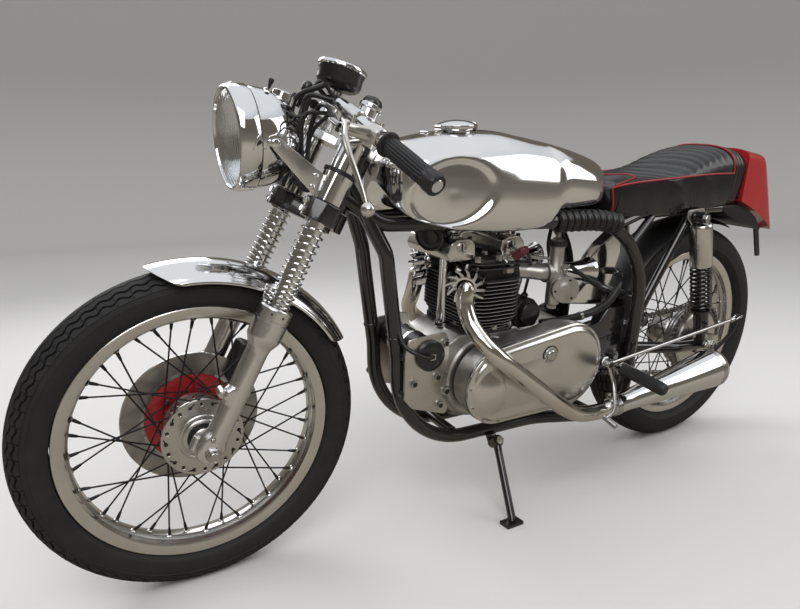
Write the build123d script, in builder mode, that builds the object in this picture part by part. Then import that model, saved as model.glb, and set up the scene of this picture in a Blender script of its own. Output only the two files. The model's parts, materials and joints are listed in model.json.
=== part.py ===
# Cafe racer motorcycle, parked on its side stand, in millimetres.
# Every piece is drawn on the upright machine: X forward, Y to the rider's left, Z up, with the
# zero below the rear axle. The last lines lean the whole machine over onto its stand and put
# the zero on the floor below the middle of its box.
import os
from math import acos, atan2, cos, degrees, hypot, pi, radians, sin, tan

from build123d import *

os.makedirs("parts", exist_ok=True)

# Stance
wheelbase = 1420.0
lean = 6.49
rake = 27.15
fork_offset = 60.0
fit_gap = 0.3
running_gap = 0.08

# Wheels and tyres
front_radius = 323.3
front_tyre_half = 42.8
rear_radius = 329.7
rear_tyre_half = 52.9
seat_radius = 242.0
well_radius = seat_radius - 13.0
flange_radius = seat_radius + 13.0
rim_wall = 3.0
rim_half = 31.5
spoke_count = 40
spoke_radius = 1.8

# Front hub and disc
axle_radius = 8.5
hub_barrel_radius = 30.0
front_flange_radius = 76.0
front_flange_y = 36.0
flange_thickness = 6.0
disc_radius = 136.0
disc_band = 44.0
disc_thickness = 5.0
disc_y = 61.0

# Fork, measured along the legs from the front axle
leg_y = 93.5
slider_radius = 21.0
collar_start = 223.0
collar_end = 289.0
collar_radius = 32.0
stanchion_radius = 17.0
coil_radius = 23.5
coil_count = 15
coil_low_pitch = 8.0
lower_yoke = 460.0
lower_yoke_height = 38.0
shroud_radius = 28.5
shroud_end = 552.0
ring_radius = 30.5
ring_height = 8.0
neck_radius = 22.0
upper_yoke = 618.0
upper_yoke_height = 18.0
leg_top = 694.0
stem_radius = 14.0
head_radius = 29.0
head_gap = 2.0

# Frame
tube_radius = 16.0
downtube_y = 55.0
loop_y = 125.0
rail_z = 712.0
cradle_z = 199.0
loop_front_x = 1000.0
loop_rear_x = 333.0
rear_top_bend = 215.0
rear_low_bend = 90.0

# Swing arm, chain line and final drive
pivot_x = 395.0
pivot_z = 352.0
arm_pivot_y = 72.0
arm_axle_y = 118.0
arm_radius = 16.0
chain_y = 76.0
sprocket_radius = 108.0
drive_x = 500.0
drive_z = 362.0
drive_radius = 50.0
link_pitch = 15.875
link_width = 12.0
link_height = 5.5
link_waist = 3.5

# Engine
crank_x = 798.0
crank_z = 357.0
case_radius = 118.0
case_half = 90.0
plate_thickness = 5.4
front_plate_in = 82.0
barrel_x = 783.0
bore_y = 36.0
fin_radius = 78.0
barrel_radius = 58.0
barrel_low = 466.0
fin_pitch = 8.4
fin_thickness = 2.6
fin_count = 14
fin_corner = 52.0
head_low = 588.0
head_top = 632.0
rocker_height = 45.0
primary_front_radius = 90.0
primary_rear_x = 592.0
primary_rear_z = 372.0
primary_rear_radius = 106.0
primary_in = 96.0
primary_flange_y = 157.0
primary_flange = 12.0
primary_out = 164.0

# Side stand, on the upright machine
stand_x = 735.0
stand_y = 86.0
stand_z = 172.0
foot_x = 765.0
foot_y = 199.0
boss_half = 10.0
tyre_roll = 0.3

up_axis = Vector(-sin(radians(rake)), 0, cos(radians(rake)))
ahead_axis = Vector(cos(radians(rake)), 0, sin(radians(rake)))
front_centre = Vector(wheelbase, 0, front_radius)
rear_centre = Vector(0, 0, rear_radius)
stand_pivot = Vector(stand_x, stand_y, stand_z)
stand_axis = Vector(0, stand_z - 30, foot_y - stand_y).normalized()


def fork_point(ahead, left, along):
    """Place of a point given in the fork's own directions, from the front axle."""
    return front_centre + ahead_axis * ahead + Vector(0, left, 0) + up_axis * along


def fork_seat(ahead=0.0, left=0.0, along=0.0):
    """Location whose Z runs up the fork and whose X points ahead."""
    return Plane(fork_point(ahead, left, along), x_dir=ahead_axis, z_dir=up_axis).location


def tube(route, bends, radius, bore=0.0):
    """Round tube along straight runs joined by tangent arcs."""
    with BuildPart() as made:
        with BuildLine() as path:
            FilletPolyline(*route, radius=bends)
        with BuildSketch(Plane(path.line @ 0, z_dir=path.line % 0)):
            Circle(radius)
            if bore:
                Circle(bore, mode=Mode.SUBTRACT)
        sweep(path=path.line)
    return made.part


def rod(start, end, radius):
    """Round bar between two points."""
    start = Vector(start)
    end = Vector(end)
    with BuildPart() as made:
        with BuildSketch(Plane(start, z_dir=end - start)):
            Circle(radius)
        extrude(amount=(end - start).length)
    return made.part


def turned(profile, seat):
    """Solid of revolution about a seat's Z, from a closed outline of radius and height."""
    with BuildPart() as made:
        with BuildSketch(Plane.XZ):
            with BuildLine():
                Polyline(*profile, close=True)
            make_face()
        revolve(axis=Axis.Z)
    return made.part.moved(seat)


def belt_outline(x1, z1, r1, x2, z2, r2):
    """Closed outline round two circles, as points and arcs in the side view."""
    run = hypot(x2 - x1, z2 - z1)
    heading = atan2(z2 - z1, x2 - x1)
    spread = pi / 2 + atan2(r1 - r2, (run**2 - (r1 - r2) ** 2) ** 0.5) * -1
    tops = []
    for side in (1, -1):
        angle = heading + side * spread
        tops.append((x1 + r1 * cos(angle), z1 + r1 * sin(angle)))
        tops.append((x2 + r2 * cos(angle), z2 + r2 * sin(angle)))
    far1 = (x1 - r1 * cos(heading), z1 - r1 * sin(heading))
    far2 = (x2 + r2 * cos(heading), z2 + r2 * sin(heading))
    Line(tops[0], tops[1])
    ThreePointArc(tops[1], far2, tops[3])
    Line(tops[3], tops[2])
    ThreePointArc(tops[2], far1, tops[0])


# Side view plane: its X is the machine's X and its Y is the machine's Z
side_view = Plane(origin=(0, 0, 0), x_dir=(1, 0, 0), z_dir=(0, -1, 0))


def slab_plane(y):
    """Side view plane at a given distance to the left; extrude with a minus sign to go left."""
    return Plane(origin=(0, y, 0), x_dir=(1, 0, 0), z_dir=(0, -1, 0))


# Tyres: solid of revolution between the rim's flanges, drawn as radius and width
def tyre(outer, half):
    """Tyre about the wheel's axle, with rounded crown, shoulders and walls."""
    bead_y = rim_half - 4.5
    bead_radius = seat_radius + fit_gap
    lip_radius = flange_radius + 1.0
    with BuildPart() as made:
        with BuildSketch(Plane.XY):
            with BuildLine():
                belly = (outer * 0.5 + lip_radius * 0.5 - 4, half)
                shoulder = (outer - 17, half - 7)
                Line((bead_radius, 0), (bead_radius, bead_y))
                Line((bead_radius, bead_y), (lip_radius, bead_y))
                ThreePointArc((lip_radius, bead_y), (lip_radius + 8, half - 5), belly)
                Line(belly, shoulder)
                ThreePointArc(shoulder, (outer - 4.5, half * 0.5), (outer, 0))
                mirror(about=Plane.XZ)
            make_face()
        revolve(axis=Axis.Y)
    return made.part


with BuildPart() as front_tyre:
    add(tyre(front_radius, front_tyre_half).moved(Location(front_centre)))
front_tyre.part.label = "front_tyre"

with BuildPart() as rear_tyre:
    add(tyre(rear_radius, rear_tyre_half).moved(Location(rear_centre)))
rear_tyre.part.label = "rear_tyre"


# Rims: rolled section with flanges, bead seats and a drop centre
def rim(half):
    """Wheel rim about the axle, one wall thick."""
    with BuildPart() as made:
        with BuildSketch(Plane.XY):
            with BuildLine():
                Polyline(
                    (well_radius, 0),
                    (well_radius, 9),
                    (seat_radius, 14),
                    (seat_radius, half - 3.2),
                    (flange_radius, half - 3.2),
                    (flange_radius, half),
                    (seat_radius - rim_wall, half),
                    (seat_radius - rim_wall, 15.5),
                    (well_radius - rim_wall, 11),
                    (well_radius - rim_wall, 0),
                )
                mirror(about=Plane.XZ)
            make_face()
        revolve(axis=Axis.Y)
    return made.part


with BuildPart() as front_rim:
    add(rim(rim_half).moved(Location(front_centre)))
front_rim.part.label = "front_rim"

with BuildPart() as rear_rim:
    add(rim(rim_half).moved(Location(rear_centre)))
rear_rim.part.label = "rear_rim"


def spokes(left_radius, left_y, right_radius, right_y):
    """Crossed spokes from both hub flanges to the rim's well, as one list of bars."""
    bars = []
    per_side = spoke_count // 2
    rim_end = well_radius - rim_wall - fit_gap - spoke_radius * 0.4
    for side, hub_radius, hub_y in ((1, left_radius, left_y), (-1, right_radius, -right_y)):
        for number in range(per_side):
            sweep_back = 1 if number % 2 else -1
            at_rim = 2 * pi * (number + (0.0 if side > 0 else 0.5)) / per_side
            at_hub = at_rim + sweep_back * radians(58)
            hub_side = hub_y + side * sweep_back * (flange_thickness / 2 - 1)
            hub_end = (hub_radius * cos(at_hub), hub_side, hub_radius * sin(at_hub))
            rim_side = side * 5.0
            tip = (rim_end * cos(at_rim), rim_side, rim_end * sin(at_rim))
            bars.append(rod(hub_end, tip, spoke_radius))
    return bars


# Front hub: barrel with two spoke flanges, the left one large and pierced
with BuildPart() as front_hub_shape:
    with BuildSketch(Plane.XY):
        with BuildLine():
            Polyline(
                (axle_radius + running_gap, -58),
                (axle_radius + running_gap, 52),
                (22, 52),
                (22, 46),
                (hub_barrel_radius, front_flange_y + flange_thickness / 2),
                (front_flange_radius, front_flange_y + flange_thickness / 2),
                (front_flange_radius, front_flange_y - flange_thickness / 2),
                (hub_barrel_radius, front_flange_y - flange_thickness / 2),
                (hub_barrel_radius, -front_flange_y + flange_thickness / 2),
                (front_flange_radius - 16, -front_flange_y + flange_thickness / 2),
                (front_flange_radius - 16, -front_flange_y - flange_thickness / 2),
                (44, -front_flange_y - flange_thickness / 2),
                (44, -disc_y + disc_thickness / 2 + 4.3),
                (22, -disc_y + disc_thickness / 2 + 4.3),
                (22, -58),
                close=True,
            )
        make_face()
    revolve(axis=Axis.Y)
    add(
        spokes(
            front_flange_radius - 4, front_flange_y, front_flange_radius - 20, front_flange_y
        )
    )
with BuildPart() as front_hub:
    add(front_hub_shape.part.moved(Location(front_centre)))
front_hub.part.label = "front_hub"

# Brake disc on the right: steel band on a carrier bolted to the hub
with BuildPart() as brake_disc:
    with BuildSketch(slab_plane(-disc_y)):
        with Locations((wheelbase, front_radius)):
            Circle(disc_radius)
            Circle(disc_radius - disc_band, mode=Mode.SUBTRACT)
    extrude(amount=disc_thickness / 2, both=True)
brake_disc.part.label = "brake_disc"

with BuildPart() as disc_carrier:
    with BuildSketch(slab_plane(-disc_y)):
        with Locations((wheelbase, front_radius)):
            Circle(disc_radius - disc_band)
            Circle(23, mode=Mode.SUBTRACT)
    extrude(amount=disc_thickness / 2 + 1.5, both=True)
disc_carrier.part.label = "disc_carrier"

# Front axle: through the hub and both slider ends, with a nut at each side
with BuildPart() as front_axle:
    add(rod(front_centre + Vector(0, -120, 0), front_centre + Vector(0, 120, 0), axle_radius))
    for end, side in ((120, 1), (-120, -1)):
        with BuildSketch(slab_plane(end)):
            with Locations((wheelbase, front_radius)):
                Circle(14)
        extrude(amount=-side * 9)
front_axle.part.label = "front_axle"

# Sliders: tapered legs with a wide collar, an axle clamp below and a caliper lug behind
with BuildPart() as slider_shape:
    with BuildSketch(Plane.XZ):
        with BuildLine():
            Polyline(
                (0, -24),
                (slider_radius - 4, -24),
                (slider_radius, 0),
                (slider_radius, collar_start - 6),
                (collar_radius, collar_start + 8),
                (collar_radius, collar_end),
                (0, collar_end),
                close=True,
            )
        make_face()
    revolve(axis=Axis.Z)
    with BuildSketch(Plane.XY.offset(190)):
        Circle(stanchion_radius + fit_gap)
    extrude(amount=collar_end - 190, mode=Mode.SUBTRACT)
    with BuildSketch(Plane.XZ):
        Circle(axle_radius + running_gap)
    extrude(amount=60, both=True, mode=Mode.SUBTRACT)
with BuildPart() as fork_sliders:
    add(slider_shape.part.moved(fork_seat(left=leg_y)))
    mirror(about=Plane.XZ)
    for lug_along in (118, 158):
        add(rod(fork_point(-12, -leg_y, lug_along), fork_point(-44, -leg_y + 6, lug_along), 9))
fork_sliders.part.label = "fork_sliders"

# Stanchions with their exposed springs, from inside the sliders up to the top caps
with BuildPart() as stanchion_shape:
    with BuildSketch(Plane.XY.offset(192)):
        Circle(stanchion_radius)
    extrude(amount=leg_top - 192)
    spring_low = collar_end + fit_gap
    spring_high = lower_yoke - fit_gap
    run = spring_high - spring_low - 5
    growth = (run - (coil_count - 1) * coil_low_pitch) / sum(range(coil_count - 1))
    with BuildSketch(Plane.XZ):
        for turn in range(coil_count):
            rise = turn * coil_low_pitch + growth * turn * (turn - 1) / 2
            with Locations(((stanchion_radius + coil_radius) / 2, spring_low + 2.5 + rise)):
                Rectangle(coil_radius - stanchion_radius, 4)
    revolve(axis=Axis.Z)
with BuildPart() as fork_stanchions:
    add(stanchion_shape.part.moved(fork_seat(left=leg_y)))
    mirror(about=Plane.XZ)
fork_stanchions.part.label = "fork_stanchions"

# Yokes: two clamps round the stanchions, joined by the stem on the steering axis
with BuildPart() as yoke_shape:
    for low, height, lead in (
        (lower_yoke, lower_yoke_height, 8.0),
        (upper_yoke, upper_yoke_height, 0.0),
    ):
        with BuildSketch(Plane.XY.offset(low)):
            with Locations((0, leg_y), (0, -leg_y)):
                Circle(stanchion_radius + 12)
            with Locations((-fork_offset, 0)):
                Circle(stem_radius + 14)
            with BuildLine():
                Polyline(
                    (stanchion_radius + lead, leg_y),
                    (-20, leg_y + 14),
                    (-fork_offset - 20, 20),
                    (-fork_offset - 20, -20),
                    (-20, -leg_y - 14),
                    (stanchion_radius + lead, -leg_y),
                    close=True,
                )
            make_face()
            with Locations((0, leg_y), (0, -leg_y)):
                Circle(stanchion_radius + fit_gap, mode=Mode.SUBTRACT)
        extrude(amount=height)
    with BuildSketch(Plane.XY.offset(lower_yoke)):
        with Locations((-fork_offset, 0)):
            Circle(stem_radius)
    extrude(amount=upper_yoke - lower_yoke + 4)
with BuildPart() as fork_yokes:
    add(yoke_shape.part.moved(fork_seat()))
fork_yokes.part.label = "fork_yokes"

# Shrouds round the stanchions between the yokes, with flat ears ahead for the headlamp
ear_along = 547.0
ear_ahead = 130.0
ear_y = 95.0
shroud_low = lower_yoke + lower_yoke_height + fit_gap
shroud_bore = stanchion_radius + 1.0
with BuildPart() as shroud_shape:
    add(turned(
        (
            (shroud_bore, shroud_low),
            (shroud_radius, shroud_low),
            (shroud_radius, shroud_end),
            (ring_radius, shroud_end),
            (ring_radius, shroud_end + ring_height),
            (neck_radius, shroud_end + ring_height),
            (neck_radius, upper_yoke - fit_gap),
            (shroud_bore, upper_yoke - fit_gap),
        ),
        Location(),
    ))
    with BuildSketch(Plane(origin=(0, ear_y - leg_y, 0), x_dir=(1, 0, 0), z_dir=(0, -1, 0))):
        with BuildLine():
            Polyline(
                (20, shroud_low + 3), (20, shroud_end - 12), (ear_ahead, ear_along + 9),
                (ear_ahead, ear_along - 9), (34, shroud_low + 3), close=True,
            )
        make_face()
        with Locations((ear_ahead, ear_along)):
            Circle(9)
    extrude(amount=2.0, both=True)
    with BuildSketch(Plane.XY.offset(lower_yoke)):
        Circle(shroud_bore)
    extrude(amount=200, mode=Mode.SUBTRACT)
with BuildPart() as fork_shrouds:
    add(shroud_shape.part.moved(fork_seat(left=leg_y)))
    mirror(about=Plane.XZ)
fork_shrouds.part.label = "fork_shrouds"

# Headlamp: bowl, rim and a domed lens, facing slightly down
lamp_radius = 93.0
lamp_centre = fork_point(178.8, 0, 526.1)
lamp_droop = 2.8
lamp_facing = Vector(cos(radians(lamp_droop)), 0, -sin(radians(lamp_droop)))
lamp_seat = Plane(lamp_centre, x_dir=(0, 1, 0), z_dir=lamp_facing).location
with BuildPart() as headlamp_shape:
    with BuildSketch(Plane.XZ):
        with BuildLine():
            Line((0, -131), (14, -131))
            ThreePointArc((14, -131), (66, -100), (lamp_radius - 3, -46))
            Polyline(
                (lamp_radius - 3, -46),
                (lamp_radius - 2, -34),
                (lamp_radius, -31),
                (lamp_radius, -9),
                (lamp_radius - 2, -1),
                (lamp_radius - 8, 5),
                (lamp_radius - 8, -4),
                (0, -4),
                (0, -131),
            )
        make_face()
    revolve(axis=Axis.Z)
with BuildPart() as headlamp_shell:
    add(rod(fork_point(ear_ahead, -ear_y + 2 + fit_gap, ear_along),
            fork_point(ear_ahead, ear_y - 2 - fit_gap, ear_along), 9))
    add(headlamp_shape.part.moved(lamp_seat))
headlamp_shell.part.label = "headlamp_shell"

with BuildPart() as lens_shape:
    with BuildSketch(Plane.XZ):
        with BuildLine():
            edge = lamp_radius - 8 - fit_gap
            Line((0, -4 + fit_gap), (edge, -4 + fit_gap))
            Line((edge, -4 + fit_gap), (edge, 1))
            bulge = 13.0
            dome = (edge**2 + bulge**2) / (2 * bulge)
            half_rise = 1 + bulge - dome + (dome**2 - edge**2 / 4) ** 0.5
            ThreePointArc((edge, 1), (edge / 2, half_rise), (0, 1 + bulge))
            Line((0, 1 + bulge), (0, -4 + fit_gap))
        make_face()
    revolve(axis=Axis.Z)
with BuildPart() as headlamp_lens:
    add(lens_shape.part.moved(lamp_seat))
headlamp_lens.part.label = "headlamp_lens"

# Speedometer over the upper yoke, on a stalk from the stem
gauge_tilt = 10.0
gauge_centre = fork_point(36, 0, 704)
gauge_up = up_axis * cos(radians(gauge_tilt)) + ahead_axis * sin(radians(gauge_tilt))
with BuildPart() as gauge_shape:
    with BuildSketch(Plane.XZ):
        with BuildLine():
            Polyline(
                (0, 0), (30, 0), (44, 8), (45, 36), (48, 38), (48, 45), (0, 45), close=True
            )
        make_face()
    revolve(axis=Axis.Z)
with BuildPart() as speedometer:
    add(gauge_shape.part.moved(Plane(gauge_centre, x_dir=(0, 1, 0), z_dir=gauge_up).location))
    add(rod(gauge_centre + gauge_up * 2, fork_point(-20, 0, upper_yoke + 4), 10))
    add(fork_yokes.part, mode=Mode.SUBTRACT)
speedometer.part.label = "speedometer"

# Clip-on bars: a clamp round each stanchion above the upper yoke, and a bar out and back
clip_low = upper_yoke + upper_yoke_height + fit_gap
clip_height = 30.0
bar_radius = 11.0
bar_start = (32.0, leg_y, 660.0)
bar_end = (-56.0, 331.0, 580.0)
grip_start = 0.43
grip_end = 0.99


def along_bar(share):
    """Point on the left bar, as a share of its length."""
    return fork_point(*(a + (b - a) * share for a, b in zip(bar_start, bar_end)))


with BuildPart() as clip_shape:
    with BuildSketch(Plane.XY.offset(clip_low)):
        Circle(stanchion_radius + 9)
        with Locations((22, 0)):
            Rectangle(26, 30)
        Circle(stanchion_radius + fit_gap, mode=Mode.SUBTRACT)
    extrude(amount=clip_height)
with BuildPart() as left_clip:
    add(clip_shape.part.moved(fork_seat(left=leg_y)))
    add(rod(along_bar(0), along_bar(1), bar_radius))
    add(rod(fork_point(0, leg_y, 0), fork_point(0, leg_y, 900), stanchion_radius + fit_gap),
        mode=Mode.SUBTRACT)
    add(fork_yokes.part, mode=Mode.SUBTRACT)
with BuildPart() as clip_ons:
    add(left_clip.part)
    mirror(about=Plane.XZ)
clip_ons.part.label = "clip_ons"

with BuildPart() as left_grip:
    add(rod(along_bar(grip_start), along_bar(grip_end), 17))
    add(rod(along_bar(grip_end), along_bar(grip_end + 0.03), 19))
    add(rod(along_bar(0), along_bar(1.2), bar_radius + fit_gap), mode=Mode.SUBTRACT)
with BuildPart() as grips:
    add(left_grip.part)
    mirror(about=Plane.XZ)
grips.part.label = "grips"

# Hand levers: a perch clamped to the bar, a pivot ahead of it and a ball ended lever
perch = along_bar(0.33)
lever_pivot = fork_point(62, 172, 616)
lever_ball = fork_point(26, 300, 502)
with BuildPart() as left_lever:
    bar_way = (along_bar(1) - along_bar(0)).normalized()
    add(rod(perch - bar_way * 11, perch + bar_way * 11, bar_radius + 6))
    add(rod(perch, lever_pivot, 8))
    add(tube((lever_pivot, fork_point(66, 215, 590), fork_point(40, 270, 535), lever_ball),
             (60, 60), 5.0))
    with Locations(Location(lever_ball)):
        Sphere(12)
    with Locations(Location(lever_pivot)):
        Sphere(11)
    add(rod(along_bar(0), along_bar(1), bar_radius + fit_gap), mode=Mode.SUBTRACT)
with BuildPart() as hand_levers:
    add(left_lever.part)
    mirror(about=Plane.XZ)
hand_levers.part.label = "hand_levers"

# Front mudguard: a short arch concentric with the wheel, with a stay down to each slider
guard_crown = front_radius + 16.7
guard_edge = front_radius - 17.3
guard_half = 57.0
guard_sheet = 2.0
guard_from = 77.0
guard_sweep = 77.0
with BuildPart() as guard_shape:
    with BuildSketch(Plane.XY):
        with BuildLine():
            ThreePointArc((guard_edge, guard_half), (guard_crown, 0), (guard_edge, -guard_half))
            Line((guard_edge, -guard_half), (guard_edge - 1, -guard_half + guard_sheet))
            ThreePointArc(
                (guard_edge - 1, -guard_half + guard_sheet),
                (guard_crown - guard_sheet, 0),
                (guard_edge - 1, guard_half - guard_sheet),
            )
            Line((guard_edge - 1, guard_half - guard_sheet), (guard_edge, guard_half))
        make_face()
    revolve(axis=Axis.Y, revolution_arc=guard_sweep)
bracket_out = leg_y - collar_radius - fit_gap
with BuildPart() as guard_bracket:
    with BuildSketch(Plane(origin=(0, bracket_out, 0), x_dir=(1, 0, 0), z_dir=(0, -1, 0))):
        with Locations((0, (collar_end + guard_edge) / 2 - 6)):
            Rectangle(48, 50)
    extrude(amount=5)
with BuildPart() as front_mudguard:
    add(guard_bracket.part.moved(fork_seat()))
    mirror(about=Plane.XZ)
    add(guard_shape.part.moved(Location(front_centre, (0, -guard_from - guard_sweep, 0))))
front_mudguard.part.label = "front_mudguard"

# Main frame: two cradle loops from the headstock round the engine and back along the top
head_low_point = fork_point(-fork_offset, 0, lower_yoke + lower_yoke_height + head_gap)
head_high_point = fork_point(-fork_offset, 0, upper_yoke - head_gap)
rail_joint = Vector(600, loop_y - 13, rail_z)
left_loop = tube(
    (
        head_high_point + Vector(24, 12, -48),
        (1044, downtube_y, 655),
        (loop_front_x + 8, downtube_y, 420),
        (loop_front_x, downtube_y, cradle_z),
        (600, downtube_y + 5, cradle_z - 4),
        (470, loop_y - 10, cradle_z),
        (loop_rear_x + 10, loop_y, cradle_z + 6),
        (loop_rear_x, loop_y, rail_z),
        rail_joint,
    ),
    (60, 200, 195, 200, 100, rear_low_bend, rear_top_bend),
    tube_radius,
)
left_rail = tube(
    (
        rail_joint,
        rail_joint + (rail_joint - Vector(loop_rear_x, loop_y, rail_z)) * 0.3,
        (1050, 44, rail_z + 2),
        head_low_point + Vector(-12, 12, 28),
    ),
    (200, 60),
    tube_radius,
)
pivot_gusset = (
    (loop_rear_x, 312), (446, 322), (446, 372), (405, 378), (loop_rear_x, 388),
)
with BuildPart() as main_frame:
    add(left_loop)
    add(left_rail)
    with BuildSketch(slab_plane(loop_y - tube_radius + 4)):
        with BuildLine():
            Polyline(*pivot_gusset, close=True)
        make_face()
    extrude(amount=loop_y - tube_radius + 4 - primary_in)
    for lug_z in (430, 345):
        add(rod((loop_front_x + 3, downtube_y, lug_z), (loop_front_x + 3, 82 - fit_gap, lug_z), 9))
    mirror(about=Plane.XZ)
    add(rod(head_low_point, head_high_point, head_radius))
    add(rod((loop_front_x - 150, -downtube_y, 212), (loop_front_x - 150, downtube_y, 212), 12))
    add(rod((loop_rear_x + 3, -loop_y, 500), (loop_rear_x + 3, loop_y, 500), 13))
    add(rod((loop_rear_x + 110, -loop_y, cradle_z), (loop_rear_x + 110, loop_y, cradle_z), 13))
    lug_seat = Plane(
        stand_pivot - stand_axis * (boss_half + fit_gap), x_dir=(1, 0, 0), z_dir=stand_axis
    )
    with BuildSketch(lug_seat):
        Circle(13)
        with Locations((0, -20)):
            Rectangle(26, 40)
    extrude(amount=-8)
    add(rod((pivot_x, -200, pivot_z), (pivot_x, 200, pivot_z), 9 + running_gap),
        mode=Mode.SUBTRACT)
    add(rod(fork_point(-fork_offset, 0, 0), fork_point(-fork_offset, 0, 900),
            stem_radius + running_gap), mode=Mode.SUBTRACT)
main_frame.part.label = "main_frame"

# Rear frame: seat rails behind the loops, and struts from the loops up to the shock tops
shock_top = Vector(136, 140, rail_z - 8)
seat_rail_y = 89.0
seat_rail_rear_x = -45.0
with BuildPart() as left_rear_frame:
    add(tube(
        (
            (440, 108, rail_z - 22), (330, seat_rail_y + 1, rail_z + 1),
            (seat_rail_rear_x, seat_rail_y, rail_z + 8),
        ),
        (60,), 11))
    add(rod((345, 118, 420), (150, 100, rail_z - 10), 12))
    add(rod((392, 118, 640), (300, 98, rail_z - 6), 10))
    add(rod((shock_top.X, 92, shock_top.Z), (shock_top.X, 128, shock_top.Z), 9))
with BuildPart() as rear_frame:
    add(left_rear_frame.part)
    mirror(about=Plane.XZ)
    add(rod((seat_rail_rear_x + 10, -seat_rail_y, rail_z + 7),
            (seat_rail_rear_x + 10, seat_rail_y, rail_z + 7), 9))
    add(rod((136, -seat_rail_y, rail_z - 4), (136, seat_rail_y, rail_z - 4), 10))
    add(main_frame.part, mode=Mode.SUBTRACT)
rear_frame.part.label = "rear_frame"

# Swing arm: a cross tube on the pivot and two arms that pass inside the loops to the axle plates
with BuildPart() as left_arm:
    add(rod((pivot_x, 0, pivot_z), (pivot_x, case_half - 2, pivot_z), 22))
    add(rod((pivot_x, 0, pivot_z), (pivot_x, loop_y + 2, pivot_z), 9))
    bolt_y = loop_y - tube_radius + 4 + fit_gap
    add(rod((pivot_x, bolt_y, pivot_z), (pivot_x, bolt_y + 9, pivot_z), 15))
    add(
        tube(
            (
                (pivot_x, arm_pivot_y, pivot_z),
                (pivot_x - 85, arm_pivot_y + 1, pivot_z - 4),
                (150, arm_axle_y, rear_radius + 8.3),
                (20, arm_axle_y, rear_radius),
            ),
            (120, 120),
            arm_radius,
        )
    )
    with BuildSketch(slab_plane(arm_axle_y + 6)):
        with BuildLine():
            Polyline(
                (50, rear_radius - 21.7), (50, rear_radius + 22.3), (20, rear_radius + 36.3),
                (-34, rear_radius + 22.3), (-34, rear_radius - 21.7), close=True,
            )
        make_face()
    extrude(amount=12)
with BuildPart() as swing_arm:
    add(left_arm.part)
    mirror(about=Plane.XZ)
    add(rod((0, -160, rear_radius), (0, 160, rear_radius), axle_radius + running_gap),
        mode=Mode.SUBTRACT)
swing_arm.part.label = "swing_arm"

with BuildPart() as rear_axle:
    nut_y = arm_axle_y + 6 + fit_gap
    add(rod((0, -nut_y - 4, rear_radius), (0, nut_y + 4, rear_radius), axle_radius))
    add(rod((0, nut_y, rear_radius), (0, nut_y + 10, rear_radius), 14))
    add(rod((0, -nut_y, rear_radius), (0, -nut_y - 10, rear_radius), 14))
rear_axle.part.label = "rear_axle"

# Rear hub with its brake drum and sprocket on the left
with BuildPart() as rear_hub_shape:
    with BuildSketch(Plane.XY):
        with BuildLine():
            Polyline(
                (axle_radius + running_gap, -60),
                (axle_radius + running_gap, 100),
                (30, 100),
                (30, 90),
                (88, 88),
                (88, chain_y + 4),
                (sprocket_radius - 6, chain_y + 3),
                (sprocket_radius - 6, chain_y - 3),
                (88, chain_y - 4),
                (88, 34),
                (34, 34),
                (34, -34),
                (60, -34),
                (60, -41),
                (30, -41),
                (26, -60),
                close=True,
            )
        make_face()
    revolve(axis=Axis.Y)
    add(spokes(84, 38, 56, 38))
with BuildPart() as rear_hub:
    add(rear_hub_shape.part.moved(Location(rear_centre)))
rear_hub.part.label = "rear_hub"

# Drive chain: waisted links round both sprockets, each second one with plates that stand proud
chain_run = hypot(drive_x, drive_z - rear_radius)
chain_tilt = atan2(drive_z - rear_radius, drive_x)
chain_splay = acos((sprocket_radius - drive_radius) / chain_run)
chain_straight = chain_run * sin(chain_splay)
drive_wrap = (drive_radius + 1) * 2 * chain_splay
rear_wrap = (sprocket_radius + 1) * 2 * (pi - chain_splay)
chain_length = 2 * chain_straight + drive_wrap + rear_wrap
link_count = 2 * round(chain_length / link_pitch / 2)


def chain_place(share, out=0.0):
    """Point of the side view at a share of the chain's length, and so far outside its middle."""
    travel = share * chain_length
    wheels = (
        (0.0, rear_radius, sprocket_radius + 1),
        (drive_x, drive_z, drive_radius + 1),
    )
    if travel < chain_straight:
        normal = chain_tilt + chain_splay
        x, z, radius = wheels[0]
        along = travel
    elif travel < chain_straight + drive_wrap:
        x, z, radius = wheels[1]
        normal = chain_tilt + chain_splay - (travel - chain_straight) / radius
        along = 0.0
    elif travel < 2 * chain_straight + drive_wrap:
        normal = chain_tilt - chain_splay
        x, z, radius = wheels[1]
        along = travel - chain_straight - drive_wrap
    else:
        x, z, radius = wheels[0]
        normal = chain_tilt - chain_splay - (travel - 2 * chain_straight - drive_wrap) / radius
        along = 0.0
    reach = radius + out
    return (
        x + reach * cos(normal) + along * sin(normal),
        z + reach * sin(normal) - along * cos(normal),
    )


def scalloped(side):
    """Edge of all links: wide at the pins and narrow between them."""
    points = []
    for link in range(link_count):
        points.append(chain_place(link / link_count, side * (link_height - 0.5)))
        points.append(chain_place((link + 0.5) / link_count, side * (link_waist - 0.5)))
    return points


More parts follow.
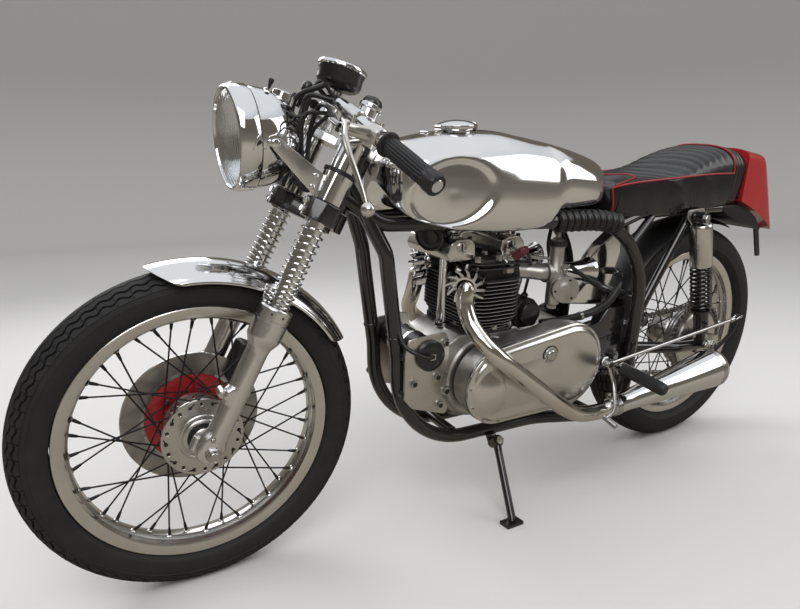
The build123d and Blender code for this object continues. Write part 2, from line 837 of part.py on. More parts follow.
half_link = link_pitch / 2
drive_chord = ((drive_radius + 1) ** 2 - half_link**2) ** 0.5
drum_radius = hypot(half_link, drive_chord - link_height) - fit_gap
with BuildPart() as drive_chain:
    with BuildSketch(slab_plane(chain_y + link_width / 2 - 1.5)):
        with BuildLine():
            Polyline(*scalloped(1), close=True)
        make_face()
        with BuildLine():
            Polyline(*scalloped(-1), close=True)
        make_face(mode=Mode.SUBTRACT)
    extrude(amount=link_width - 3)
    with BuildSketch(slab_plane(chain_y + link_width / 2)):
        for link in range(0, link_count, 2):
            start = chain_place(link / link_count)
            end = chain_place((link + 1) / link_count)
            middle = ((start[0] + end[0]) / 2, (start[1] + end[1]) / 2, 0)
            turn = degrees(atan2(end[1] - start[1], end[0] - start[0]))
            with Locations(Location(middle, (0, 0, turn))):
                Polygon(
                    (-half_link - 3, 0), (-half_link, link_height), (0, link_waist),
                    (half_link, link_height), (half_link + 3, 0), (half_link, -link_height),
                    (0, -link_waist), (-half_link, -link_height),
                )
    extrude(amount=link_width)
drive_chain.part.label = "drive_chain"

# Crankcase: round case with its mouth for the barrels and a sump to the cradle
with BuildPart() as crankcase:
    add(turned(
        (
            (0, -case_half), (case_radius - 20, -case_half), (case_radius - 12, -70),
            (case_radius, -66), (case_radius, 42), (case_radius - 10, 52),
            (case_radius - 12, 68), (case_radius - 20, 74), (case_radius - 22, case_half),
            (0, case_half),
        ),
        Plane((crank_x, 0, crank_z), x_dir=(1, 0, 0), z_dir=(0, 1, 0)).location,
    ))
    with BuildSketch(slab_plane(case_half)):
        with BuildLine():
            Polyline(
                (barrel_x + 77, 330), (barrel_x + 77, barrel_low),
                (barrel_x - 82, barrel_low), (680, 440), (620, 400),
                (620, 300), (700, 240), (860, 240), close=True,
            )
        make_face()
    extrude(amount=2 * case_half)
    with BuildSketch(slab_plane(front_plate_in - fit_gap)):
        with BuildLine():
            Polyline(
                (850, 330), (900, 330), (915, 440), (barrel_x + 82, barrel_low),
                (850, barrel_low), close=True,
            )
        make_face()
    extrude(amount=2 * (front_plate_in - fit_gap))
    with BuildSketch(Plane.XY.offset(barrel_low - fit_gap)):
        with Locations((barrel_x, 0)):
            Rectangle(400, 400)
    extrude(amount=100, mode=Mode.SUBTRACT)
crankcase.part.label = "crankcase"

# Primary chaincase on the left
primary_humps = (
    # place x, place z, radius, height above the cover
    (crank_x - 8, crank_z - 11, 54, 10),
    (primary_rear_x + 6, primary_rear_z + 3, 82, 6),
    (676, 413, 27, 5),
    (690, 336, 13, 5),
)
with BuildPart() as primary_chaincase:
    for shrink, face_y in ((0, primary_flange_y), (primary_flange, primary_out)):
        with BuildSketch(slab_plane(primary_in)):
            with BuildLine():
                belt_outline(
                    crank_x, crank_z, primary_front_radius - shrink,
                    primary_rear_x, primary_rear_z, primary_rear_radius - shrink,
                )
            make_face()
        extrude(amount=-(face_y - primary_in))
    fillet(faces().sort_by(Axis.Y)[-1].edges(), 4)
    for hump_x, hump_z, radius, height in primary_humps:
        hump_seat = Plane((hump_x, primary_out, hump_z), x_dir=(1, 0, 0), z_dir=(0, 1, 0))
        add(turned(
            (
                (0, -6), (radius, -6), (radius, 0), (radius - height / 2, height * 0.7),
                (radius - height, height), (0, height),
            ),
            hump_seat.location,
        ))
primary_chaincase.part.label = "primary_chaincase"

# Right side: timing cover, gearbox and its outer cover
with BuildPart() as timing_cover:
    with BuildSketch(slab_plane(-case_half - fit_gap)):
        with BuildLine():
            belt_outline(crank_x + 20, crank_z - 5, 70, crank_x - 60, crank_z + 45, 58)
        make_face()
    extrude(amount=37)
    fillet(faces().sort_by(Axis.Y)[0].edges(), 8)
timing_cover.part.label = "timing_cover"

plate_in = case_half + fit_gap
cover_in = plate_in + plate_thickness + fit_gap
cover_out = cover_in + 26
with BuildPart() as gearbox:
    with BuildSketch(slab_plane(case_half)):
        with BuildLine():
            belt_outline(530, 385, 62, 565, 330, 50)
        make_face()
    extrude(amount=2 * case_half)
    with BuildSketch(slab_plane(case_half)):
        with BuildLine():
            belt_outline(0, rear_radius, sprocket_radius + 9, drive_x, drive_z, drive_radius + 9)
        make_face()
    extrude(amount=30, mode=Mode.SUBTRACT)
    with BuildSketch(slab_plane(case_half)):
        with Locations((drive_x, drive_z)):
            Circle(drum_radius)
    extrude(amount=30)
    with BuildSketch(slab_plane(-cover_in)):
        with BuildLine():
            belt_outline(530, 385, 60, 565, 330, 48)
        make_face()
    extrude(amount=cover_out - cover_in)
gearbox.part.label = "gearbox"

# Barrels: a core with fins round both bores, and a pushrod tube at the front and the back
pushrod_offset = 75.0
with BuildPart() as cylinder_barrels:
    for level in range(fin_count):
        reach = fin_radius - 4 * max(3 - level, 0)
        with BuildSketch(Plane.XY.offset(barrel_low + 8 + level * fin_pitch)):
            with Locations((barrel_x, 0)):
                RectangleRounded(2 * reach, 2 * (bore_y + reach), fin_corner)
        extrude(amount=fin_thickness)
    with BuildSketch(Plane.XY.offset(barrel_low)):
        with Locations((barrel_x, bore_y), (barrel_x, -bore_y)):
            Circle(barrel_radius)
        with Locations((barrel_x, 0)):
            Rectangle(2 * barrel_radius, 2 * bore_y)
        with Locations((barrel_x + pushrod_offset, 0), (barrel_x - pushrod_offset, 0)):
            Circle(14)
    extrude(amount=head_low - barrel_low - fit_gap)
cylinder_barrels.part.label = "cylinder_barrels"

# Head, with a rocker box across the front and one across the back
with BuildPart() as cylinder_head:
    for level in range(4):
        with BuildSketch(Plane.XY.offset(head_low + level * 11.5)):
            with Locations((barrel_x, 0)):
                RectangleRounded(2 * fin_radius + 4, 2 * (bore_y + fin_radius), 40)
        extrude(amount=3.5)
    with BuildSketch(Plane.XY.offset(head_low)):
        with Locations((barrel_x, 0)):
            RectangleRounded(2 * barrel_radius, 2 * (bore_y + barrel_radius), 30)
    extrude(amount=head_top - head_low)
cylinder_head.part.label = "cylinder_head"

rocker_half = 98.0
rocker_outline = (
    # distance out from the box's middle, height above the head
    (-36, 0), (36, 0), (40, 16), (28, rocker_height - 5), (12, rocker_height + 2),
    (-20, rocker_height + 2), (-34, rocker_height - 9),
)
with BuildPart() as rocker_boxes:
    for box_x, way in ((856, 1), (715, -1)):
        with BuildSketch(slab_plane(rocker_half)):
            with BuildLine():
                Polyline(
                    *((box_x + way * a, head_top + fit_gap + b) for a, b in rocker_outline),
                    close=True,
                )
            make_face()
        extrude(amount=2 * rocker_half)
        for cap_y in (58, -58):
            with Locations((box_x, cap_y, head_top + rocker_height + 3)):
                Cylinder(17, 14)
        add(rod((box_x, -rocker_half - 3, 660), (box_x, rocker_half + 3, 660), 12.5))
rocker_boxes.part.label = "rocker_boxes"

# Engine plates: an alloy pair ahead of the crankcase and a pair behind it
with BuildPart() as left_front_plate:
    with BuildSketch(slab_plane(front_plate_in + 6)):
        with BuildLine():
            Polyline(
                (1014, 440), (1010, 336), (990, 304), (950, 284), (897, 281), (893, 300),
                (914, 360), (898, 400), (898, 446), (918, 470), (980, 464), close=True,
            )
        make_face()
    extrude(amount=6)
with BuildPart() as engine_plates:
    add(left_front_plate.part)
    mirror(about=Plane.XZ)
    add(crankcase.part, mode=Mode.SUBTRACT)
    add(main_frame.part, mode=Mode.SUBTRACT)
engine_plates.part.label = "engine_plates"

with BuildPart() as left_rear_plate:
    with BuildSketch(slab_plane(plate_in + plate_thickness)):
        with BuildLine():
            Polyline(
                (356, 318), (356, 488), (420, 488), (440, 452), (640, 440), (660, 420),
                (660, 300), (500, 290), close=True,
            )
        make_face()
        for hole_x, hole_z in ((378, 452), (378, 430), (378, 408), (398, 441), (398, 419)):
            with Locations((hole_x, hole_z)):
                Circle(4.6, mode=Mode.SUBTRACT)
    extrude(amount=plate_thickness)
with BuildPart() as rear_plates:
    add(left_rear_plate.part)
    mirror(about=Plane.XZ)
    add(rod((pivot_x, -200, pivot_z), (pivot_x, 200, pivot_z), 9 + running_gap),
        mode=Mode.SUBTRACT)
    add(main_frame.part, mode=Mode.SUBTRACT)
    add(rear_frame.part, mode=Mode.SUBTRACT)
rear_plates.part.label = "rear_plates"

# Dynamo across the front of the engine and magneto behind the barrels
with BuildPart() as dynamo:
    add(rod((948, -75, 432), (948, 88 + fit_gap, 432), 34))
    add(rod((948, 88 + fit_gap, 432), (948, 106, 432), 33))
    add(engine_plates.part, mode=Mode.SUBTRACT)
    add(crankcase.part, mode=Mode.SUBTRACT)
dynamo.part.label = "dynamo"

with BuildPart() as magneto:
    with BuildSketch(slab_plane(60)):
        with Locations((650, 455)):
            RectangleRounded(70, 78, 20)
    extrude(amount=120)
    add(crankcase.part, mode=Mode.SUBTRACT)
magneto.part.label = "magneto"

# Carburettors behind the head, one for each cylinder
with BuildPart() as left_carburettor:
    add(rod((578, 52, 500), (578, 52, 672), 20))
    add(turned(
        (
            (0, 0), (19, 0), (19, 150), (22, 192), (26, 224), (31, 241), (31, 244), (28, 244),
            (22, 218), (17, 190), (0, 188),
        ),
        Plane((713, 52, 588.7), x_dir=(0, 1, 0), z_dir=(-243, 0, -12.7)).location,
    ))
    add(rod((578, 52, 560), (578, 52, 596), 23))
    add(rod((575, 62, 536), (575, 86, 536), 27))
    add(rod((575, 86, 536), (575, 96, 536), 29))
with BuildPart() as carburettors:
    add(left_carburettor.part)
    mirror(about=Plane.XZ)
    add(cylinder_head.part, mode=Mode.SUBTRACT)
    add(cylinder_barrels.part, mode=Mode.SUBTRACT)
    add(rocker_boxes.part, mode=Mode.SUBTRACT)
carburettors.part.label = "carburettors"

# Exhaust pipes sweep forward, down outside the cases and back to the silencers
pipe_radius = 19.0
silencer_front = Vector(442, 198, 262)
silencer_rear = Vector(10, 204, 288)
silencer_way = silencer_rear - silencer_front
pipe_end = silencer_front - silencer_way.normalized() * fit_gap
left_pipe = tube(
    (
        (858, 62, 606), (925, 70, 606), (910, 130, 530), (850, 196, 440),
        (730, 198, 340), (610, 200, 262), pipe_end - silencer_way.normalized() * 80, pipe_end,
    ),
    (45, 60, 120, 250, 150, 100),
    pipe_radius,
)
port_way = Vector(1, 0.12, 0)
with BuildPart() as exhaust_pipes:
    add(left_pipe)
    with BuildSketch(Plane((868, 63, 606), x_dir=(0, 0, 1), z_dir=port_way)):
        with PolarLocations(30, 13):
            Rectangle(26, 2.6)
    extrude(amount=30)
    mirror(about=Plane.XZ)
    add(cylinder_head.part, mode=Mode.SUBTRACT)
    add(cylinder_barrels.part, mode=Mode.SUBTRACT)
    add(rocker_boxes.part, mode=Mode.SUBTRACT)
exhaust_pipes.part.label = "exhaust_pipes"

with BuildPart() as silencer_shape:
    reach = silencer_way.length
    with BuildSketch(Plane.XZ):
        with BuildLine():
            Polyline(
                (0, 0), (23, 0), (24, 30), (51, reach - 45), (51, reach - 30),
                (40, reach - 8), (20, reach), (20, reach + 12), (0, reach + 12), close=True,
            )
        make_face()
    revolve(axis=Axis.Z)
with BuildPart() as silencers:
    add(silencer_shape.part.moved(
        Plane(silencer_front, x_dir=(0, 1, 0), z_dir=silencer_way).location))
    mirror(about=Plane.XZ)
silencers.part.label = "silencers"

# Fuel tank: sections along the machine, each a rounded box
tank_sections = (
    # place x, half width, underside and top above the rails' middle, corner radius
    (470, 76, 46, 126, 34),
    (525, 120, 36, 146, 46),
    (645, 131, 31, 175, 56),
    (705, 132, -4, 185, 62),
    (800, 132, -12, 190, 64),
    (930, 122, -4, 182, 62),
    (1035, 56, 42, 136, 40),
)
recess_x = 922.0
recess_floor = 112.0
with BuildPart() as fuel_tank:
    for place, half, low, high, corner in tank_sections:
        middle = rail_z + (low + high) / 2
        plane = Plane(origin=(place, 0, middle), x_dir=(0, 1, 0), z_dir=(1, 0, 0))
        with BuildSketch(plane):
            RectangleRounded(2 * half, high - low, corner)
    loft()
    for wall in (recess_floor + 40, -recess_floor):
        with BuildSketch(slab_plane(wall)):
            with Locations((recess_x, rail_z + 67)):
                Ellipse(86, 60)
        extrude(amount=40, mode=Mode.SUBTRACT)
    with BuildSketch(Plane.XY.offset(650)):
        with BuildLine():
            Polyline(
                (400, 148), (640, 134), (1100, 62), (1100, -62), (640, -134), (400, -148),
                close=True,
            )
        make_face()
    extrude(amount=rail_z + tube_radius + fit_gap - 650, mode=Mode.SUBTRACT)
    add(main_frame.part, mode=Mode.SUBTRACT)
fuel_tank.part.label = "fuel_tank"

with BuildPart() as filler_cap:
    add(turned(
        (
            (0, -14), (36, -14), (36, 8), (43, 12), (46, 16), (40, 22), (14, 29), (0, 30),
        ),
        Plane((850, 0, rail_z + 181), x_dir=(0, 1, 0), z_dir=(0.06, 0, 1)).location,
    ))
    add(fuel_tank.part, mode=Mode.SUBTRACT)
filler_cap.part.label = "filler_cap"

# Ribbed sleeve round the left top rail, behind the tank
sleeve_start = 640.0
sleeve_rib_pitch = 11.0
with BuildPart() as rail_sleeve:
    for rib in range(10):
        spot = sleeve_start - rib * sleeve_rib_pitch
        add(rod((spot, loop_y - 14, rail_z), (spot - 7, loop_y - 13.6, rail_z), 25))
    add(rod((sleeve_start, loop_y - 14, rail_z),
            (sleeve_start - 10 * sleeve_rib_pitch, loop_y - 9.8, rail_z), 21))
    add(main_frame.part, mode=Mode.SUBTRACT)
rail_sleeve.part.label = "rail_sleeve"

# Oil tank inside the frame's left side
with BuildPart() as oil_tank:
    with BuildSketch(slab_plane(104)):
        with BuildLine():
            Polyline(
                (548, 516), (470, 510), (385, 590), (412, rail_z - 40), (505, rail_z - 40),
                close=True,
            )
        make_face()
    extrude(amount=70)
    fillet(edges().filter_by(Axis.Y), 14)
    add(rod((430, 96, 600), (358, 118, 582), 7))
    add(rail_sleeve.part, mode=Mode.SUBTRACT)
    add(main_frame.part, mode=Mode.SUBTRACT)
    add(rear_frame.part, mode=Mode.SUBTRACT)
    add(carburettors.part, mode=Mode.SUBTRACT)
oil_tank.part.label = "oil_tank"

with BuildPart() as hoses:
    add(tube(
        ((489, 118, rail_z - 42), (436, 126, rail_z - 72), (420, 126, 560), (470, 120, 505), (560, 106, 492),
         (650, 62, 474)),
        (60, 70, 60, 90), 9))
    add(magneto.part, mode=Mode.SUBTRACT)
    add(rail_sleeve.part, mode=Mode.SUBTRACT)
    add(main_frame.part, mode=Mode.SUBTRACT)
    add(rear_frame.part, mode=Mode.SUBTRACT)
    add(oil_tank.part, mode=Mode.SUBTRACT)
    add(carburettors.part, mode=Mode.SUBTRACT)
    add(crankcase.part, mode=Mode.SUBTRACT)
hoses.part.label = "hoses"

# Seat pad: two horns round the tank's end, a flat middle and a hump at the back
seat_rear = -58.0
seat_sections = (
    # place x, half width, base, side edge and crown above the rails' middle
    (469, 107, -6, 69, 74),
    (320, 113, 0, 85, 89),
    (207, 115, 5, 96, 112),
    (132, 115, 8, 101, 144),
    (10, 113, 16, 105, 173),
    (seat_rear, 106, 22, 106, 163),
)
notch_x = 290.0
with BuildPart() as seat_pad:
    for place, half, base, edge, crown in seat_sections:
        with BuildSketch(Plane(origin=(place, 0, rail_z), x_dir=(0, 1, 0), z_dir=(1, 0, 0))):
            with BuildLine():
                Polyline((-half, edge), (-half + 4, base), (half - 4, base), (half, edge))
                ThreePointArc((half, edge), (0, crown), (-half, edge))
            make_face()
    loft()
    with BuildSketch(Plane.XY.offset(rail_z - 40)):
        with BuildLine():
            Polyline((notch_x + 80, -72), (480, -107), (480, 107), (notch_x + 80, 72))
            ThreePointArc((notch_x + 80, 72), (notch_x, 0), (notch_x + 80, -72))
        make_face()
    extrude(amount=200, mode=Mode.SUBTRACT)
    with BuildSketch(slab_plane(seat_sections[0][1] + 20)):
        with BuildLine():
            Polyline((412, rail_z - 20), (452, rail_z + 20), (490, rail_z + 20),
                     (490, rail_z - 20), close=True)
        make_face()
    extrude(amount=300, mode=Mode.SUBTRACT)
    add(fuel_tank.part, mode=Mode.SUBTRACT)
    add(main_frame.part, mode=Mode.SUBTRACT)
    add(rear_frame.part, mode=Mode.SUBTRACT)
    add(rail_sleeve.part, mode=Mode.SUBTRACT)
seat_pad.part.label = "seat_pad"

# Tail unit: the red shell where three outlines meet, seen from the side, the front and above
tail_half = 107.0
tail_front = seat_rear - fit_gap
tail_tip = -256.0
with BuildPart() as tail_unit:
    with BuildSketch(slab_plane(tail_half)):
        with BuildLine():
            Polyline(
                (tail_front, rail_z + 28), (tail_front, rail_z + 166), (-134, rail_z + 158),
                (-152, rail_z + 148), (-163, rail_z + 128), (tail_tip, rail_z - 66),
                (-224, rail_z - 54), (-187, rail_z - 20), (-143, rail_z + 6),
                (-85, rail_z + 19), close=True,
            )
        make_face()
    extrude(amount=2 * tail_half)
    with BuildSketch(Plane(origin=(-300, 0, rail_z), x_dir=(0, 1, 0), z_dir=(1, 0, 0))):
        with BuildLine():
            Polyline(
                (-tail_half, -80), (-tail_half, 118), (-98, 137), (-76, 151), (-40, 170),
                (40, 170), (76, 151), (98, 137), (tail_half, 118), (tail_half, -80), close=True,
            )
        make_face()
    extrude(amount=300, mode=Mode.INTERSECT)
    with BuildSketch(Plane.XY.offset(rail_z - 100)):
        with BuildLine():
            Polyline(
                (0, -tail_half - 1), (-118, -tail_half - 1), (-300, -82), (-300, 82),
                (-118, tail_half + 1), (0, tail_half + 1), close=True,
            )
        make_face()
    extrude(amount=300, mode=Mode.INTERSECT)
tail_unit.part.label = "tail_unit"

# Rear mudguard under the seat, close round the tyre, with the tray that closes the tail below
guard_lip = rear_radius + 10.3
guard_top = rear_radius + 26.3
with BuildPart() as rear_guard_shape:
    with BuildSketch(Plane.XY):
        with BuildLine():
            ThreePointArc((guard_lip, 62), (guard_top, 0), (guard_lip, -62))
            Line((guard_lip, -62), (guard_lip - 2, -60))
            ThreePointArc((guard_lip - 2, -60), (guard_top - 2.5, 0), (guard_lip - 2, 60))
            Line((guard_lip - 2, 60), (guard_lip, 62))
        make_face()
    revolve(axis=Axis.Y, revolution_arc=83)
with BuildPart() as rear_mudguard:
    add(rear_guard_shape.part.moved(Location(rear_centre, (0, -108, 0))))
    with BuildSketch(slab_plane(96)):
        with BuildLine():
            Polyline(
                (24, rail_z + 10), (-60, rail_z + 16), (-117, rail_z), (-160, rail_z - 24),
                (-200, rail_z - 66), (-120, rail_z - 46), (-20, rail_z - 22), close=True,
            )
        make_face()
    extrude(amount=192)
    with BuildSketch(slab_plane(96)):
        with Locations((rear_centre.X, rear_centre.Z)):
            Circle(guard_top - 2.5)
    extrude(amount=192, mode=Mode.SUBTRACT)
    add(rod((120, 0, 664), (136, 0, rail_z - 6), 8))
    add(main_frame.part, mode=Mode.SUBTRACT)
    add(rear_frame.part, mode=Mode.SUBTRACT)
    add(swing_arm.part, mode=Mode.SUBTRACT)
    add(seat_pad.part, mode=Mode.SUBTRACT)
    add(tail_unit.part, mode=Mode.SUBTRACT)
rear_mudguard.part.label = "rear_mudguard"

# Rear shocks: a bright cover over the damper, and a coil spring below it
shock_low = Vector(37, 140, 345)
cover_end = 134.0
coil_out = 28.5
with BuildPart() as damper:
    with BuildSketch(Plane.XZ):
        for radius, start, end in ((13, 5, 16), (32.5, 14, cover_end), (20, 100, 336)):
            with Locations((radius / 2, (start + end) / 2)):
                Rectangle(radius, end - start)
        for coil in range(11):
            with Locations((coil_out / 2, cover_end + 6 + coil * 12)):
                Rectangle(coil_out, 6.5)
    revolve(axis=Axis.Z)
with BuildPart() as left_shock:
    way = (shock_low - shock_top).normalized()
    add(damper.part.moved(Plane(shock_top, x_dir=(0, 1, 0), z_dir=way).location))
    add(rod(shock_top + Vector(0, -12, 0), shock_top + Vector(0, 14, 0), 15))
    add(rod(shock_top + way * 330, shock_low, 12))
    add(rod(shock_low + Vector(0, -21, 0), shock_low + Vector(0, 14, 0), 12))
with BuildPart() as rear_shocks:
    add(left_shock.part)
    mirror(about=Plane.XZ)
    add(rear_frame.part, mode=Mode.SUBTRACT)
    add(swing_arm.part, mode=Mode.SUBTRACT)
rear_shocks.part.label = "rear_shocks"

# Footrests, brake pedal with its rod on the left, gear lever and kick lever on the right
rest_x = 430.0
rest_z = 345.0
with BuildPart() as left_rest:
    add(rod((rest_x, bolt_y, rest_z), (rest_x, 178, rest_z), 9))
    add(rod((rest_x, 178, rest_z), (rest_x - 12, 300, rest_z - 14), 15))
with BuildPart() as footrests:
    add(left_rest.part)
    mirror(about=Plane.XZ)
    add(main_frame.part, mode=Mode.SUBTRACT)
    add(rear_plates.part, mode=Mode.SUBTRACT)
    add(swing_arm.part, mode=Mode.SUBTRACT)
footrests.part.label = "footrests"

rod_y = 172.0
with BuildPart() as brake_pedal:
    add(
        tube(
            ((472, rod_y, 362), (452, rod_y + 8, 320), (498, 232, 264), (534, 236, 256)),
            (20, 30),
            5,
        )
    )
    add(rod((530, 226, 256), (530, 262, 246), 6))
    add(rod((472, rod_y, 362), (rest_x, rod_y, rest_z), 6))
    add(rod((472, rod_y, 362), (-75, rod_y, 420), 3.5))
    add(rod((-75, rod_y, 420), (-4, rod_y, 300), 4))
    add(footrests.part, mode=Mode.SUBTRACT)
brake_pedal.part.label = "brake_pedal"

with BuildPart() as gear_lever:
    add(rod((560, -cover_out - fit_gap, 345), (560, -146, 345), 8))
    add(rod((560, -140, 345), (556, -140, 380), 5))
    add(rod((556, -140, 380), (500, -165, 372), 3.5))
    add(tube(((500, -168, 376), (486, -172, 330), (530, -188, 305)), (12,), 5))
    add(rod((528, -184, 305), (528, -236, 305), 7))
    add(rod((rest_x, -172, rest_z), (486, -172, 336), 5))
    add(rod((530, -cover_out - fit_gap, 410), (530, -146, 410), 9))
    add(rod((530, -140, 410), (480, -158, 540), 7))
    add(footrests.part, mode=Mode.SUBTRACT)
gear_lever.part.label = "gear_lever"

with BuildPart() as horn:
    add(rod((905, 20, 690), (935, 45, 680), 32))
    add(rod((912, 30, 690), (912, 66, 712), 6))
    add(fuel_tank.part, mode=Mode.SUBTRACT)
    add(rocker_boxes.part, mode=Mode.SUBTRACT)
    add(main_frame.part, mode=Mode.SUBTRACT)
horn.part.label = "horn"

# Brake caliper behind the right slider, astride the disc
with BuildPart() as caliper_shape:
    with BuildSketch(Plane.XZ):
        with Locations((-52, 138)):
            RectangleRounded(56, 84, 10)
    extrude(amount=24, both=True)
    with BuildSketch(Plane.XZ):
        Circle(disc_radius + 2)
    extrude(amount=disc_thickness / 2 + 1.2, both=True, mode=Mode.SUBTRACT)
with BuildPart() as brake_caliper:
    add(caliper_shape.part.moved(fork_seat(left=-disc_y)))
    add(fork_sliders.part, mode=Mode.SUBTRACT)
brake_caliper.part.label = "brake_caliper"

# Control cables from the levers down beside the headstock
with BuildPart() as control_cables:
    add(tube(
        (lever_pivot + Vector(7, -5, 1), fork_point(70, 110, 640), fork_point(64, 40, 600),
         fork_point(40, 44, 540), fork_point(36, 52, 506)),
        (40, 45, 60), 3.5))
    mirror(about=Plane.XZ)
    add(hand_levers.part, mode=Mode.SUBTRACT)
    add(headlamp_shell.part, mode=Mode.SUBTRACT)
    add(fork_shrouds.part, mode=Mode.SUBTRACT)
control_cables.part.label = "control_cables"

# Side stand: a leg from its bolt below the left cradle tube to a foot on the floor
foot_z = foot_y * tan(radians(lean)) + 4 - tyre_roll
with BuildPart() as side_stand:
    add(rod(stand_pivot, (foot_x, foot_y, foot_z + 6), 9))
    add(rod(stand_pivot - stand_axis * boss_half, stand_pivot + stand_axis * boss_half, 14))
    with Locations(Location((foot_x + 4, foot_y + 4, foot_z), (lean, 0, 0))):
        Box(46, 30, 8)
side_stand.part.label = "side_stand"

pieces = [
    front_tyre, rear_tyre, front_rim, rear_rim, front_hub, brake_disc, disc_carrier, front_axle,
    fork_sliders, fork_stanchions, fork_yokes, fork_shrouds, headlamp_shell, headlamp_lens,
    speedometer, clip_ons, grips, hand_levers, front_mudguard, main_frame, rear_frame,
    swing_arm, rear_axle, rear_hub, drive_chain, crankcase, primary_chaincase, timing_cover,
    gearbox, cylinder_barrels, cylinder_head, rocker_boxes, engine_plates, rear_plates, dynamo,
    magneto, carburettors, exhaust_pipes, silencers, fuel_tank, filler_cap, rail_sleeve,
    oil_tank, hoses, seat_pad, tail_unit, rear_mudguard, rear_shocks, footrests, brake_pedal,
    gear_lever, horn, brake_caliper, control_cables, side_stand,
]

# Parked: leaned to the left about the line through both tyres' lowest points
leaned = Location((0, 0, 0), (-lean, 0, 0))
box = Compound([piece.part.moved(leaned) for piece in pieces]).bounding_box()
to_middle = Vector(-(box.min.X + box.max.X) / 2, -(box.min.Y + box.max.Y) / 2, -box.min.Z)
parked = Location(to_middle) * leaned
print("shift to the middle", to_middle)
for piece in pieces:
    export_step(piece.part.moved(parked), f"parts/{piece.part.label}.step")
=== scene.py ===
"""Looks of a cafe racer motorcycle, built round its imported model.

Sizes are millimetres on the upright machine: X forward, Y to the rider's left, Z up, with the zero
below the rear axle. Parked.place leans the points over, as the machine stands, and gives metres.
"""

import json
import logging
import math
from dataclasses import dataclass, field
from enum import Enum
from typing import Sequence

import bmesh
import bpy
import numpy as np
from mathutils import Matrix

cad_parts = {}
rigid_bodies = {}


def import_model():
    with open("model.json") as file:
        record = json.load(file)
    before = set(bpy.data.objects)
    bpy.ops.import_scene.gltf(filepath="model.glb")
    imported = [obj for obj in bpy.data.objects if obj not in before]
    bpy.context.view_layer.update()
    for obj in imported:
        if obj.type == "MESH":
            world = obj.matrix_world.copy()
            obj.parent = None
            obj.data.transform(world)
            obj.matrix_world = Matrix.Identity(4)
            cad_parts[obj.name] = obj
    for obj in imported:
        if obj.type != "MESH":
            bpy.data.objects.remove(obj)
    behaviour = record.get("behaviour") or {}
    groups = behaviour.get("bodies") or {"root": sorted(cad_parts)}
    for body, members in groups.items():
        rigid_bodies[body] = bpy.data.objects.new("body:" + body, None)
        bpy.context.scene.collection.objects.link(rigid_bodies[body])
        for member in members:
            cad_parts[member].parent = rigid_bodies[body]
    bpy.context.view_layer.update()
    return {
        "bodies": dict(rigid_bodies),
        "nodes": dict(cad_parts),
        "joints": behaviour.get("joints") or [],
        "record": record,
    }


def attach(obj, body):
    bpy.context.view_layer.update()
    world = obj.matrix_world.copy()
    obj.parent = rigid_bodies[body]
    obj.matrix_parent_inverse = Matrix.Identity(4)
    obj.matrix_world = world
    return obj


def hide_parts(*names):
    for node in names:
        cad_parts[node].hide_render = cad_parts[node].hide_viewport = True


log = logging.getLogger("cafe_racer")

MM = 0.001
MERGE_METRES = 2e-6
FULL_TURN = 2 * math.pi
SIDE = (0.0, 1.0, 0.0)
FORWARD = (1.0, 0.0, 0.0)
UPWARD = (0.0, 0.0, 1.0)
ORIGIN = (0.0, 0.0, 0.0)
Points = np.ndarray


class Body(Enum):
    """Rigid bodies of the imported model."""

    FRAME = "frame"
    STEERING = "steering"
    FRONT_WHEEL = "front_wheel"
    REAR_WHEEL = "rear_wheel"
    SIDE_STAND = "side_stand"


class Grain(Enum):
    """Kinds of fine relief that a finish may have."""

    SMOOTH = "smooth"
    CAST = "cast"
    BRUSHED = "brushed"
    HIDE = "hide"


def unit(vector: Sequence[float]) -> Points:
    """The vector at length 1."""
    vector = np.asarray(vector, float)
    return vector / np.linalg.norm(vector)


@dataclass(frozen=True)
class Seat:
    """A place with its own directions, given by an origin, its Z and a direction close to its X.

    Without directions, Z points to the machine's left and X forward, as on an axle.
    """

    origin: Sequence[float]
    z: Sequence[float] = SIDE
    x: Sequence[float] = FORWARD

    def axes(self) -> tuple[Points, Points, Points]:
        """The seat's X, Y and Z as unit vectors."""
        z = unit(self.z)
        x = np.asarray(self.x, float)
        x = unit(x - z * (x @ z))
        return x, np.cross(z, x), z

    def put(self, points: Points) -> Points:
        """Points given in the seat's directions, on the machine."""
        x, y, z = self.axes()
        points = np.asarray(points, float)
        spread = points[..., 0:1] * x + points[..., 1:2] * y + points[..., 2:3] * z
        return spread + np.asarray(self.origin, float)


@dataclass(frozen=True)
class Fork:
    """The fork's directions, from the front axle: ahead, left and along the legs."""

    axle: tuple[float, float, float] = (1420.0, 0.0, 323.3)
    rake: float = 27.15
    leg_y: float = 93.5

    @property
    def up(self) -> Points:
        """Direction up along the legs."""
        return np.array([-math.sin(math.radians(self.rake)), 0, math.cos(math.radians(self.rake))])

    @property
    def ahead(self) -> Points:
        """Direction ahead, square to the legs."""
        return np.array([math.cos(math.radians(self.rake)), 0, math.sin(math.radians(self.rake))])

    def at(self, ahead: float, left: float, along: float) -> Points:
        """A point given in the fork's directions, on the machine."""
        return np.asarray(self.axle) + self.ahead * ahead + self.up * along + np.array([0, left, 0])

    def seat(self, ahead: float = 0.0, left: float = 0.0, along: float = 0.0) -> Seat:
        """A seat whose Z runs up the leg and whose X points ahead."""
        return Seat(self.at(ahead, left, along), self.up, self.ahead)


FORK = Fork()
REAR_AXLE = (0.0, 0.0, 329.7)


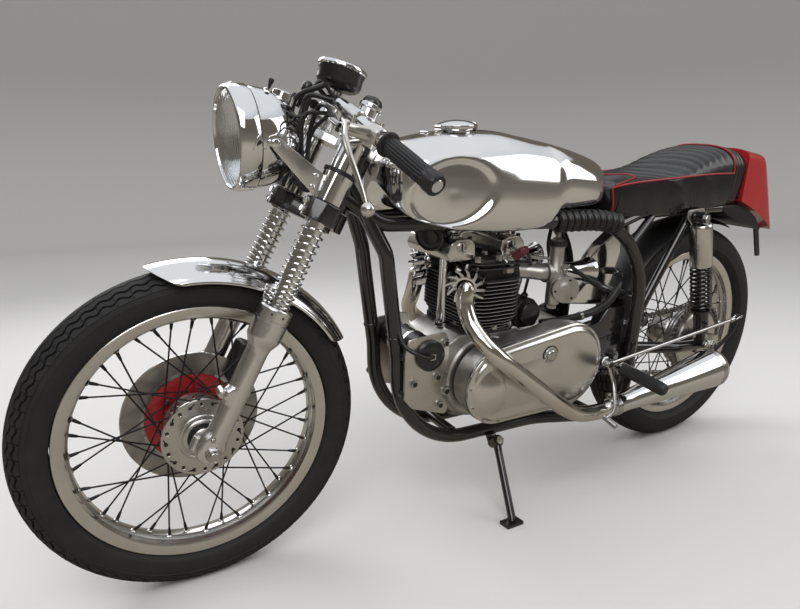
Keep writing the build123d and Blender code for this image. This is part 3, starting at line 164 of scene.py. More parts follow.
@dataclass
class Parked:
    """Where the upright machine stands once it leans on its stand."""

    lean: float
    shift: Points

    @classmethod
    def from_joints(cls, joints: Sequence[dict]) -> "Parked":
        """Reads the lean and the shift off the rear wheel's joint.

        Args:
            joints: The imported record's joints.

        Returns:
            The parked frame.
        """
        spin = next(joint for joint in joints if joint["name"] == "rear_wheel_spin")
        lean = math.atan2(-spin["axis"][2], spin["axis"][1])
        parked = cls(lean, np.zeros(3))
        parked.shift = np.asarray(spin["pos_m"]) - parked.place(np.asarray(REAR_AXLE))
        return parked

    def upright(self, points: Points) -> Points:
        """Metre points of the parked machine as millimetres of the upright one."""
        return (np.asarray(points, float) - self.shift) / MM @ self.turn()

    def turn(self) -> Points:
        """Rotation from the upright machine to the parked one."""
        c, s = math.cos(self.lean), math.sin(self.lean)
        return np.array([[1, 0, 0], [0, c, s], [0, -s, c]])

    def place(self, points: Points) -> Points:
        """Millimetre points of the upright machine as metres of the parked one."""
        return np.asarray(points, float) @ self.turn().T * MM + self.shift


@dataclass
class Skin:
    """A surface: points, rows of four corners, and caps of many corners."""

    points: Points
    quads: Points
    caps: list = field(default_factory=list)

    def moved(self, matrix: Points) -> "Skin":
        """The skin carried by a 3 by 4 matrix."""
        return Skin(self.points @ matrix[:, :3].T + matrix[:, 3], self.quads, self.caps)

    def seated(self, seat: Seat) -> "Skin":
        """The skin, drawn in a seat's directions, on the machine."""
        return Skin(seat.put(self.points), self.quads, self.caps)

    def shifted(self, offset: Sequence[float]) -> "Skin":
        """The skin, moved by an offset."""
        return Skin(self.points + np.asarray(offset), self.quads, self.caps)

    def turned_over(self, points: Points) -> "Skin":
        """The skin on mirrored points, with its faces turned round so that they look outwards."""
        return Skin(points, self.quads[:, ::-1], [cap[::-1] for cap in self.caps])

    def mirrored(self) -> "Skin":
        """The same skin on the machine's other side."""
        return self.turned_over(self.points * np.array([1, -1, 1]))

    def laid_flat(self) -> "Skin":
        """A side-view plate with its Y and Z exchanged, so that it lies level."""
        return self.turned_over(self.points[:, [0, 2, 1]])

    def faces(self) -> list[list[int]]:
        """Corner numbers of every face."""
        return [row.tolist() for row in self.quads] + [list(map(int, cap)) for cap in self.caps]


def join(skins: Sequence[Skin]) -> Skin:
    """Several skins as one."""
    starts = np.cumsum([0] + [len(skin.points) for skin in skins])
    quads = [skin.quads + start for skin, start in zip(skins, starts)]
    caps = [cap + start for skin, start in zip(skins, starts) for cap in skin.caps]
    return Skin(np.concatenate([skin.points for skin in skins]), np.concatenate(quads), caps)


def both_sides(skin: Skin) -> Skin:
    """A skin with its mirror image on the machine's other side."""
    return join([skin, skin.mirrored()])


def turn_about(axis: Sequence[float], centre: Sequence[float], angle: float) -> Points:
    """3 by 4 matrix that turns about an axis through a centre, by the right-hand rule."""
    x, y, z = unit(axis)
    cross = np.array([[0, -z, y], [z, 0, -x], [-y, x, 0]])
    turn = np.eye(3) + math.sin(angle) * cross + (1 - math.cos(angle)) * cross @ cross
    centre = np.asarray(centre, float)
    return np.hstack([turn, (centre - turn @ centre)[:, None]])


def ring_angles(count: int, start: float = 0.0) -> Points:
    """Even angles round a full turn."""
    return start + np.arange(count) * FULL_TURN / count


def turned(radius: Points | float, angle: Points, height: Points | float) -> Points:
    """Points (r cos t, r sin t, h) for radii, angles and heights that fit one another."""
    return np.stack(np.broadcast_arrays(radius * np.cos(angle), radius * np.sin(angle), height), -1)


def grid(points: Points, wrap_rows: bool = False, wrap_columns: bool = True, capped: bool = True) -> Skin:
    """Quads between neighbouring points of a grid.

    Args:
        points: Array of rows by columns by 3.
        wrap_rows: Whether the last row meets the first.
        wrap_columns: Whether the last column meets the first.
        capped: Whether the first and last rows are closed by a face, where the columns wrap.

    Returns:
        The skin.
    """
    rows, columns = points.shape[:2]
    index = np.arange(rows * columns).reshape(rows, columns)
    wide = np.hstack([index, index[:, :1]]) if wrap_columns else index
    tall = np.vstack([wide, wide[:1]]) if wrap_rows else wide
    quads = np.stack([tall[:-1, :-1], tall[:-1, 1:], tall[1:, 1:], tall[1:, :-1]], -1).reshape(-1, 4)
    ends = capped and wrap_columns and not wrap_rows
    return Skin(points.reshape(-1, 3), quads, [index[0][::-1], index[-1]] if ends else [])


def revolve(profile: Sequence[Sequence[float]], seat: Seat, count: int = 64, closed: bool = False) -> Skin:
    """Surface of revolution: each profile point (r, h) becomes the ring (r cos t, r sin t, h).

    Args:
        profile: Radius and height of each ring, along the seat's Z.
        seat: The axis and its origin.
        count: Points round each ring.
        closed: Whether the last ring meets the first, as in a tyre.

    Returns:
        The skin.
    """
    rim = np.asarray(profile, float)
    rings = turned(rim[:, :1], ring_angles(count), rim[:, 1:2])
    return grid(seat.put(rings), wrap_rows=closed, capped=not closed)


def sheet(upper: Points, lower: Points) -> Skin:
    """Thin sheet between two grids of points, closed along its edges."""
    return grid(np.concatenate([upper, lower[:, ::-1]], axis=1))


def corner_angle(into: Points, out: Points) -> float:
    """Angle by which a line turns where it changes direction."""
    return math.acos(float(np.clip(into @ out, -1, 1)))


def fillet(corner: Points, into: Points, out: Points, reach: float, radius: float, steps: int) -> Points:
    """Tangent arc that rounds a corner: middle + R (side cos t + into sin t).

    Args:
        corner: The corner.
        into: Direction into the corner.
        out: Direction out of it.
        reach: Distance from the corner to the arc's start.
        radius: Radius of the arc.
        steps: Points in the arc.

    Returns:
        Array of points.
    """
    angle = corner_angle(into, out)
    middle = corner + unit(out - into) * radius / math.cos(angle / 2)
    side = unit(corner - into * reach - middle)
    t = np.linspace(0, angle, steps)[:, None]
    return middle + radius * (side * np.cos(t) + into * np.sin(t))


def route(corners: Sequence[Sequence[float]], bends: Sequence[float], steps: int = 8) -> Points:
    """Straight runs joined by tangent arcs, as points along the line.

    Args:
        corners: The route's corners.
        bends: Radius at each inner corner.
        steps: Points in each arc.

    Returns:
        Array of points.
    """
    corners = np.asarray(corners, float)
    line = [corners[:1]]
    for before, corner, after, radius in zip(corners, corners[1:], corners[2:], bends):
        into, out = unit(corner - before), unit(after - corner)
        reach = radius * math.tan(corner_angle(into, out) / 2)
        line.append(fillet(corner, into, out, reach, radius, steps))
    return np.concatenate(line + [corners[-1:]])


def curve_through(knots: Sequence[Sequence[float]], steps: int = 10) -> Points:
    """Catmull-Rom curve through the knots, with the end knots doubled.

    Args:
        knots: Points of 2 or 3 numbers.
        steps: Points from each knot to the next.

    Returns:
        Array of points.
    """
    k = np.asarray(knots, float)
    k = np.vstack([2 * k[0] - k[1], k, 2 * k[-1] - k[-2]])
    a, b, c, d = (k[i : len(k) - 3 + i, None, :] for i in range(4))
    t = (np.arange(steps) / steps)[None, :, None]
    mid = 0.5 * (2 * b + (c - a) * t + (2 * a - 5 * b + 4 * c - d) * t**2 + (3 * b - a - 3 * c + d) * t**3)
    return np.vstack([mid.reshape(-1, k.shape[1]), k[-2:-1]])


def tube(path: Points, radius: float | Points, count: int = 20, flat: float = 1.0) -> Skin:
    """Tube along a path: each path point carries a ring square to the path.

    Args:
        path: Points along the middle.
        radius: One radius, or one for each path point.
        count: Points round each ring.
        flat: Ring's thickness as a share of its width, for a flattened bar.

    Returns:
        The closed skin.
    """
    path = np.asarray(path, float)
    way = np.gradient(path, axis=0)
    way /= np.linalg.norm(way, axis=1)[:, None]
    spare = np.eye(3)[np.argmin(np.abs(way).max(axis=0))]
    across = np.cross(way, spare)
    across /= np.linalg.norm(across, axis=1)[:, None]
    over = np.cross(way, across)
    t = ring_angles(count)[None, :, None]
    size = np.broadcast_to(radius, len(path))[:, None, None]
    rings = path[:, None] + size * (across[:, None] * np.cos(t) + flat * over[:, None] * np.sin(t))
    return grid(rings)


def bar(start: Sequence[float], end: Sequence[float], radius: float, count: int = 20,
        edge: float = 0.8) -> Skin:
    """Round bar between two points with slightly rounded ends."""
    start, end = np.asarray(start, float), np.asarray(end, float)
    way = end - start
    length = float(np.linalg.norm(way))
    spare = SIDE if abs(unit(way)[1]) < 0.9 else FORWARD
    edge = min(edge, radius * 0.5, length * 0.4)
    profile = [(radius - edge, 0), (radius, edge), (radius, length - edge), (radius - edge, length)]
    return revolve(profile, Seat(start, way, spare), count)


def circle(radius: float, count: int = 40, x: float = 0.0, z: float = 0.0) -> Points:
    """Round outline in the side view."""
    t = ring_angles(count)
    return np.stack([x + radius * np.cos(t), z + radius * np.sin(t)], -1)


def belt(x1: float, z1: float, r1: float, x2: float, z2: float, r2: float, count: int = 30) -> Points:
    """Outline round two circles: their outer arcs joined by the two tangents."""
    heading = math.atan2(z2 - z1, x2 - x1)
    spread = math.acos((r1 - r2) / math.hypot(x2 - x1, z2 - z1))
    first = np.linspace(heading + spread, heading + FULL_TURN - spread, count)
    second = np.linspace(heading - spread, heading + spread, count)
    ends = [(x1, z1, r1, first), (x2, z2, r2, second)]
    return np.vstack([np.stack([x + r * np.cos(t), z + r * np.sin(t)], -1) for x, z, r, t in ends])


def rounded(corners: Sequence[Sequence[float]], radius: float, steps: int = 5) -> Points:
    """Polygon outline whose corners are arcs of about one radius."""
    flat = np.asarray(corners, float)
    n = len(flat)
    line = []
    for i in range(n):
        before, corner, after = flat[i - 1], flat[i], flat[(i + 1) % n]
        into, out = unit(corner - before), unit(after - corner)
        angle = corner_angle(into, out)
        if angle < 0.05:
            line.append(corner[None])
            continue
        room = 0.48 * min(np.linalg.norm(corner - before), np.linalg.norm(after - corner))
        reach = min(radius * math.tan(angle / 2), room)
        line.append(fillet(corner, into, out, reach, reach / math.tan(angle / 2), steps))
    return np.concatenate(line)


def inset(outline: Points, amount: float) -> Points:
    """Outline moved inwards along its corners' normals."""
    edge = np.roll(outline, -1, axis=0) - np.roll(outline, 1, axis=0)
    edge /= np.linalg.norm(edge, axis=1)[:, None] + 1e-12
    normal = np.stack([-edge[:, 1], edge[:, 0]], -1)
    x, z = outline.T
    area = float(np.sum(x * np.roll(z, -1) - np.roll(x, -1) * z))
    return outline + normal * (amount if area > 0 else -amount)


def stood(outline: Points, y: float) -> Points:
    """A side-view outline set at a place across the machine."""
    return np.column_stack([outline[:, 0], np.full(len(outline), y), outline[:, 1]])


def spaced(outline: Points, count: int) -> Points:
    """Even picks of an outline's points."""
    return outline[np.linspace(0, len(outline), count, endpoint=False).astype(int)]


def slab(outline: Points, y_in: float, y_out: float, edge: float = 1.5, steps: int = 4) -> Skin:
    """Plate with a side-view outline: each level is the outline, inset near the faces by a quarter round.

    Args:
        outline: Points (x, z).
        y_in: One face's place across the machine.
        y_out: The other face's place.
        edge: Radius of the rounded edge at the outer face; the inner one gets a small one.
        steps: Levels in the rounding.

    Returns:
        The closed skin.
    """
    way = 1.0 if y_out > y_in else -1.0
    small = min(edge, 0.6)
    turn = np.linspace(0, math.pi / 2, steps)
    levels = [(small, y_in), (0.0, y_in + way * small)]
    levels += [(edge * (1 - math.cos(a)), y_out - way * edge * (1 - math.sin(a))) for a in turn]
    return grid(np.array([stood(inset(outline, amount), y) for amount, y in levels]))


def hex_head(seat: Seat, across: float, height: float) -> Skin:
    """Hexagon nut or bolt head standing on a seat."""
    profile = [(across * 0.56, 0), (across * 0.577, height * 0.8), (across * 0.5, height)]
    return revolve(profile, seat, 6)


def dome_head(seat: Seat, radius: float, height: float) -> Skin:
    """Round screw head with a domed top: r = R sin a, h = H cos a."""
    a = np.linspace(math.pi / 2, 0.05, 5)
    profile = [(radius, 0)] + list(np.stack([radius * np.sin(a), height * (0.35 + 0.65 * np.cos(a))], -1))
    return revolve(profile, seat, 14)


def helix(seat: Seat, radius: float, heights: Points, wire: float, turns_points: int = 20) -> Skin:
    """Coil spring: the wire's middle is (R cos 2 pi n, R sin 2 pi n, h(n)) for turn number n.

    Args:
        seat: The spring's axis.
        radius: Radius of the coil's middle.
        heights: Height at each whole turn, read between turns by straight lines.
        wire: Radius of the wire.
        turns_points: Points in one turn.

    Returns:
        The skin.
    """
    turns = len(heights) - 1
    n = np.linspace(0, turns, turns * turns_points + 1)
    h = np.interp(n, np.arange(turns + 1), heights)
    return tube(seat.put(turned(radius, FULL_TURN * n, h)), wire, 8)


def new_material(name: str) -> tuple[bpy.types.Material, bpy.types.Node]:
    """A new material and its shader."""
    material = bpy.data.materials.new(name)
    material.use_nodes = True
    return material, material.node_tree.nodes["Principled BSDF"]


@dataclass(frozen=True)
class Finish:
    """A surface finish: colour, gloss and fine relief, worked out from noise on object coordinates."""

    slot: str
    colour: tuple[float, float, float]
    metallic: float = 0.0
    roughness: float = 0.4
    spread: float = 0.12
    patina: tuple[float, float, float] | None = None
    patina_share: float = 0.35
    patina_scale: float = 18.0
    grain: Grain = Grain.SMOOTH
    grain_scale: float = 400.0
    relief: float = 0.0
    relief_strength: float = 0.6
    coat: float = 0.0
    coat_roughness: float = 0.06
    patina_from: float = 0.42
    patina_width: float = 0.38
    plain_patina: float = 0.86

    def build(self, name: str) -> bpy.types.Material:
        """Makes the material.

        Args:
            name: The material's name.

        Returns:
            The material.
        """
        material, shader = new_material(name)
        tree = material.node_tree
        shader.inputs["Metallic"].default_value = self.metallic
        shader.inputs["Coat Weight"].default_value = self.coat
        shader.inputs["Coat Roughness"].default_value = self.coat_roughness
        where = tree.nodes.new("ShaderNodeTexCoord").outputs["Object"]
        cloud = self._noise(tree, where, self.patina_scale, 6.0)
        gloss = tree.nodes.new("ShaderNodeMapRange")
        gloss.inputs["To Min"].default_value = max(self.roughness - self.spread, 0.02)
        gloss.inputs["To Max"].default_value = self.roughness + self.spread
        tree.links.new(cloud, gloss.inputs["Value"])
        tree.links.new(gloss.outputs["Result"], shader.inputs["Roughness"])
        self._colour(tree, shader, cloud)
        if self.relief > 0:
            self._relief(tree, shader, where)
        return material

    def _noise(self, tree: bpy.types.NodeTree, where: bpy.types.NodeSocket, scale: float,
               detail: float) -> bpy.types.NodeSocket:
        """Noise read at a scale per metre."""
        noise = tree.nodes.new("ShaderNodeTexNoise")
        noise.inputs["Scale"].default_value = scale
        noise.inputs["Detail"].default_value = detail
        tree.links.new(where, noise.inputs["Vector"])
        return noise.outputs["Fac"]

    def _colour(self, tree: bpy.types.NodeTree, shader: bpy.types.Node,
                cloud: bpy.types.NodeSocket) -> None:
        """Blends the colour into its patina where the noise is high."""
        ramp = tree.nodes.new("ShaderNodeValToRGB")
        fresh, worn = ramp.color_ramp.elements
        fresh.position = self.patina_from
        worn.position = self.patina_from + self.patina_width / max(self.patina_share * 2, 0.1)
        fresh.color = (*self.colour, 1)
        worn.color = (*(self.patina or tuple(c * self.plain_patina for c in self.colour)), 1)
        tree.links.new(cloud, ramp.inputs["Fac"])
        tree.links.new(ramp.outputs["Color"], shader.inputs["Base Color"])

    def _relief(self, tree: bpy.types.NodeTree, shader: bpy.types.Node,
                where: bpy.types.NodeSocket) -> None:
        """Fine relief: cast pores, brush lines or hide cells."""
        bump = tree.nodes.new("ShaderNodeBump")
        bump.inputs["Distance"].default_value = self.relief * MM
        bump.inputs["Strength"].default_value = self.relief_strength
        if self.grain is Grain.HIDE:
            cells = tree.nodes.new("ShaderNodeTexVoronoi")
            cells.feature = "DISTANCE_TO_EDGE"
            cells.inputs["Scale"].default_value = self.grain_scale
            tree.links.new(where, cells.inputs["Vector"])
            height = cells.outputs["Distance"]
        elif self.grain is Grain.BRUSHED:
            stretch = tree.nodes.new("ShaderNodeMapping")
            stretch.inputs["Scale"].default_value = (0.08, 1.0, 1.0)
            tree.links.new(where, stretch.inputs["Vector"])
            height = self._noise(tree, stretch.outputs["Vector"], self.grain_scale, 3.0)
        else:
            height = self._noise(tree, where, self.grain_scale, 4.0)
        tree.links.new(height, bump.inputs["Height"])
        tree.links.new(bump.outputs["Normal"], shader.inputs["Normal"])


@dataclass(frozen=True)
class LampGlass:
    """Clear glass for the headlamp and the dial, bright enough to show what lies behind."""

    slot: str = "lamp_glass"
    colour: tuple[float, float, float] = (0.96, 0.98, 1.0)
    roughness: float = 0.04
    index: float = 1.45

    def build(self, name: str) -> bpy.types.Material:
        """Makes the material."""
        material, shader = new_material(name)
        shader.inputs["Base Color"].default_value = (*self.colour, 1)
        shader.inputs["Roughness"].default_value = self.roughness
        shader.inputs["IOR"].default_value = self.index
        shader.inputs["Transmission Weight"].default_value = 1.0
        return material


FINISHES: dict[str, Finish | LampGlass] = {
    "tyre_rubber": Finish("tyre", (0.012, 0.012, 0.013), roughness=0.70, spread=0.12,
                          patina=(0.026, 0.025, 0.023), patina_scale=30, relief=0.25,
                          grain_scale=900),
    "rim_alloy": Finish("polished_alloy", (0.70, 0.69, 0.66), 1.0, 0.24, 0.07,
                        patina=(0.58, 0.56, 0.51), grain=Grain.BRUSHED, relief=0.05),
    "fork_alloy": Finish("polished_alloy", (0.72, 0.72, 0.72), 1.0, 0.25, 0.04, relief=0.03,
                         patina=(0.66, 0.66, 0.66), grain_scale=260),
    "tank_alloy": Finish("polished_alloy", (0.80, 0.80, 0.80), 1.0, 0.10, 0.05, relief=0.12,
                         patina=(0.72, 0.72, 0.73), patina_scale=9, grain_scale=16),
    "cast_alloy": Finish("case_alloy", (0.50, 0.49, 0.47), 1.0, 0.42, 0.10, relief=0.35,
                         patina=(0.30, 0.28, 0.25), grain=Grain.CAST, grain_scale=520),
    "case_polish": Finish("polished_alloy", (0.70, 0.69, 0.66), 1.0, 0.23, 0.04, relief=0.04,
                          patina=(0.60, 0.58, 0.54), patina_scale=9, grain_scale=40),
    "hub_alloy": Finish("hub_alloy", (0.60, 0.59, 0.57), 1.0, 0.30, 0.08, relief=0.08,
                        patina=(0.44, 0.42, 0.39)),
    "plate_alloy": Finish("case_alloy", (0.64, 0.62, 0.58), 1.0, 0.32, 0.08, grain=Grain.BRUSHED,
                          relief=0.08, patina=(0.50, 0.47, 0.42)),
    "chrome": Finish("chrome", (0.78, 0.79, 0.80), 1.0, 0.06, 0.03, patina=(0.68, 0.68, 0.68),
                     patina_scale=12),
    "header_chrome": Finish("chrome", (0.74, 0.72, 0.68), 1.0, 0.12, 0.05,
                            patina=(0.52, 0.43, 0.30), patina_scale=7),
    "bright_steel": Finish("bright_steel", (0.54, 0.54, 0.53), 1.0, 0.24, 0.1,
                           patina=(0.34, 0.32, 0.30), patina_scale=60),
    "disc_steel": Finish("disc_steel", (0.40, 0.39, 0.38), 1.0, 0.30, 0.08, grain=Grain.BRUSHED,
                         relief=0.05, patina=(0.30, 0.28, 0.27)),
    "spoke_black": Finish("black_paint", (0.02, 0.02, 0.021), 0.5, 0.42, 0.1),
    "red_gloss": Finish("red_carrier", (0.42, 0.012, 0.02), roughness=0.26, coat=0.5),
    "frame_black": Finish("black_paint", (0.010, 0.010, 0.011), roughness=0.20, spread=0.09,
                          coat=0.7, patina=(0.022, 0.021, 0.020)),
    "soft_black": Finish("black_paint", (0.010, 0.010, 0.011), roughness=0.46, relief=0.12),
    "barrel_black": Finish("black_iron", (0.014, 0.014, 0.014), 0.2, 0.50, 0.1, relief=0.2,
                           patina=(0.035, 0.032, 0.029), grain=Grain.CAST),
    "fin_edge": Finish("black_iron", (0.42, 0.41, 0.40), 0.9, 0.34),
    "grip_rubber": Finish("black_rubber", (0.013, 0.013, 0.014), roughness=0.42, relief=0.1),
    "hose_rubber": Finish("black_rubber", (0.012, 0.012, 0.013), roughness=0.36, spread=0.1),
    "seat_vinyl": Finish("seat_vinyl", (0.009, 0.009, 0.010), roughness=0.24, spread=0.06,
                         patina=(0.016, 0.016, 0.018), grain=Grain.HIDE, grain_scale=420, relief=0.3),
    "piping_red": Finish("seat_vinyl", (0.33, 0.012, 0.02), roughness=0.4),
    "tail_red": Finish("red_fibreglass", (0.50, 0.012, 0.018), roughness=0.22, coat=0.8,
                       patina=(0.40, 0.012, 0.016), relief=0.08, grain_scale=30),
    "plug_red": Finish("red_carrier", (0.10, 0.012, 0.02), roughness=0.4),
    "dial_black": Finish("black_gauge", (0.012, 0.012, 0.013), roughness=0.30, coat=0.3),
    "dial_white": Finish("black_gauge", (0.75, 0.75, 0.72), roughness=0.5),
    "reflector": Finish("chrome", (0.86, 0.88, 0.90), 1.0, 0.12, 0.04),
    "pale_stub": Finish("chrome", (0.72, 0.68, 0.58), 0.6, 0.42, 0.08),
    "chain_steel": Finish("chain_steel", (0.20, 0.19, 0.18), 0.9, 0.42, 0.1,
                          patina=(0.08, 0.07, 0.06), patina_scale=80),
    "lamp_glass": LampGlass(),
}

SLOT_FINISH = {
    "tyre": "tyre_rubber",
    "polished_alloy": "case_polish",
    "hub_alloy": "hub_alloy",
    "disc_steel": "disc_steel",
    "red_carrier": "red_gloss",
    "bright_steel": "bright_steel",
    "chrome": "chrome",
    "black_paint": "frame_black",
    "lamp_glass": "lamp_glass",
    "black_gauge": "dial_black",
    "black_rubber": "grip_rubber",
    "case_alloy": "cast_alloy",
    "black_iron": "barrel_black",
    "chain_steel": "chain_steel",
    "seat_vinyl": "seat_vinyl",
    "red_fibreglass": "tail_red",
    "black_alloy": "soft_black",
}


class Workshop:
    """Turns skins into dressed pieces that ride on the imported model's bodies."""

    def __init__(self, frame: dict) -> None:
        """Args:
        """
        self.frame = frame
        self.parked = Parked.from_joints(frame["joints"])
        self.materials: dict[str, bpy.types.Material] = {}

    def material(self, finish: str) -> bpy.types.Material:
        """The named finish's material, made once."""
        if finish not in self.materials:
            self.materials[finish] = FINISHES[finish].build(finish)
        return self.materials[finish]

    def mesh(self, name: str, skin: Skin) -> bpy.types.Mesh:
        """Mesh of a skin, merged where points meet, with its faces turned outwards."""
        mesh = bpy.data.meshes.new(name)
        mesh.from_pydata(self.parked.place(skin.points), [], skin.faces())
        work = bmesh.new()
        work.from_mesh(mesh)
        bmesh.ops.remove_doubles(work, verts=work.verts, dist=MERGE_METRES)
        bmesh.ops.recalc_face_normals(work, faces=work.faces)
        work.to_mesh(mesh)
        work.free()
        return mesh

    def piece(self, name: str, skin: Skin | list[Skin], finish: str, *stands_for: str,
              body: Body = Body.FRAME, sharp: float = 38.0) -> bpy.types.Object:
        """Makes a finished piece.

        Args:
            name: The piece's name.
            skin: Its surface or surfaces, in millimetres on the upright machine.
            finish: Name of its finish.
            stands_for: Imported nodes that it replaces.
            body: The body it rides on.
            sharp: Edges that turn by more degrees than this stay sharp.

        Returns:
            The object.
        """
        mesh = self.mesh(name, join(skin) if isinstance(skin, list) else skin)
        mesh.shade_smooth()
        mesh.set_sharp_from_angle(angle=math.radians(sharp))
        return self.dress(bpy.data.objects.new(name, mesh), finish, body, stands_for)

    def pair(self, name: str, left: Skin | list[Skin], finish: str, *stands_for: str,
             body: Body = Body.FRAME, sharp: float = 38.0) -> bpy.types.Object:
        """Makes a piece from its left half; the other arguments are those of `piece`."""
        skin = join(left) if isinstance(left, list) else left
        return self.piece(name, both_sides(skin), finish, *stands_for, body=body, sharp=sharp)

    def dress(self, thing: bpy.types.Object, finish: str, body: Body,
              stands_for: Sequence[str]) -> bpy.types.Object:
        """Links an object, gives it its finish and seats it on its body."""
        bpy.context.scene.collection.objects.link(thing)
        thing.data.materials.append(self.material(finish))
        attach(thing, body.value)
        if stands_for:
            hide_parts(*stands_for)
        log.info("%s: %d faces", thing.name, len(thing.data.polygons))
        return thing

    def dress_nodes(self) -> None:
        """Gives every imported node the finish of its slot."""
        slot_shades = {part["node"]: part["material_slot"] for part in self.frame["record"]["subparts"]}
        for node, thing in self.frame["nodes"].items():
            finish = self.material(SLOT_FINISH[slot_shades[node]])
            for slot in thing.material_slots:
                slot.material = finish
            if not thing.material_slots:
                thing.data.materials.append(finish)


LAMPS = (
    ("key", (1.6, 2.6, 2.9), 2.4, 62.0),
    ("fill", (-2.6, 1.8, 2.2), 2.0, 26.0),
    ("far", (0.6, -2.8, 2.6), 2.0, 34.0),
)


@dataclass(frozen=True)
class Studio:
    """Floor, lights and camera."""

    eye: tuple[float, float, float] = (1642.5, 1127.4, 904.1)
    yaw: float = -2.106191
    pitch: float = 0.281465
    roll: float = -0.037862
    focal_pixels: float = 614.853
    frame_width: float = 800.0
    sensor: float = 36.0
    floor_colour: tuple[float, float, float] = (0.80, 0.79, 0.77)
    # darker brown that the floor shows to every ray but the camera's: painted reflection tone in the metal,
    # also taken by light bounced off the floor
    painted_reflection_colour: tuple[float, float, float] = (0.38, 0.34, 0.28)
    floor_flat: float = 9.0
    floor_rise: float = 3.0
    floor_high: float = 9.0
    aim: tuple[float, float, float] = (0.0, 0.0, 0.5)

    def build(self, parked: Parked) -> None:
        """Makes the floor, the lights, the sky and the camera."""
        self.camera(parked)
        self.floor()
        self.sky()
        for lamp in LAMPS:
            self.lamp(*lamp)

    def camera(self, parked: Parked) -> None:
        """Sets the camera where the photograph was taken."""
        c, s = math.cos(self.pitch), math.sin(self.pitch)
        look = np.array([math.cos(self.yaw) * c, math.sin(self.yaw) * c, -s])
        right = unit(np.cross(look, UPWARD))
        up = np.cross(right, look)
        turn = turn_about(look, ORIGIN, self.roll)[:, :3]
        axes = parked.turn() @ np.stack([turn @ right, turn @ up, -look], -1)
        data = bpy.data.cameras.new("photo_camera")
        data.sensor_width = self.sensor
        data.lens = self.focal_pixels * self.sensor / self.frame_width
        camera = bpy.data.objects.new("photo_camera", data)
        place = np.eye(4)
        place[:3, :3] = axes
        place[:3, 3] = parked.place(np.asarray(self.eye))
        camera.matrix_world = Matrix(place.tolist())
        bpy.context.scene.collection.objects.link(camera)
        bpy.context.scene.camera = camera

    def floor(self) -> None:
        """Pale floor that rises into a backdrop along a quarter round, all round the object; to every ray but
        the camera's it is a darker brown, a painted reflection tone.
        """
        flat, rise = self.floor_flat, self.floor_rise
        a = np.linspace(0, math.pi / 2, 12)
        profile = [(0.02, 0.0), (4.0, 0.0)]
        profile += list(np.stack([flat + rise * np.sin(a), rise * (1 - np.cos(a))], -1))
        profile += [(flat + rise, self.floor_high)]
        skin = revolve(profile, Seat(ORIGIN, UPWARD), 64)
        skin.caps = skin.caps[:1]
        mesh = bpy.data.meshes.new("floor")
        mesh.from_pydata(skin.points, [], skin.faces())
        mesh.shade_smooth()
        floor = bpy.data.objects.new("floor", mesh)
        bpy.context.scene.collection.objects.link(floor)
        material, shader = new_material("floor")
        tree = material.node_tree
        path = tree.nodes.new("ShaderNodeLightPath")
        # Painted reflection: rays other than the camera's see the floor in the darker brown, which tints
        # reflections and bounced light; the camera sees the pale floor.
        seen = tree.nodes.new("ShaderNodeValToRGB")
        seen.color_ramp.elements[0].color = (*self.painted_reflection_colour, 1)
        seen.color_ramp.elements[1].color = (*self.floor_colour, 1)
        tree.links.new(path.outputs["Is Camera Ray"], seen.inputs["Fac"])
        tree.links.new(seen.outputs["Color"], shader.inputs["Base Color"])
        shader.inputs["Roughness"].default_value = 0.9
        mesh.materials.append(material)

    def sky(self) -> None:
        """Soft world light: bright overhead, darker towards the horizon, as an open sky."""
        world = bpy.data.worlds.new("studio")
        bpy.context.scene.world = world
        world.use_nodes = True
        tree = world.node_tree
        where = tree.nodes.new("ShaderNodeTexCoord")
        split = tree.nodes.new("ShaderNodeSeparateXYZ")
        ramp = tree.nodes.new("ShaderNodeValToRGB")
        tree.links.new(where.outputs["Generated"], split.inputs["Vector"])
        tree.links.new(split.outputs["Z"], ramp.inputs["Fac"])
        tree.links.new(ramp.outputs["Color"], tree.nodes["Background"].inputs["Color"])
        stops = ramp.color_ramp.elements
        stops[0].position, stops[0].color = 0.0, (0.16, 0.165, 0.17, 1)
        stops[1].position, stops[1].color = 0.75, (0.95, 0.97, 1.0, 1)
        middle = ramp.color_ramp.elements.new(0.3)
        middle.color = (0.34, 0.36, 0.39, 1)
        tree.nodes["Background"].inputs["Strength"].default_value = 0.9

    def lamp(self, name: str, place: tuple[float, float, float], size: float, power: float) -> None:
        """Square soft lamp aimed at the machine's middle."""
        data = bpy.data.lights.new(name, "AREA")
        data.size = size
        data.energy = power
        thing = bpy.data.objects.new(name, data)
        z = unit(np.asarray(place) - np.asarray(self.aim))
        x = unit(np.cross(UPWARD, z))
        turn = np.eye(4)
        turn[:3, :3] = np.stack([x, np.cross(z, x), z], -1)
        turn[:3, 3] = place
        thing.matrix_world = Matrix(turn.tolist())
        bpy.context.scene.collection.objects.link(thing)


@dataclass(frozen=True)
class Tread:
    """One line across half a tread: distance from the crown, depth, wave and share in the notches."""

    place: float
    depth: float = 0.0
    wave: float = 0.0
    notch: float = 0.0


def groove(place: float, width: float, depth: float, wave: float, notch: tuple[float, float]) -> list:
    """Four tread lines of a groove; the shares say how far a notch reaches on each side of it."""
    return [
        Tread(place - width / 2 - 0.5, 0, wave, notch[0]),
        Tread(place - width / 2 + 0.3, depth, wave, 0),
        Tread(place + width / 2 - 0.3, depth, wave, 0),
        Tread(place + width / 2 + 0.5, 0, wave, notch[1]),
    ]


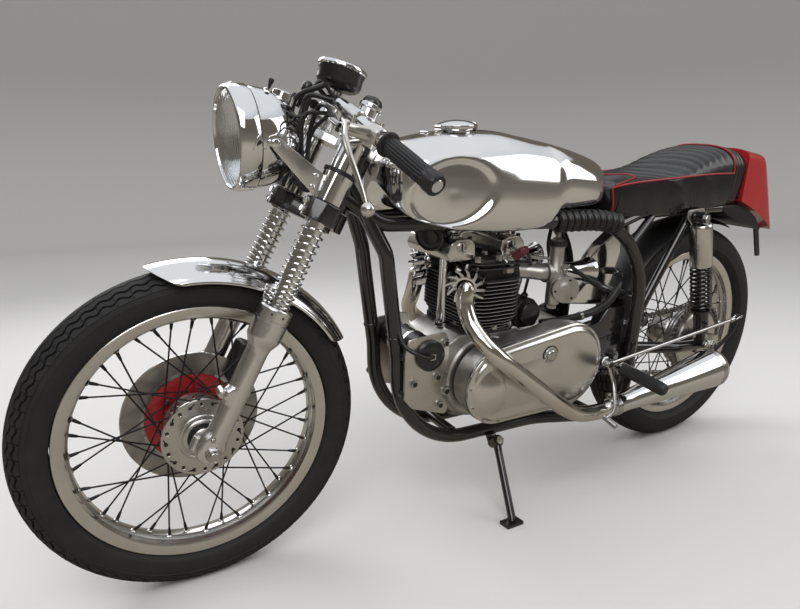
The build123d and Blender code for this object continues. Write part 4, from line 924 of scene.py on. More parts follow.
@dataclass(frozen=True)
class Tyre:
    """A tyre: its section curve carried round the axle, with tread lines cut in along the normal."""

    name: str
    body: Body
    centre: tuple[float, float, float]
    outer: float
    half: float
    lines: tuple[Tread, ...]
    periods: int = 66
    notch_depth: float = 2.6
    bead: float = 256.0
    bead_half: float = 27.6

    def section(self) -> Points:
        """Radius and side of the half section, from the crown to the bead."""
        belly = self.outer * 0.45 + self.bead * 0.55
        return curve_through(
            [
                (self.outer, 0),
                (self.outer - 1.1, self.half * 0.26),
                (self.outer - 4.8, self.half * 0.52),
                (self.outer - 12.0, self.half * 0.77),
                (self.outer - 23.0, self.half * 0.94),
                (belly, self.half),
                (self.bead + 11, self.half - 3.6),
                (self.bead + 3.0, self.bead_half + 6),
                (self.bead, self.bead_half),
            ],
            24,
        )

    def skin(self) -> Skin:
        """Point(t, u) = section(u + wave sin(n t)) less depth(u, t) along the section's normal."""
        curve = self.section()
        steps = np.linalg.norm(np.diff(curve, axis=0), axis=1)
        run = np.concatenate([[0], np.cumsum(steps)])
        way = np.gradient(curve, axis=0)
        way /= np.linalg.norm(way, axis=1)[:, None]
        last = max(line.place for line in self.lines)
        wall = [Tread(place) for place in np.linspace(last + 2, run[-1] - 9, 8)]
        wall += [Tread(run[-1] - 7.5), Tread(run[-1] - 7.0, -0.8), Tread(run[-1] - 5.0, -0.8)]
        wall += [Tread(run[-1] - 4.5), Tread(run[-1] - 2.0), Tread(run[-1])]
        half = list(self.lines) + wall
        table = np.array([(line.place, line.depth, line.wave, line.notch) for line in half])
        sides = np.concatenate([-np.ones(len(half)), np.ones(len(half))])
        both = np.vstack([table[::-1], table])
        cut = np.array([0.0, 0.012, 0.075, 0.087])
        phase = np.concatenate([cut, np.linspace(0.16, 0.93, 7)])
        t = ((np.arange(self.periods)[:, None] + phase) / self.periods).reshape(-1)
        in_notch = np.tile((phase > 0.005) & (phase < 0.08), self.periods)
        signed = both[:, 0] * sides + both[:, 2] * np.sin(FULL_TURN * self.periods * t)[:, None]
        u = np.abs(signed)
        depth = both[:, 1] + self.notch_depth * both[:, 3] * in_notch[:, None]
        r = np.interp(u, run, curve[:, 0]) - depth * np.interp(u, run, way[:, 1])
        h = np.interp(u, run, curve[:, 1]) + depth * np.interp(u, run, way[:, 0])
        h = h * np.sign(signed)
        return grid(Seat(self.centre).put(turned(r, FULL_TURN * t[:, None], h)), wrap_rows=True)

    def build(self, shop: Workshop) -> None:
        """Makes the tyre."""
        shop.piece(self.name, self.skin(), "tyre_rubber", self.name, body=self.body, sharp=30)


FRONT_TREAD = tuple(
    [Tread(3.0)]
    + groove(10.0, 3.4, 3.6, 2.2, (0, 0))
    + groove(26.0, 4.2, 4.4, 3.0, (0, 1))
    + groove(40.0, 3.8, 4.2, 3.0, (1, 1))
    + [Tread(49.0, 0, 0, 1), Tread(50.0, 1.2), Tread(51.5, 1.2), Tread(52.5)]
    + [Tread(57.5), Tread(58.0, -0.8), Tread(60.0, -0.8), Tread(60.5)]
)
REAR_TREAD = tuple(
    [Tread(2.5, 0, 1.5)]
    + groove(9.0, 3.4, 5.0, 2.0, (0, 1))
    + [Tread(15, 0, 2.0, 1)]
    + groove(23.0, 3.6, 5.0, 2.2, (1, 1))
    + [Tread(30, 0, 1.2, 1)]
    + groove(38.0, 3.0, 4.0, 0.0, (1, 1))
    + [Tread(47, 0, 0, 1), Tread(48.2, 0, 0, 0)]
)


def pierced_disc(seat: Seat, inner: float, outer: float, low: float, high: float, count: int,
                 hole_centre: float, hole: float) -> Skin:
    """Flat ring with a circle of holes.

    Each hole's sector is a grid: direction from the hole's centre by level, where the levels run from
    the sector's edge on the low face to the hole, up its wall and back to the edge on the high face.

    Args:
        seat: The ring's axis.
        inner: Inner radius.
        outer: Outer radius.
        low: Height of the low face.
        high: Height of the high face.
        count: Number of holes.
        hole_centre: Radius at which the holes sit.
        hole: Radius of a hole.

    Returns:
        The skin.
    """
    half = math.pi / count
    side = np.linspace(-1, 1, 9)[:-1]
    r_mid, r_half = (outer + inner) / 2, (outer - inner) / 2
    ones = np.ones_like(side)
    edge_r = np.concatenate([r_mid + r_half * ones, r_mid - r_half * side, r_mid - r_half * ones,
                             r_mid + r_half * side])
    edge_t = half * np.concatenate([side, ones, -side, -ones])
    edge = np.stack([edge_r * np.cos(edge_t), edge_r * np.sin(edge_t)], -1)
    way = edge - [hole_centre, 0]
    way /= np.linalg.norm(way, axis=1)[:, None]
    rim = [hole_centre, 0] + hole * way
    near = 0.6 * rim + 0.4 * edge
    wide = [hole_centre, 0] + (hole + 0.5) * way
    levels = [(edge, low), (near, low), (wide, low), (rim, low + 0.5), (rim, high - 0.5), (wide, high),
              (near, high), (edge, high)]
    rows = np.array([np.column_stack([flat, np.full(len(flat), level)]) for flat, level in levels])
    sheet = grid(rows, capped=False)
    last = (len(levels) - 1) * len(edge)
    columns = np.concatenate([np.arange(8), np.arange(16, 24)])
    after = (columns + 1) % len(edge)
    walls = np.stack([last + columns, last + after, after, columns], -1)
    sector = Skin(sheet.points, np.vstack([sheet.quads, walls]))
    turns = [turn_about(UPWARD, ORIGIN, angle) for angle in ring_angles(count)]
    return join([sector.moved(matrix) for matrix in turns]).seated(seat)


@dataclass(frozen=True)
class Wheel:
    """Rim, spokes and hub shared by both wheels."""

    name: str
    body: Body
    centre: tuple[float, float, float]
    flanges: tuple[tuple[float, float], tuple[float, float]]
    lip: float = 255.0
    half: float = 31.5
    well: float = 226.0
    spoke: float = 1.7
    per_side: int = 20
    sweep: float = 54.0
    hub_step: float = 3.4
    rim_step: float = 6.0

    @property
    def seat(self) -> Seat:
        """The axle's seat: Z to the left."""
        return Seat(self.centre)

    def rim(self) -> Skin:
        """Section of the rim carried round the axle: flanges, side bands, shoulders and well."""
        side = [
            (self.well, 0), (self.well, 7), (self.well + 1.2, 10), (self.well + 4.5, 14),
            (self.well + 6, 17), (self.well + 6.6, 23), (self.well + 8, 26.5),
            (self.well + 11.5, 28.6), (self.lip - 5, 30.9), (self.lip - 1.4, self.half),
            (self.lip, self.half - 0.8), (self.lip, self.half - 2.4), (self.lip - 2, self.half - 3.4),
            (self.lip - 13, self.half - 4), (self.lip - 13, 14), (self.well + 3, 9),
            (self.well + 3, 0),
        ]
        other = [(r, -h) for r, h in reversed(side[1:-1])]
        return revolve(side + other, self.seat, 192, closed=True)

    def lines(self) -> list[tuple[Points, Points]]:
        """Hub end and rim end of each spoke, in the axle's directions."""
        ends = []
        for side, (radius, place) in zip((1, -1), self.flanges):
            for number in range(self.per_side):
                back = 1 if number % 2 else -1
                rim_turn = FULL_TURN * (number + (0.0 if side > 0 else 0.5)) / self.per_side
                hub_turn = rim_turn + back * math.radians(self.sweep)
                hub = (radius * math.cos(hub_turn), radius * math.sin(hub_turn), place + back * self.hub_step)
                tip = (self.well * math.cos(rim_turn), self.well * math.sin(rim_turn), side * self.rim_step)
                ends.append((np.array(hub), np.array(tip)))
        return ends

    def build(self, shop: Workshop) -> None:
        """Makes the rim, the spokes, the nipples and the nipple seats."""
        shop.piece(f"{self.name}_rim", self.rim(), "rim_alloy", f"{self.name}_rim", body=self.body,
                   sharp=30)
        spokes, nipples, seats = [], [], []
        for hub, tip in self.lines():
            way = unit(hub - tip)
            first, far = self.seat.put(hub), self.seat.put(tip)
            out = unit(far - first)
            spokes.append(bar(first, far - out * 8, self.spoke, 8, 0.3))
            spokes.append(bar(first - out * 2.5, first + out * 0.5, 3.4, 10, 0.8))
            spot = Seat(self.seat.put(tip + way * 2.5), -out, SIDE)
            nipples.append(revolve([(3.1, -3), (3.3, 4), (2.6, 13), (1.9, 15.5)], spot, 10))
            inward = -unit(tip * [1, 1, 0])
            foot = Seat(self.seat.put(tip - inward * 0.6),
                        self.seat.put(inward) - np.asarray(self.centre), SIDE)
            seats.append(revolve([(7.2, -0.4), (6.2, 1.0), (4.6, 2.4), (3.0, 2.8)], foot, 14))
        shop.piece(f"{self.name}_spokes", spokes, "spoke_black", body=self.body)
        shop.piece(f"{self.name}_nipples", nipples, "spoke_black", body=self.body)
        shop.piece(f"{self.name}_nipple_seats", seats, "rim_alloy", body=self.body)


@dataclass(frozen=True)
class FrontHub:
    """Front hub with its two pierced flanges, the brake disc, the carrier and the axle."""

    seat: Seat = Seat(FORK.axle)
    flange: float = 77.0
    holes: float = 68.0
    flange_y: float = 36.0
    disc_y: float = -61.0
    far_flange: float = 60.0
    disc: float = 136.0
    carrier: float = 92.0
    bolt_circle: float = 62.0

    def build(self, shop: Workshop) -> None:
        """Makes the pieces."""
        body = Body.FRONT_WHEEL
        left = pierced_disc(self.seat, 46, self.flange, self.flange_y - 3, self.flange_y + 3, 20,
                            self.holes, 3.6)
        right = pierced_disc(self.seat, 40, self.far_flange, -self.flange_y - 3, -self.flange_y + 3, 20,
                             self.far_flange - 7, 3.2)
        barrel = revolve(
            [
                (9, -50), (24, -50), (26, -47), (26, -44), (46, -40), (47, -38), (47, -34), (45, -32),
                (33, -27), (29, -18), (28, 0), (29, 18), (33, 27), (45, 32), (47, 34), (47, 38.5),
                (45, 40.5), (41, 41), (40, 40), (38, 40), (37, 41.5), (34, 43), (31, 43.4),
                (30, 42.5), (29, 38), (22, 38), (22, 47), (20, 49), (9, 49),
            ],
            self.seat, 72,
        )
        shop.piece("front_hub", [left, right, barrel], "hub_alloy", "front_hub", body=body, sharp=30)
        seal = revolve([(22.2, 38.2), (29.2, 38.4), (29.2, 39.6), (22.2, 39.6)], self.seat, 40, True)
        shop.piece("hub_seal", seal, "grip_rubber", body=body)
        y = self.disc_y
        inner, outer = self.carrier + 6, self.disc - 2
        face = [(inner, y - 2.4), (outer, y - 2.4), (outer, y + 2.4), (inner, y + 2.4)]
        shop.piece("disc_faces", revolve(face, self.seat, 96, True), "disc_steel", "brake_disc", body=body)
        edges = [
            revolve([(outer - 0.5, y - 2), (outer + 0.2, y - 2.5), (self.disc, y - 2.3),
                     (self.disc, y + 2.3), (outer + 0.2, y + 2.5), (outer - 0.5, y + 2)],
                    self.seat, 96, True),
            revolve([(inner + 0.5, y - 2.0), (inner - 0.2, y - 2.7), (self.carrier, y - 2.7),
                     (self.carrier - 0.5, y), (self.carrier, y + 2.7), (inner - 0.2, y + 2.7),
                     (inner + 0.5, y + 2.0)], self.seat, 96, True),
        ]
        shop.piece("disc_edges", edges, "bright_steel", body=body)
        rim = self.carrier
        carrier = revolve([(24, y - 5), (rim - 5, y - 5), (rim - 0.5, y - 3), (rim - 0.5, y + 3),
                           (rim - 5, y + 5), (50, y + 5), (46, y + 13), (24, y + 13)], self.seat, 80, True)
        shop.piece("disc_carrier", carrier, "red_gloss", "disc_carrier", body=body)
        bolts = [hex_head(Seat(self.seat.put(spot)), 10, 5)
                 for spot in turned(self.bolt_circle, ring_angles(6, 0.3), y + 5)]
        shop.piece("carrier_bolts", bolts, "bright_steel", body=body)


@dataclass(frozen=True)
class RearHub:
    """Rear hub: brake drum and sprocket on the left, small flange on the right."""

    seat: Seat = Seat(REAR_AXLE)
    teeth: int = 44
    eye: float = 70.0
    root: float = 100.0
    tip: float = 108.5
    chain_y: float = 76.0

    def sprocket(self) -> Skin:
        """Toothed ring: radius = root + (tip - root) (0.5 + 0.5 cos(n t))^0.7, in a thin slab."""
        t = ring_angles(self.teeth * 8)
        wave = (0.5 + 0.5 * np.cos(self.teeth * t)) ** 0.7
        outer = self.root + (self.tip - self.root) * wave
        section = ((self.eye, 3.2), (outer - 2, 3.2), (outer, 1.8), (outer, -1.8), (outer - 2, -3.2),
                   (self.eye, -3.2))
        rows = [turned(radius, t, self.chain_y + h) for radius, h in section]
        return grid(self.seat.put(np.array(rows)), wrap_rows=True)

    def build(self, shop: Workshop) -> None:
        """Makes the pieces."""
        body = Body.REAR_WHEEL
        drum = revolve(
            [
                (9, -58), (24, -58), (27, -54), (30, -42), (58, -41.5), (60, -40), (60, -35), (58, -33.5),
                (36, -33), (33, -20), (33, 20), (36, 33), (84, 33.5), (88, 36), (89, 42), (86, 44),
                (86, 50), (89, 52), (86, 54), (86, 60), (89, 62), (86, 64), (87, 72), (88, 84), (84, 88),
                (40, 90), (31, 92), (30, 98), (9, 99),
            ],
            self.seat, 96,
        )
        shop.piece("rear_hub", drum, "hub_alloy", "rear_hub", body=body, sharp=30)
        shop.piece("rear_sprocket", self.sprocket(), "chain_steel", body=body)


@dataclass(frozen=True)
class Bump:
    """A smooth swelling on a turned casting, at an angle and a height."""

    angle: float
    height: float
    wide: float
    tall: float
    amount: float


def cast_leg(profile: Sequence[Sequence[float]], seat: Seat, bumps: Sequence[Bump], count: int = 72,
             step: float = 2.5) -> Skin:
    """Turned casting with swellings: R(t, h) = profile(h) + sum of A exp(-(dt/w)^4 - (dh/k)^4).

    Args:
        profile: Radius and height along the seat's Z, from bottom to top.
        seat: The casting's axis.
        bumps: The swellings.
        count: Points round each ring.
        step: Greatest distance between rings.

    Returns:
        The skin.
    """
    knots = np.asarray(profile, float)
    rows = [knots[:1]]
    for a, b in zip(knots, knots[1:]):
        parts = max(int(math.ceil(np.linalg.norm(b - a) / step)), 1)
        rows.append(a + (b - a) * (np.arange(1, parts + 1) / parts)[:, None])
    line = np.concatenate(rows)
    t = ring_angles(count)
    radius = np.repeat(line[:, :1], count, axis=1)
    for bump in bumps:
        turn = np.angle(np.exp(1j * (t - math.radians(bump.angle))))
        share = np.exp(-((turn[None] / math.radians(bump.wide)) ** 4)
                       - ((line[:, 1:2] - bump.height) / bump.tall) ** 4)
        radius = radius + bump.amount * share * (line[:, :1] > 6)
    return grid(seat.put(turned(radius, t, line[:, 1:2])))


@dataclass(frozen=True)
class ForkLegs:
    """Sliders, stanchions, springs, yokes, shrouds with headlamp ears and the front axle."""

    slider: float = 21.0
    collar: float = 32.0
    collar_low: float = 223.0
    collar_high: float = 289.0
    stanchion: float = 17.0
    yoke_low: float = 460.0
    yoke_high: float = 618.0
    top: float = 694.0
    coil: float = 21.5
    wire: float = 2.1
    low_pitch: float = 8.0

    def sliders(self, shop: Workshop) -> None:
        """Sliders with their collars, lugs, axle clamps and screws."""
        seat = FORK.seat(left=FORK.leg_y)
        low, high, wide = self.collar_low, self.collar_high, self.collar
        profile = [
            (0.1, -22), (14, -22), (18, -19), (19.5, -10), (20.5, 4), (self.slider, 30),
            (self.slider, low - 22), (22.5, low - 12), (27, low - 4), (wide - 1, low + 4),
            (wide, low + 8), (wide, high - 28), (wide - 1.2, high - 27), (wide - 1.2, high - 24),
            (wide, high - 23), (wide, high - 3), (wide - 2, high), (self.stanchion + 8, high),
            (self.stanchion + 7, high - 6), (self.stanchion + 0.2, high - 6),
        ]
        bumps = [Bump(20, 112, 28, 13, 9), Bump(-160, 118, 26, 9, 5), Bump(0, 6, 48, 26, 8),
                 Bump(180, 2, 40, 20, 4)]
        leg = cast_leg(profile, seat, bumps)
        boss = bar(FORK.at(28, FORK.leg_y - 12, 110), FORK.at(28, FORK.leg_y + 12, 110), 9, 28, 2)
        clamp = bar(FORK.at(0, FORK.leg_y - 20, 0), FORK.at(0, FORK.leg_y + 18, 0), 17.5, 36, 2.5)
        lug = bar(FORK.at(27, FORK.leg_y - 12, -12), FORK.at(27, FORK.leg_y - 12, 16), 9, 24, 2)
        left = join([leg, boss, clamp, lug])
        shop.pair("fork_sliders", left, "fork_alloy", "fork_sliders", body=Body.STEERING, sharp=40)
        screws = [
            dome_head(Seat(FORK.at(28, FORK.leg_y + 12, 110)), 4.5, 1.5),
            dome_head(Seat(FORK.at(27, FORK.leg_y - 12, 16), FORK.up, SIDE), 5, 3),
            dome_head(Seat(FORK.at(12, FORK.leg_y + 21, 26)), 4.5, 3),
            hex_head(Seat(FORK.at(0, FORK.leg_y + 18, 0)), 26, 8),
            bar(FORK.at(0, FORK.leg_y + 20, 0), FORK.at(0, FORK.leg_y + 31, 0), 8.5, 24),
        ]
        shop.pair("slider_screws", screws, "bright_steel", body=Body.STEERING)
        axle = bar(FORK.at(0, -FORK.leg_y, 0), FORK.at(0, FORK.leg_y, 0), 8.5, 24)
        spacers = both_sides(bar(FORK.at(0, 49, 0), FORK.at(0, FORK.leg_y - 21, 0), 16, 32))
        shop.piece("front_axle", [axle, spacers], "bright_steel", "front_axle", body=Body.STEERING)
        # Black discs on the collar: painted shade where its holes are.
        holes = []
        for angle in (-60, -20, 20, 60, 100, 140, 180, 220):
            t = math.radians(angle)
            way = FORK.ahead * math.cos(t) + np.array(SIDE) * math.sin(t)
            spot = FORK.at(0, FORK.leg_y, high - 12) + way * (wide - 0.5)
            holes.append(revolve([(2.2, 0), (2.2, 0.7)], Seat(spot, way, FORK.up), 12))
        shop.pair("collar_hole_shades", holes, "soft_black", body=Body.STEERING)

    def springs(self, shop: Workshop) -> None:
        """Chrome stanchions inside bare coil springs that close up towards the sliders."""
        seat = FORK.seat(left=FORK.leg_y)
        bottom, top = self.collar_high - 5, self.yoke_low - 2
        turn = np.arange(16)
        growth = (top - bottom - 15 * self.low_pitch) / 105
        heights = bottom + self.low_pitch * turn + growth * turn * (turn - 1) / 2
        spring = helix(seat, self.coil, heights, self.wire, 26)
        shop.pair("fork_springs", spring, "chrome", body=Body.STEERING)
        tube_skin = revolve([(self.stanchion, 200), (self.stanchion, self.top - 12)], seat, 48)
        shop.pair("fork_stanchions", tube_skin, "chrome", "fork_stanchions", body=Body.STEERING)

    def yoke(self, along: float, height: float, nose: float, round_ears: float) -> Skin:
        """One yoke as a rounded slab: clamps round the legs, a waist and the stem's boss."""
        leg = FORK.leg_y
        corners = [
            (nose, leg - 14), (nose, leg + 12), (10, leg + 30), (-22, leg + 28), (-34, leg + 4),
            (-64, 34), (-88, 26), (-92, 0), (-88, -26), (-64, -34), (-34, -leg - 4), (-22, -leg - 28),
            (10, -leg - 30), (nose, -leg - 12), (nose, -leg + 14), (4, -50), (-26, -34), (-30, 0),
            (-26, 34), (4, 50),
        ]
        outline = rounded(corners, round_ears, 6)
        return slab(outline, 0, height, 3.0).laid_flat().seated(FORK.seat(along=along))

    def yokes(self, shop: Workshop) -> None:
        """Lower yoke in gloss black, polished upper yoke, stem, caps and pinch bolts."""
        lower = self.yoke(self.yoke_low, 38, 34, 14)
        stem = bar(FORK.at(-60, 0, self.yoke_low - 8), FORK.at(-60, 0, self.yoke_high), 14, 32)
        shop.piece("lower_yoke", [lower, stem], "frame_black", "fork_yokes", body=Body.STEERING)
        upper = self.yoke(self.yoke_high, 18, 28, 14)
        shop.piece("upper_yoke", upper, "fork_alloy", body=Body.STEERING)
        nut_seat = FORK.seat(ahead=-60, along=self.yoke_high + 18)
        bolts = [hex_head(nut_seat, 36, 10), bar(FORK.at(-60, 0, self.yoke_high + 28),
                                                FORK.at(-60, 0, self.yoke_high + 34), 12)]
        domes = []
        for left in (FORK.leg_y, -FORK.leg_y):
            cap_seat = FORK.seat(left=left, along=self.top - 12)
            bolts.append(revolve([(19, 0), (21.5, 2), (21.5, 8), (19.5, 10), (18, 10)], cap_seat, 40))
            domes.append(revolve([(19, 9), (18.5, 15), (15, 21), (8, 24.5), (0.5, 25.5)], cap_seat, 40))
            side = 1 if left > 0 else -1
            for along in (self.yoke_low + 11, self.yoke_low + 27):
                spot = Seat(FORK.at(34, left - side * 2, along), FORK.ahead, SIDE)
                bolts.append(hex_head(spot, 12, 6))
            pinch = Seat(FORK.at(28, left, self.yoke_high + 9), FORK.ahead, SIDE)
            bolts.append(dome_head(pinch, 7, 6))
        shop.piece("yoke_bolts", bolts, "chrome", body=Body.STEERING)
        shop.piece("leg_caps", domes, "dial_black", body=Body.STEERING)

    def shrouds(self, shop: Workshop) -> None:
        """Chrome shrouds with rubber rings and flat ears that taper to the lamp's bolts."""
        seat = FORK.seat(left=FORK.leg_y)
        low, high = self.yoke_low + 38.3, 552
        can = revolve([(26, low), (28.5, low + 1), (28.5, high), (18, high)], seat, 56)
        ring = revolve([(18, high), (29.5, high), (30.5, high + 1), (30.5, high + 7), (29.5, high + 8),
                        (18, high + 8)], seat, 48)
        neck = revolve([(18, high + 8), (22, high + 8), (22, self.yoke_high - 1), (18, self.yoke_high - 1)],
                       seat, 48)
        ear = rounded([(24, 501), (24, 540), (128, 558), (141, 547), (128, 536), (34, 501)], 8)
        skin = slab(ear, 0, 3.2, 0.8).seated(FORK.seat(left=FORK.leg_y + 1))
        shop.pair("fork_shrouds", [can, neck], "chrome", "fork_shrouds", body=Body.STEERING)
        shop.pair("lamp_ears", skin, "fork_alloy", body=Body.STEERING)
        shop.pair("shroud_rings", ring, "grip_rubber", body=Body.STEERING)
        bolts = [dome_head(Seat(FORK.at(x, FORK.leg_y + 4.2, z)), r, 3.5)
                 for x, z, r in ((40, 512, 5), (42, 532, 5), (130, 547, 8))]
        bolts.append(bar(FORK.at(130, 70, 547), FORK.at(130, FORK.leg_y + 2, 547), 8))
        shop.pair("ear_bolts", bolts, "chrome", body=Body.STEERING)

    def build(self, shop: Workshop) -> None:
        """Makes the pieces."""
        self.sliders(shop)
        self.springs(shop)
        self.yokes(shop)
        self.shrouds(shop)


@dataclass(frozen=True)
class FrontMudguard:
    """Short polished mudguard, an arc of its section round the axle, with stays and rivets."""

    crown: float = 340.0
    edge: float = 306.0
    half: float = 57.0
    sheet: float = 1.6
    hem: float = 0.96
    start: float = 86.2
    end: float = 147.4

    def radius(self, y: Points) -> Points:
        """Section: R(y) is the arc through the crown and both edges."""
        rise = self.crown - self.edge
        bend = (self.half**2 + rise**2) / (2 * rise)
        return self.crown - bend + np.sqrt(bend**2 - y**2)

    def blade(self) -> Skin:
        """Grid of angle by place across; the ends reach further at the middle than at the edges."""
        y = self.half * np.sin(np.linspace(-math.pi / 2, math.pi / 2, 33))
        reach = 9.5 * np.sqrt(1 - np.clip(np.abs(y) / self.half, 0, 1) ** 2)
        share = np.linspace(0, 1, 72)[:, None]
        a = np.radians((self.start - reach) * (1 - share) + (self.end + 0.6 * reach) * share)
        hem = self.hem * (np.abs(y) > self.half - 2)
        outer, inner = (turned(self.radius(y) + change, a, y)[..., [0, 2, 1]]
                        for change in (hem, -self.sheet - hem))
        return sheet(outer, inner).shifted(FORK.axle)

    def build(self, shop: Workshop) -> None:
        """Makes the blade, the stays and the rivets."""
        shop.piece("front_mudguard", self.blade(), "tank_alloy", "front_mudguard", body=Body.STEERING,
                   sharp=50)
        gusset = rounded([(-22, 318), (26, 320), (22, 300), (10, 264), (-8, 262), (-18, 290)], 5)
        stay = slab(gusset, 0, 3.0, 0.8).seated(FORK.seat(left=57.5))
        shop.pair("guard_stays", stay, "tank_alloy", body=Body.STEERING)
        rivets = [dome_head(Seat(FORK.at(x, 60.4, z)), 3.2, 1.6)
                  for x, z in ((-16, 308), (18, 310), (4, 276), (0, 300))]
        shop.pair("guard_rivets", rivets, "bright_steel", body=Body.STEERING)


@dataclass(frozen=True)
class Headlamp:
    """Chrome bowl with its rim, a reflector and a fluted lens."""

    centre: tuple[float, float, float] = (1339.0, 0.0, 873.0)
    droop: float = 2.8
    radius: float = 93.0
    bulge: float = 13.0
    flute: float = 0.4

    @property
    def seat(self) -> Seat:
        """Z out of the lens, X to the left."""
        a = math.radians(self.droop)
        return Seat(self.centre, (math.cos(a), 0, -math.sin(a)), SIDE)

    def lens(self) -> Skin:
        """Smooth dome in front; behind it dome(r) - 3 + 0.4 cos(0.9 x), flutes that fade at the edge."""
        edge, bulge = self.radius - 8, self.bulge
        r = edge * np.sin(np.linspace(0.02, math.pi / 2, 40))
        t = ring_angles(96)
        x, y = r[:, None] * np.cos(t), r[:, None] * np.sin(t)
        bend = (edge**2 + bulge**2) / (2 * bulge)
        dome = bulge - bend + np.sqrt(bend**2 - r**2)[:, None]
        calm = np.clip(1 - (r[:, None] / edge) ** 8, 0, 1)
        front = np.stack([x, y, 1 + dome + 0 * x], -1)
        inner = np.stack([x, y, dome - 3.0 + self.flute * np.cos(x * 0.9) * calm], -1)[::-1]
        return grid(self.seat.put(np.concatenate([front, inner])))

    def build(self, shop: Workshop) -> None:
        """Makes the pieces."""
        body, seat, rim = Body.STEERING, self.seat, self.radius
        arc = curve_through([(0.5, -131), (16, -130), (44, -120), (66, -100), (82, -74), (rim - 4, -46),
                             (rim - 3, -32)], 8)
        bowl = [*arc, (rim - 7, -16), (rim - 8, -40), (60, -90), (0.5, -110)]
        shop.piece("headlamp_bowl", revolve(bowl, seat, 96), "chrome", "headlamp_shell", body=body,
                   sharp=45)
        ring = [(rim - 8, -6), (rim - 8, 3.4), (rim - 7, 5), (rim - 5, 5.2), (rim - 2.6, 3.4), (rim - 1, 0),
                (rim, -8), (rim, -30), (rim - 1.2, -31.4), (rim - 4, -31.4)]
        shop.piece("headlamp_rim", revolve(ring, seat, 120, True), "chrome", body=body, sharp=45)
        seam = revolve([(rim - 4, -33.4), (rim - 2.6, -33.4), (rim - 2.6, -31.4), (rim - 4, -31.4)],
                       seat, 96, True)
        shop.piece("lamp_seam", seam, "grip_rubber", body=body)
        shop.piece("headlamp_lens", self.lens(), "lamp_glass", "headlamp_lens", body=body, sharp=60)
        r = np.linspace(rim - 9, 9, 24)
        front = np.stack([r, -62 + 56 * (r / (rim - 9)) ** 2], -1)
        back = front[::-1] + [0.8, -1.6]
        mirror = revolve(np.vstack([front, back]), seat, 72, True)
        shop.piece("reflector", mirror, "reflector", body=body)
        bulb = revolve([(0.5, -22), (6, -24), (9, -30), (9, -40), (7, -48), (7, -66), (0.5, -66)], seat, 24)
        shop.piece("bulb", bulb, "pale_stub", body=body)
        clip = bar(seat.put([0, rim - 4, 0]), seat.put([0, rim + 1, -14]), 3, 14)
        shop.piece("rim_screw", clip, "bright_steel", body=body)


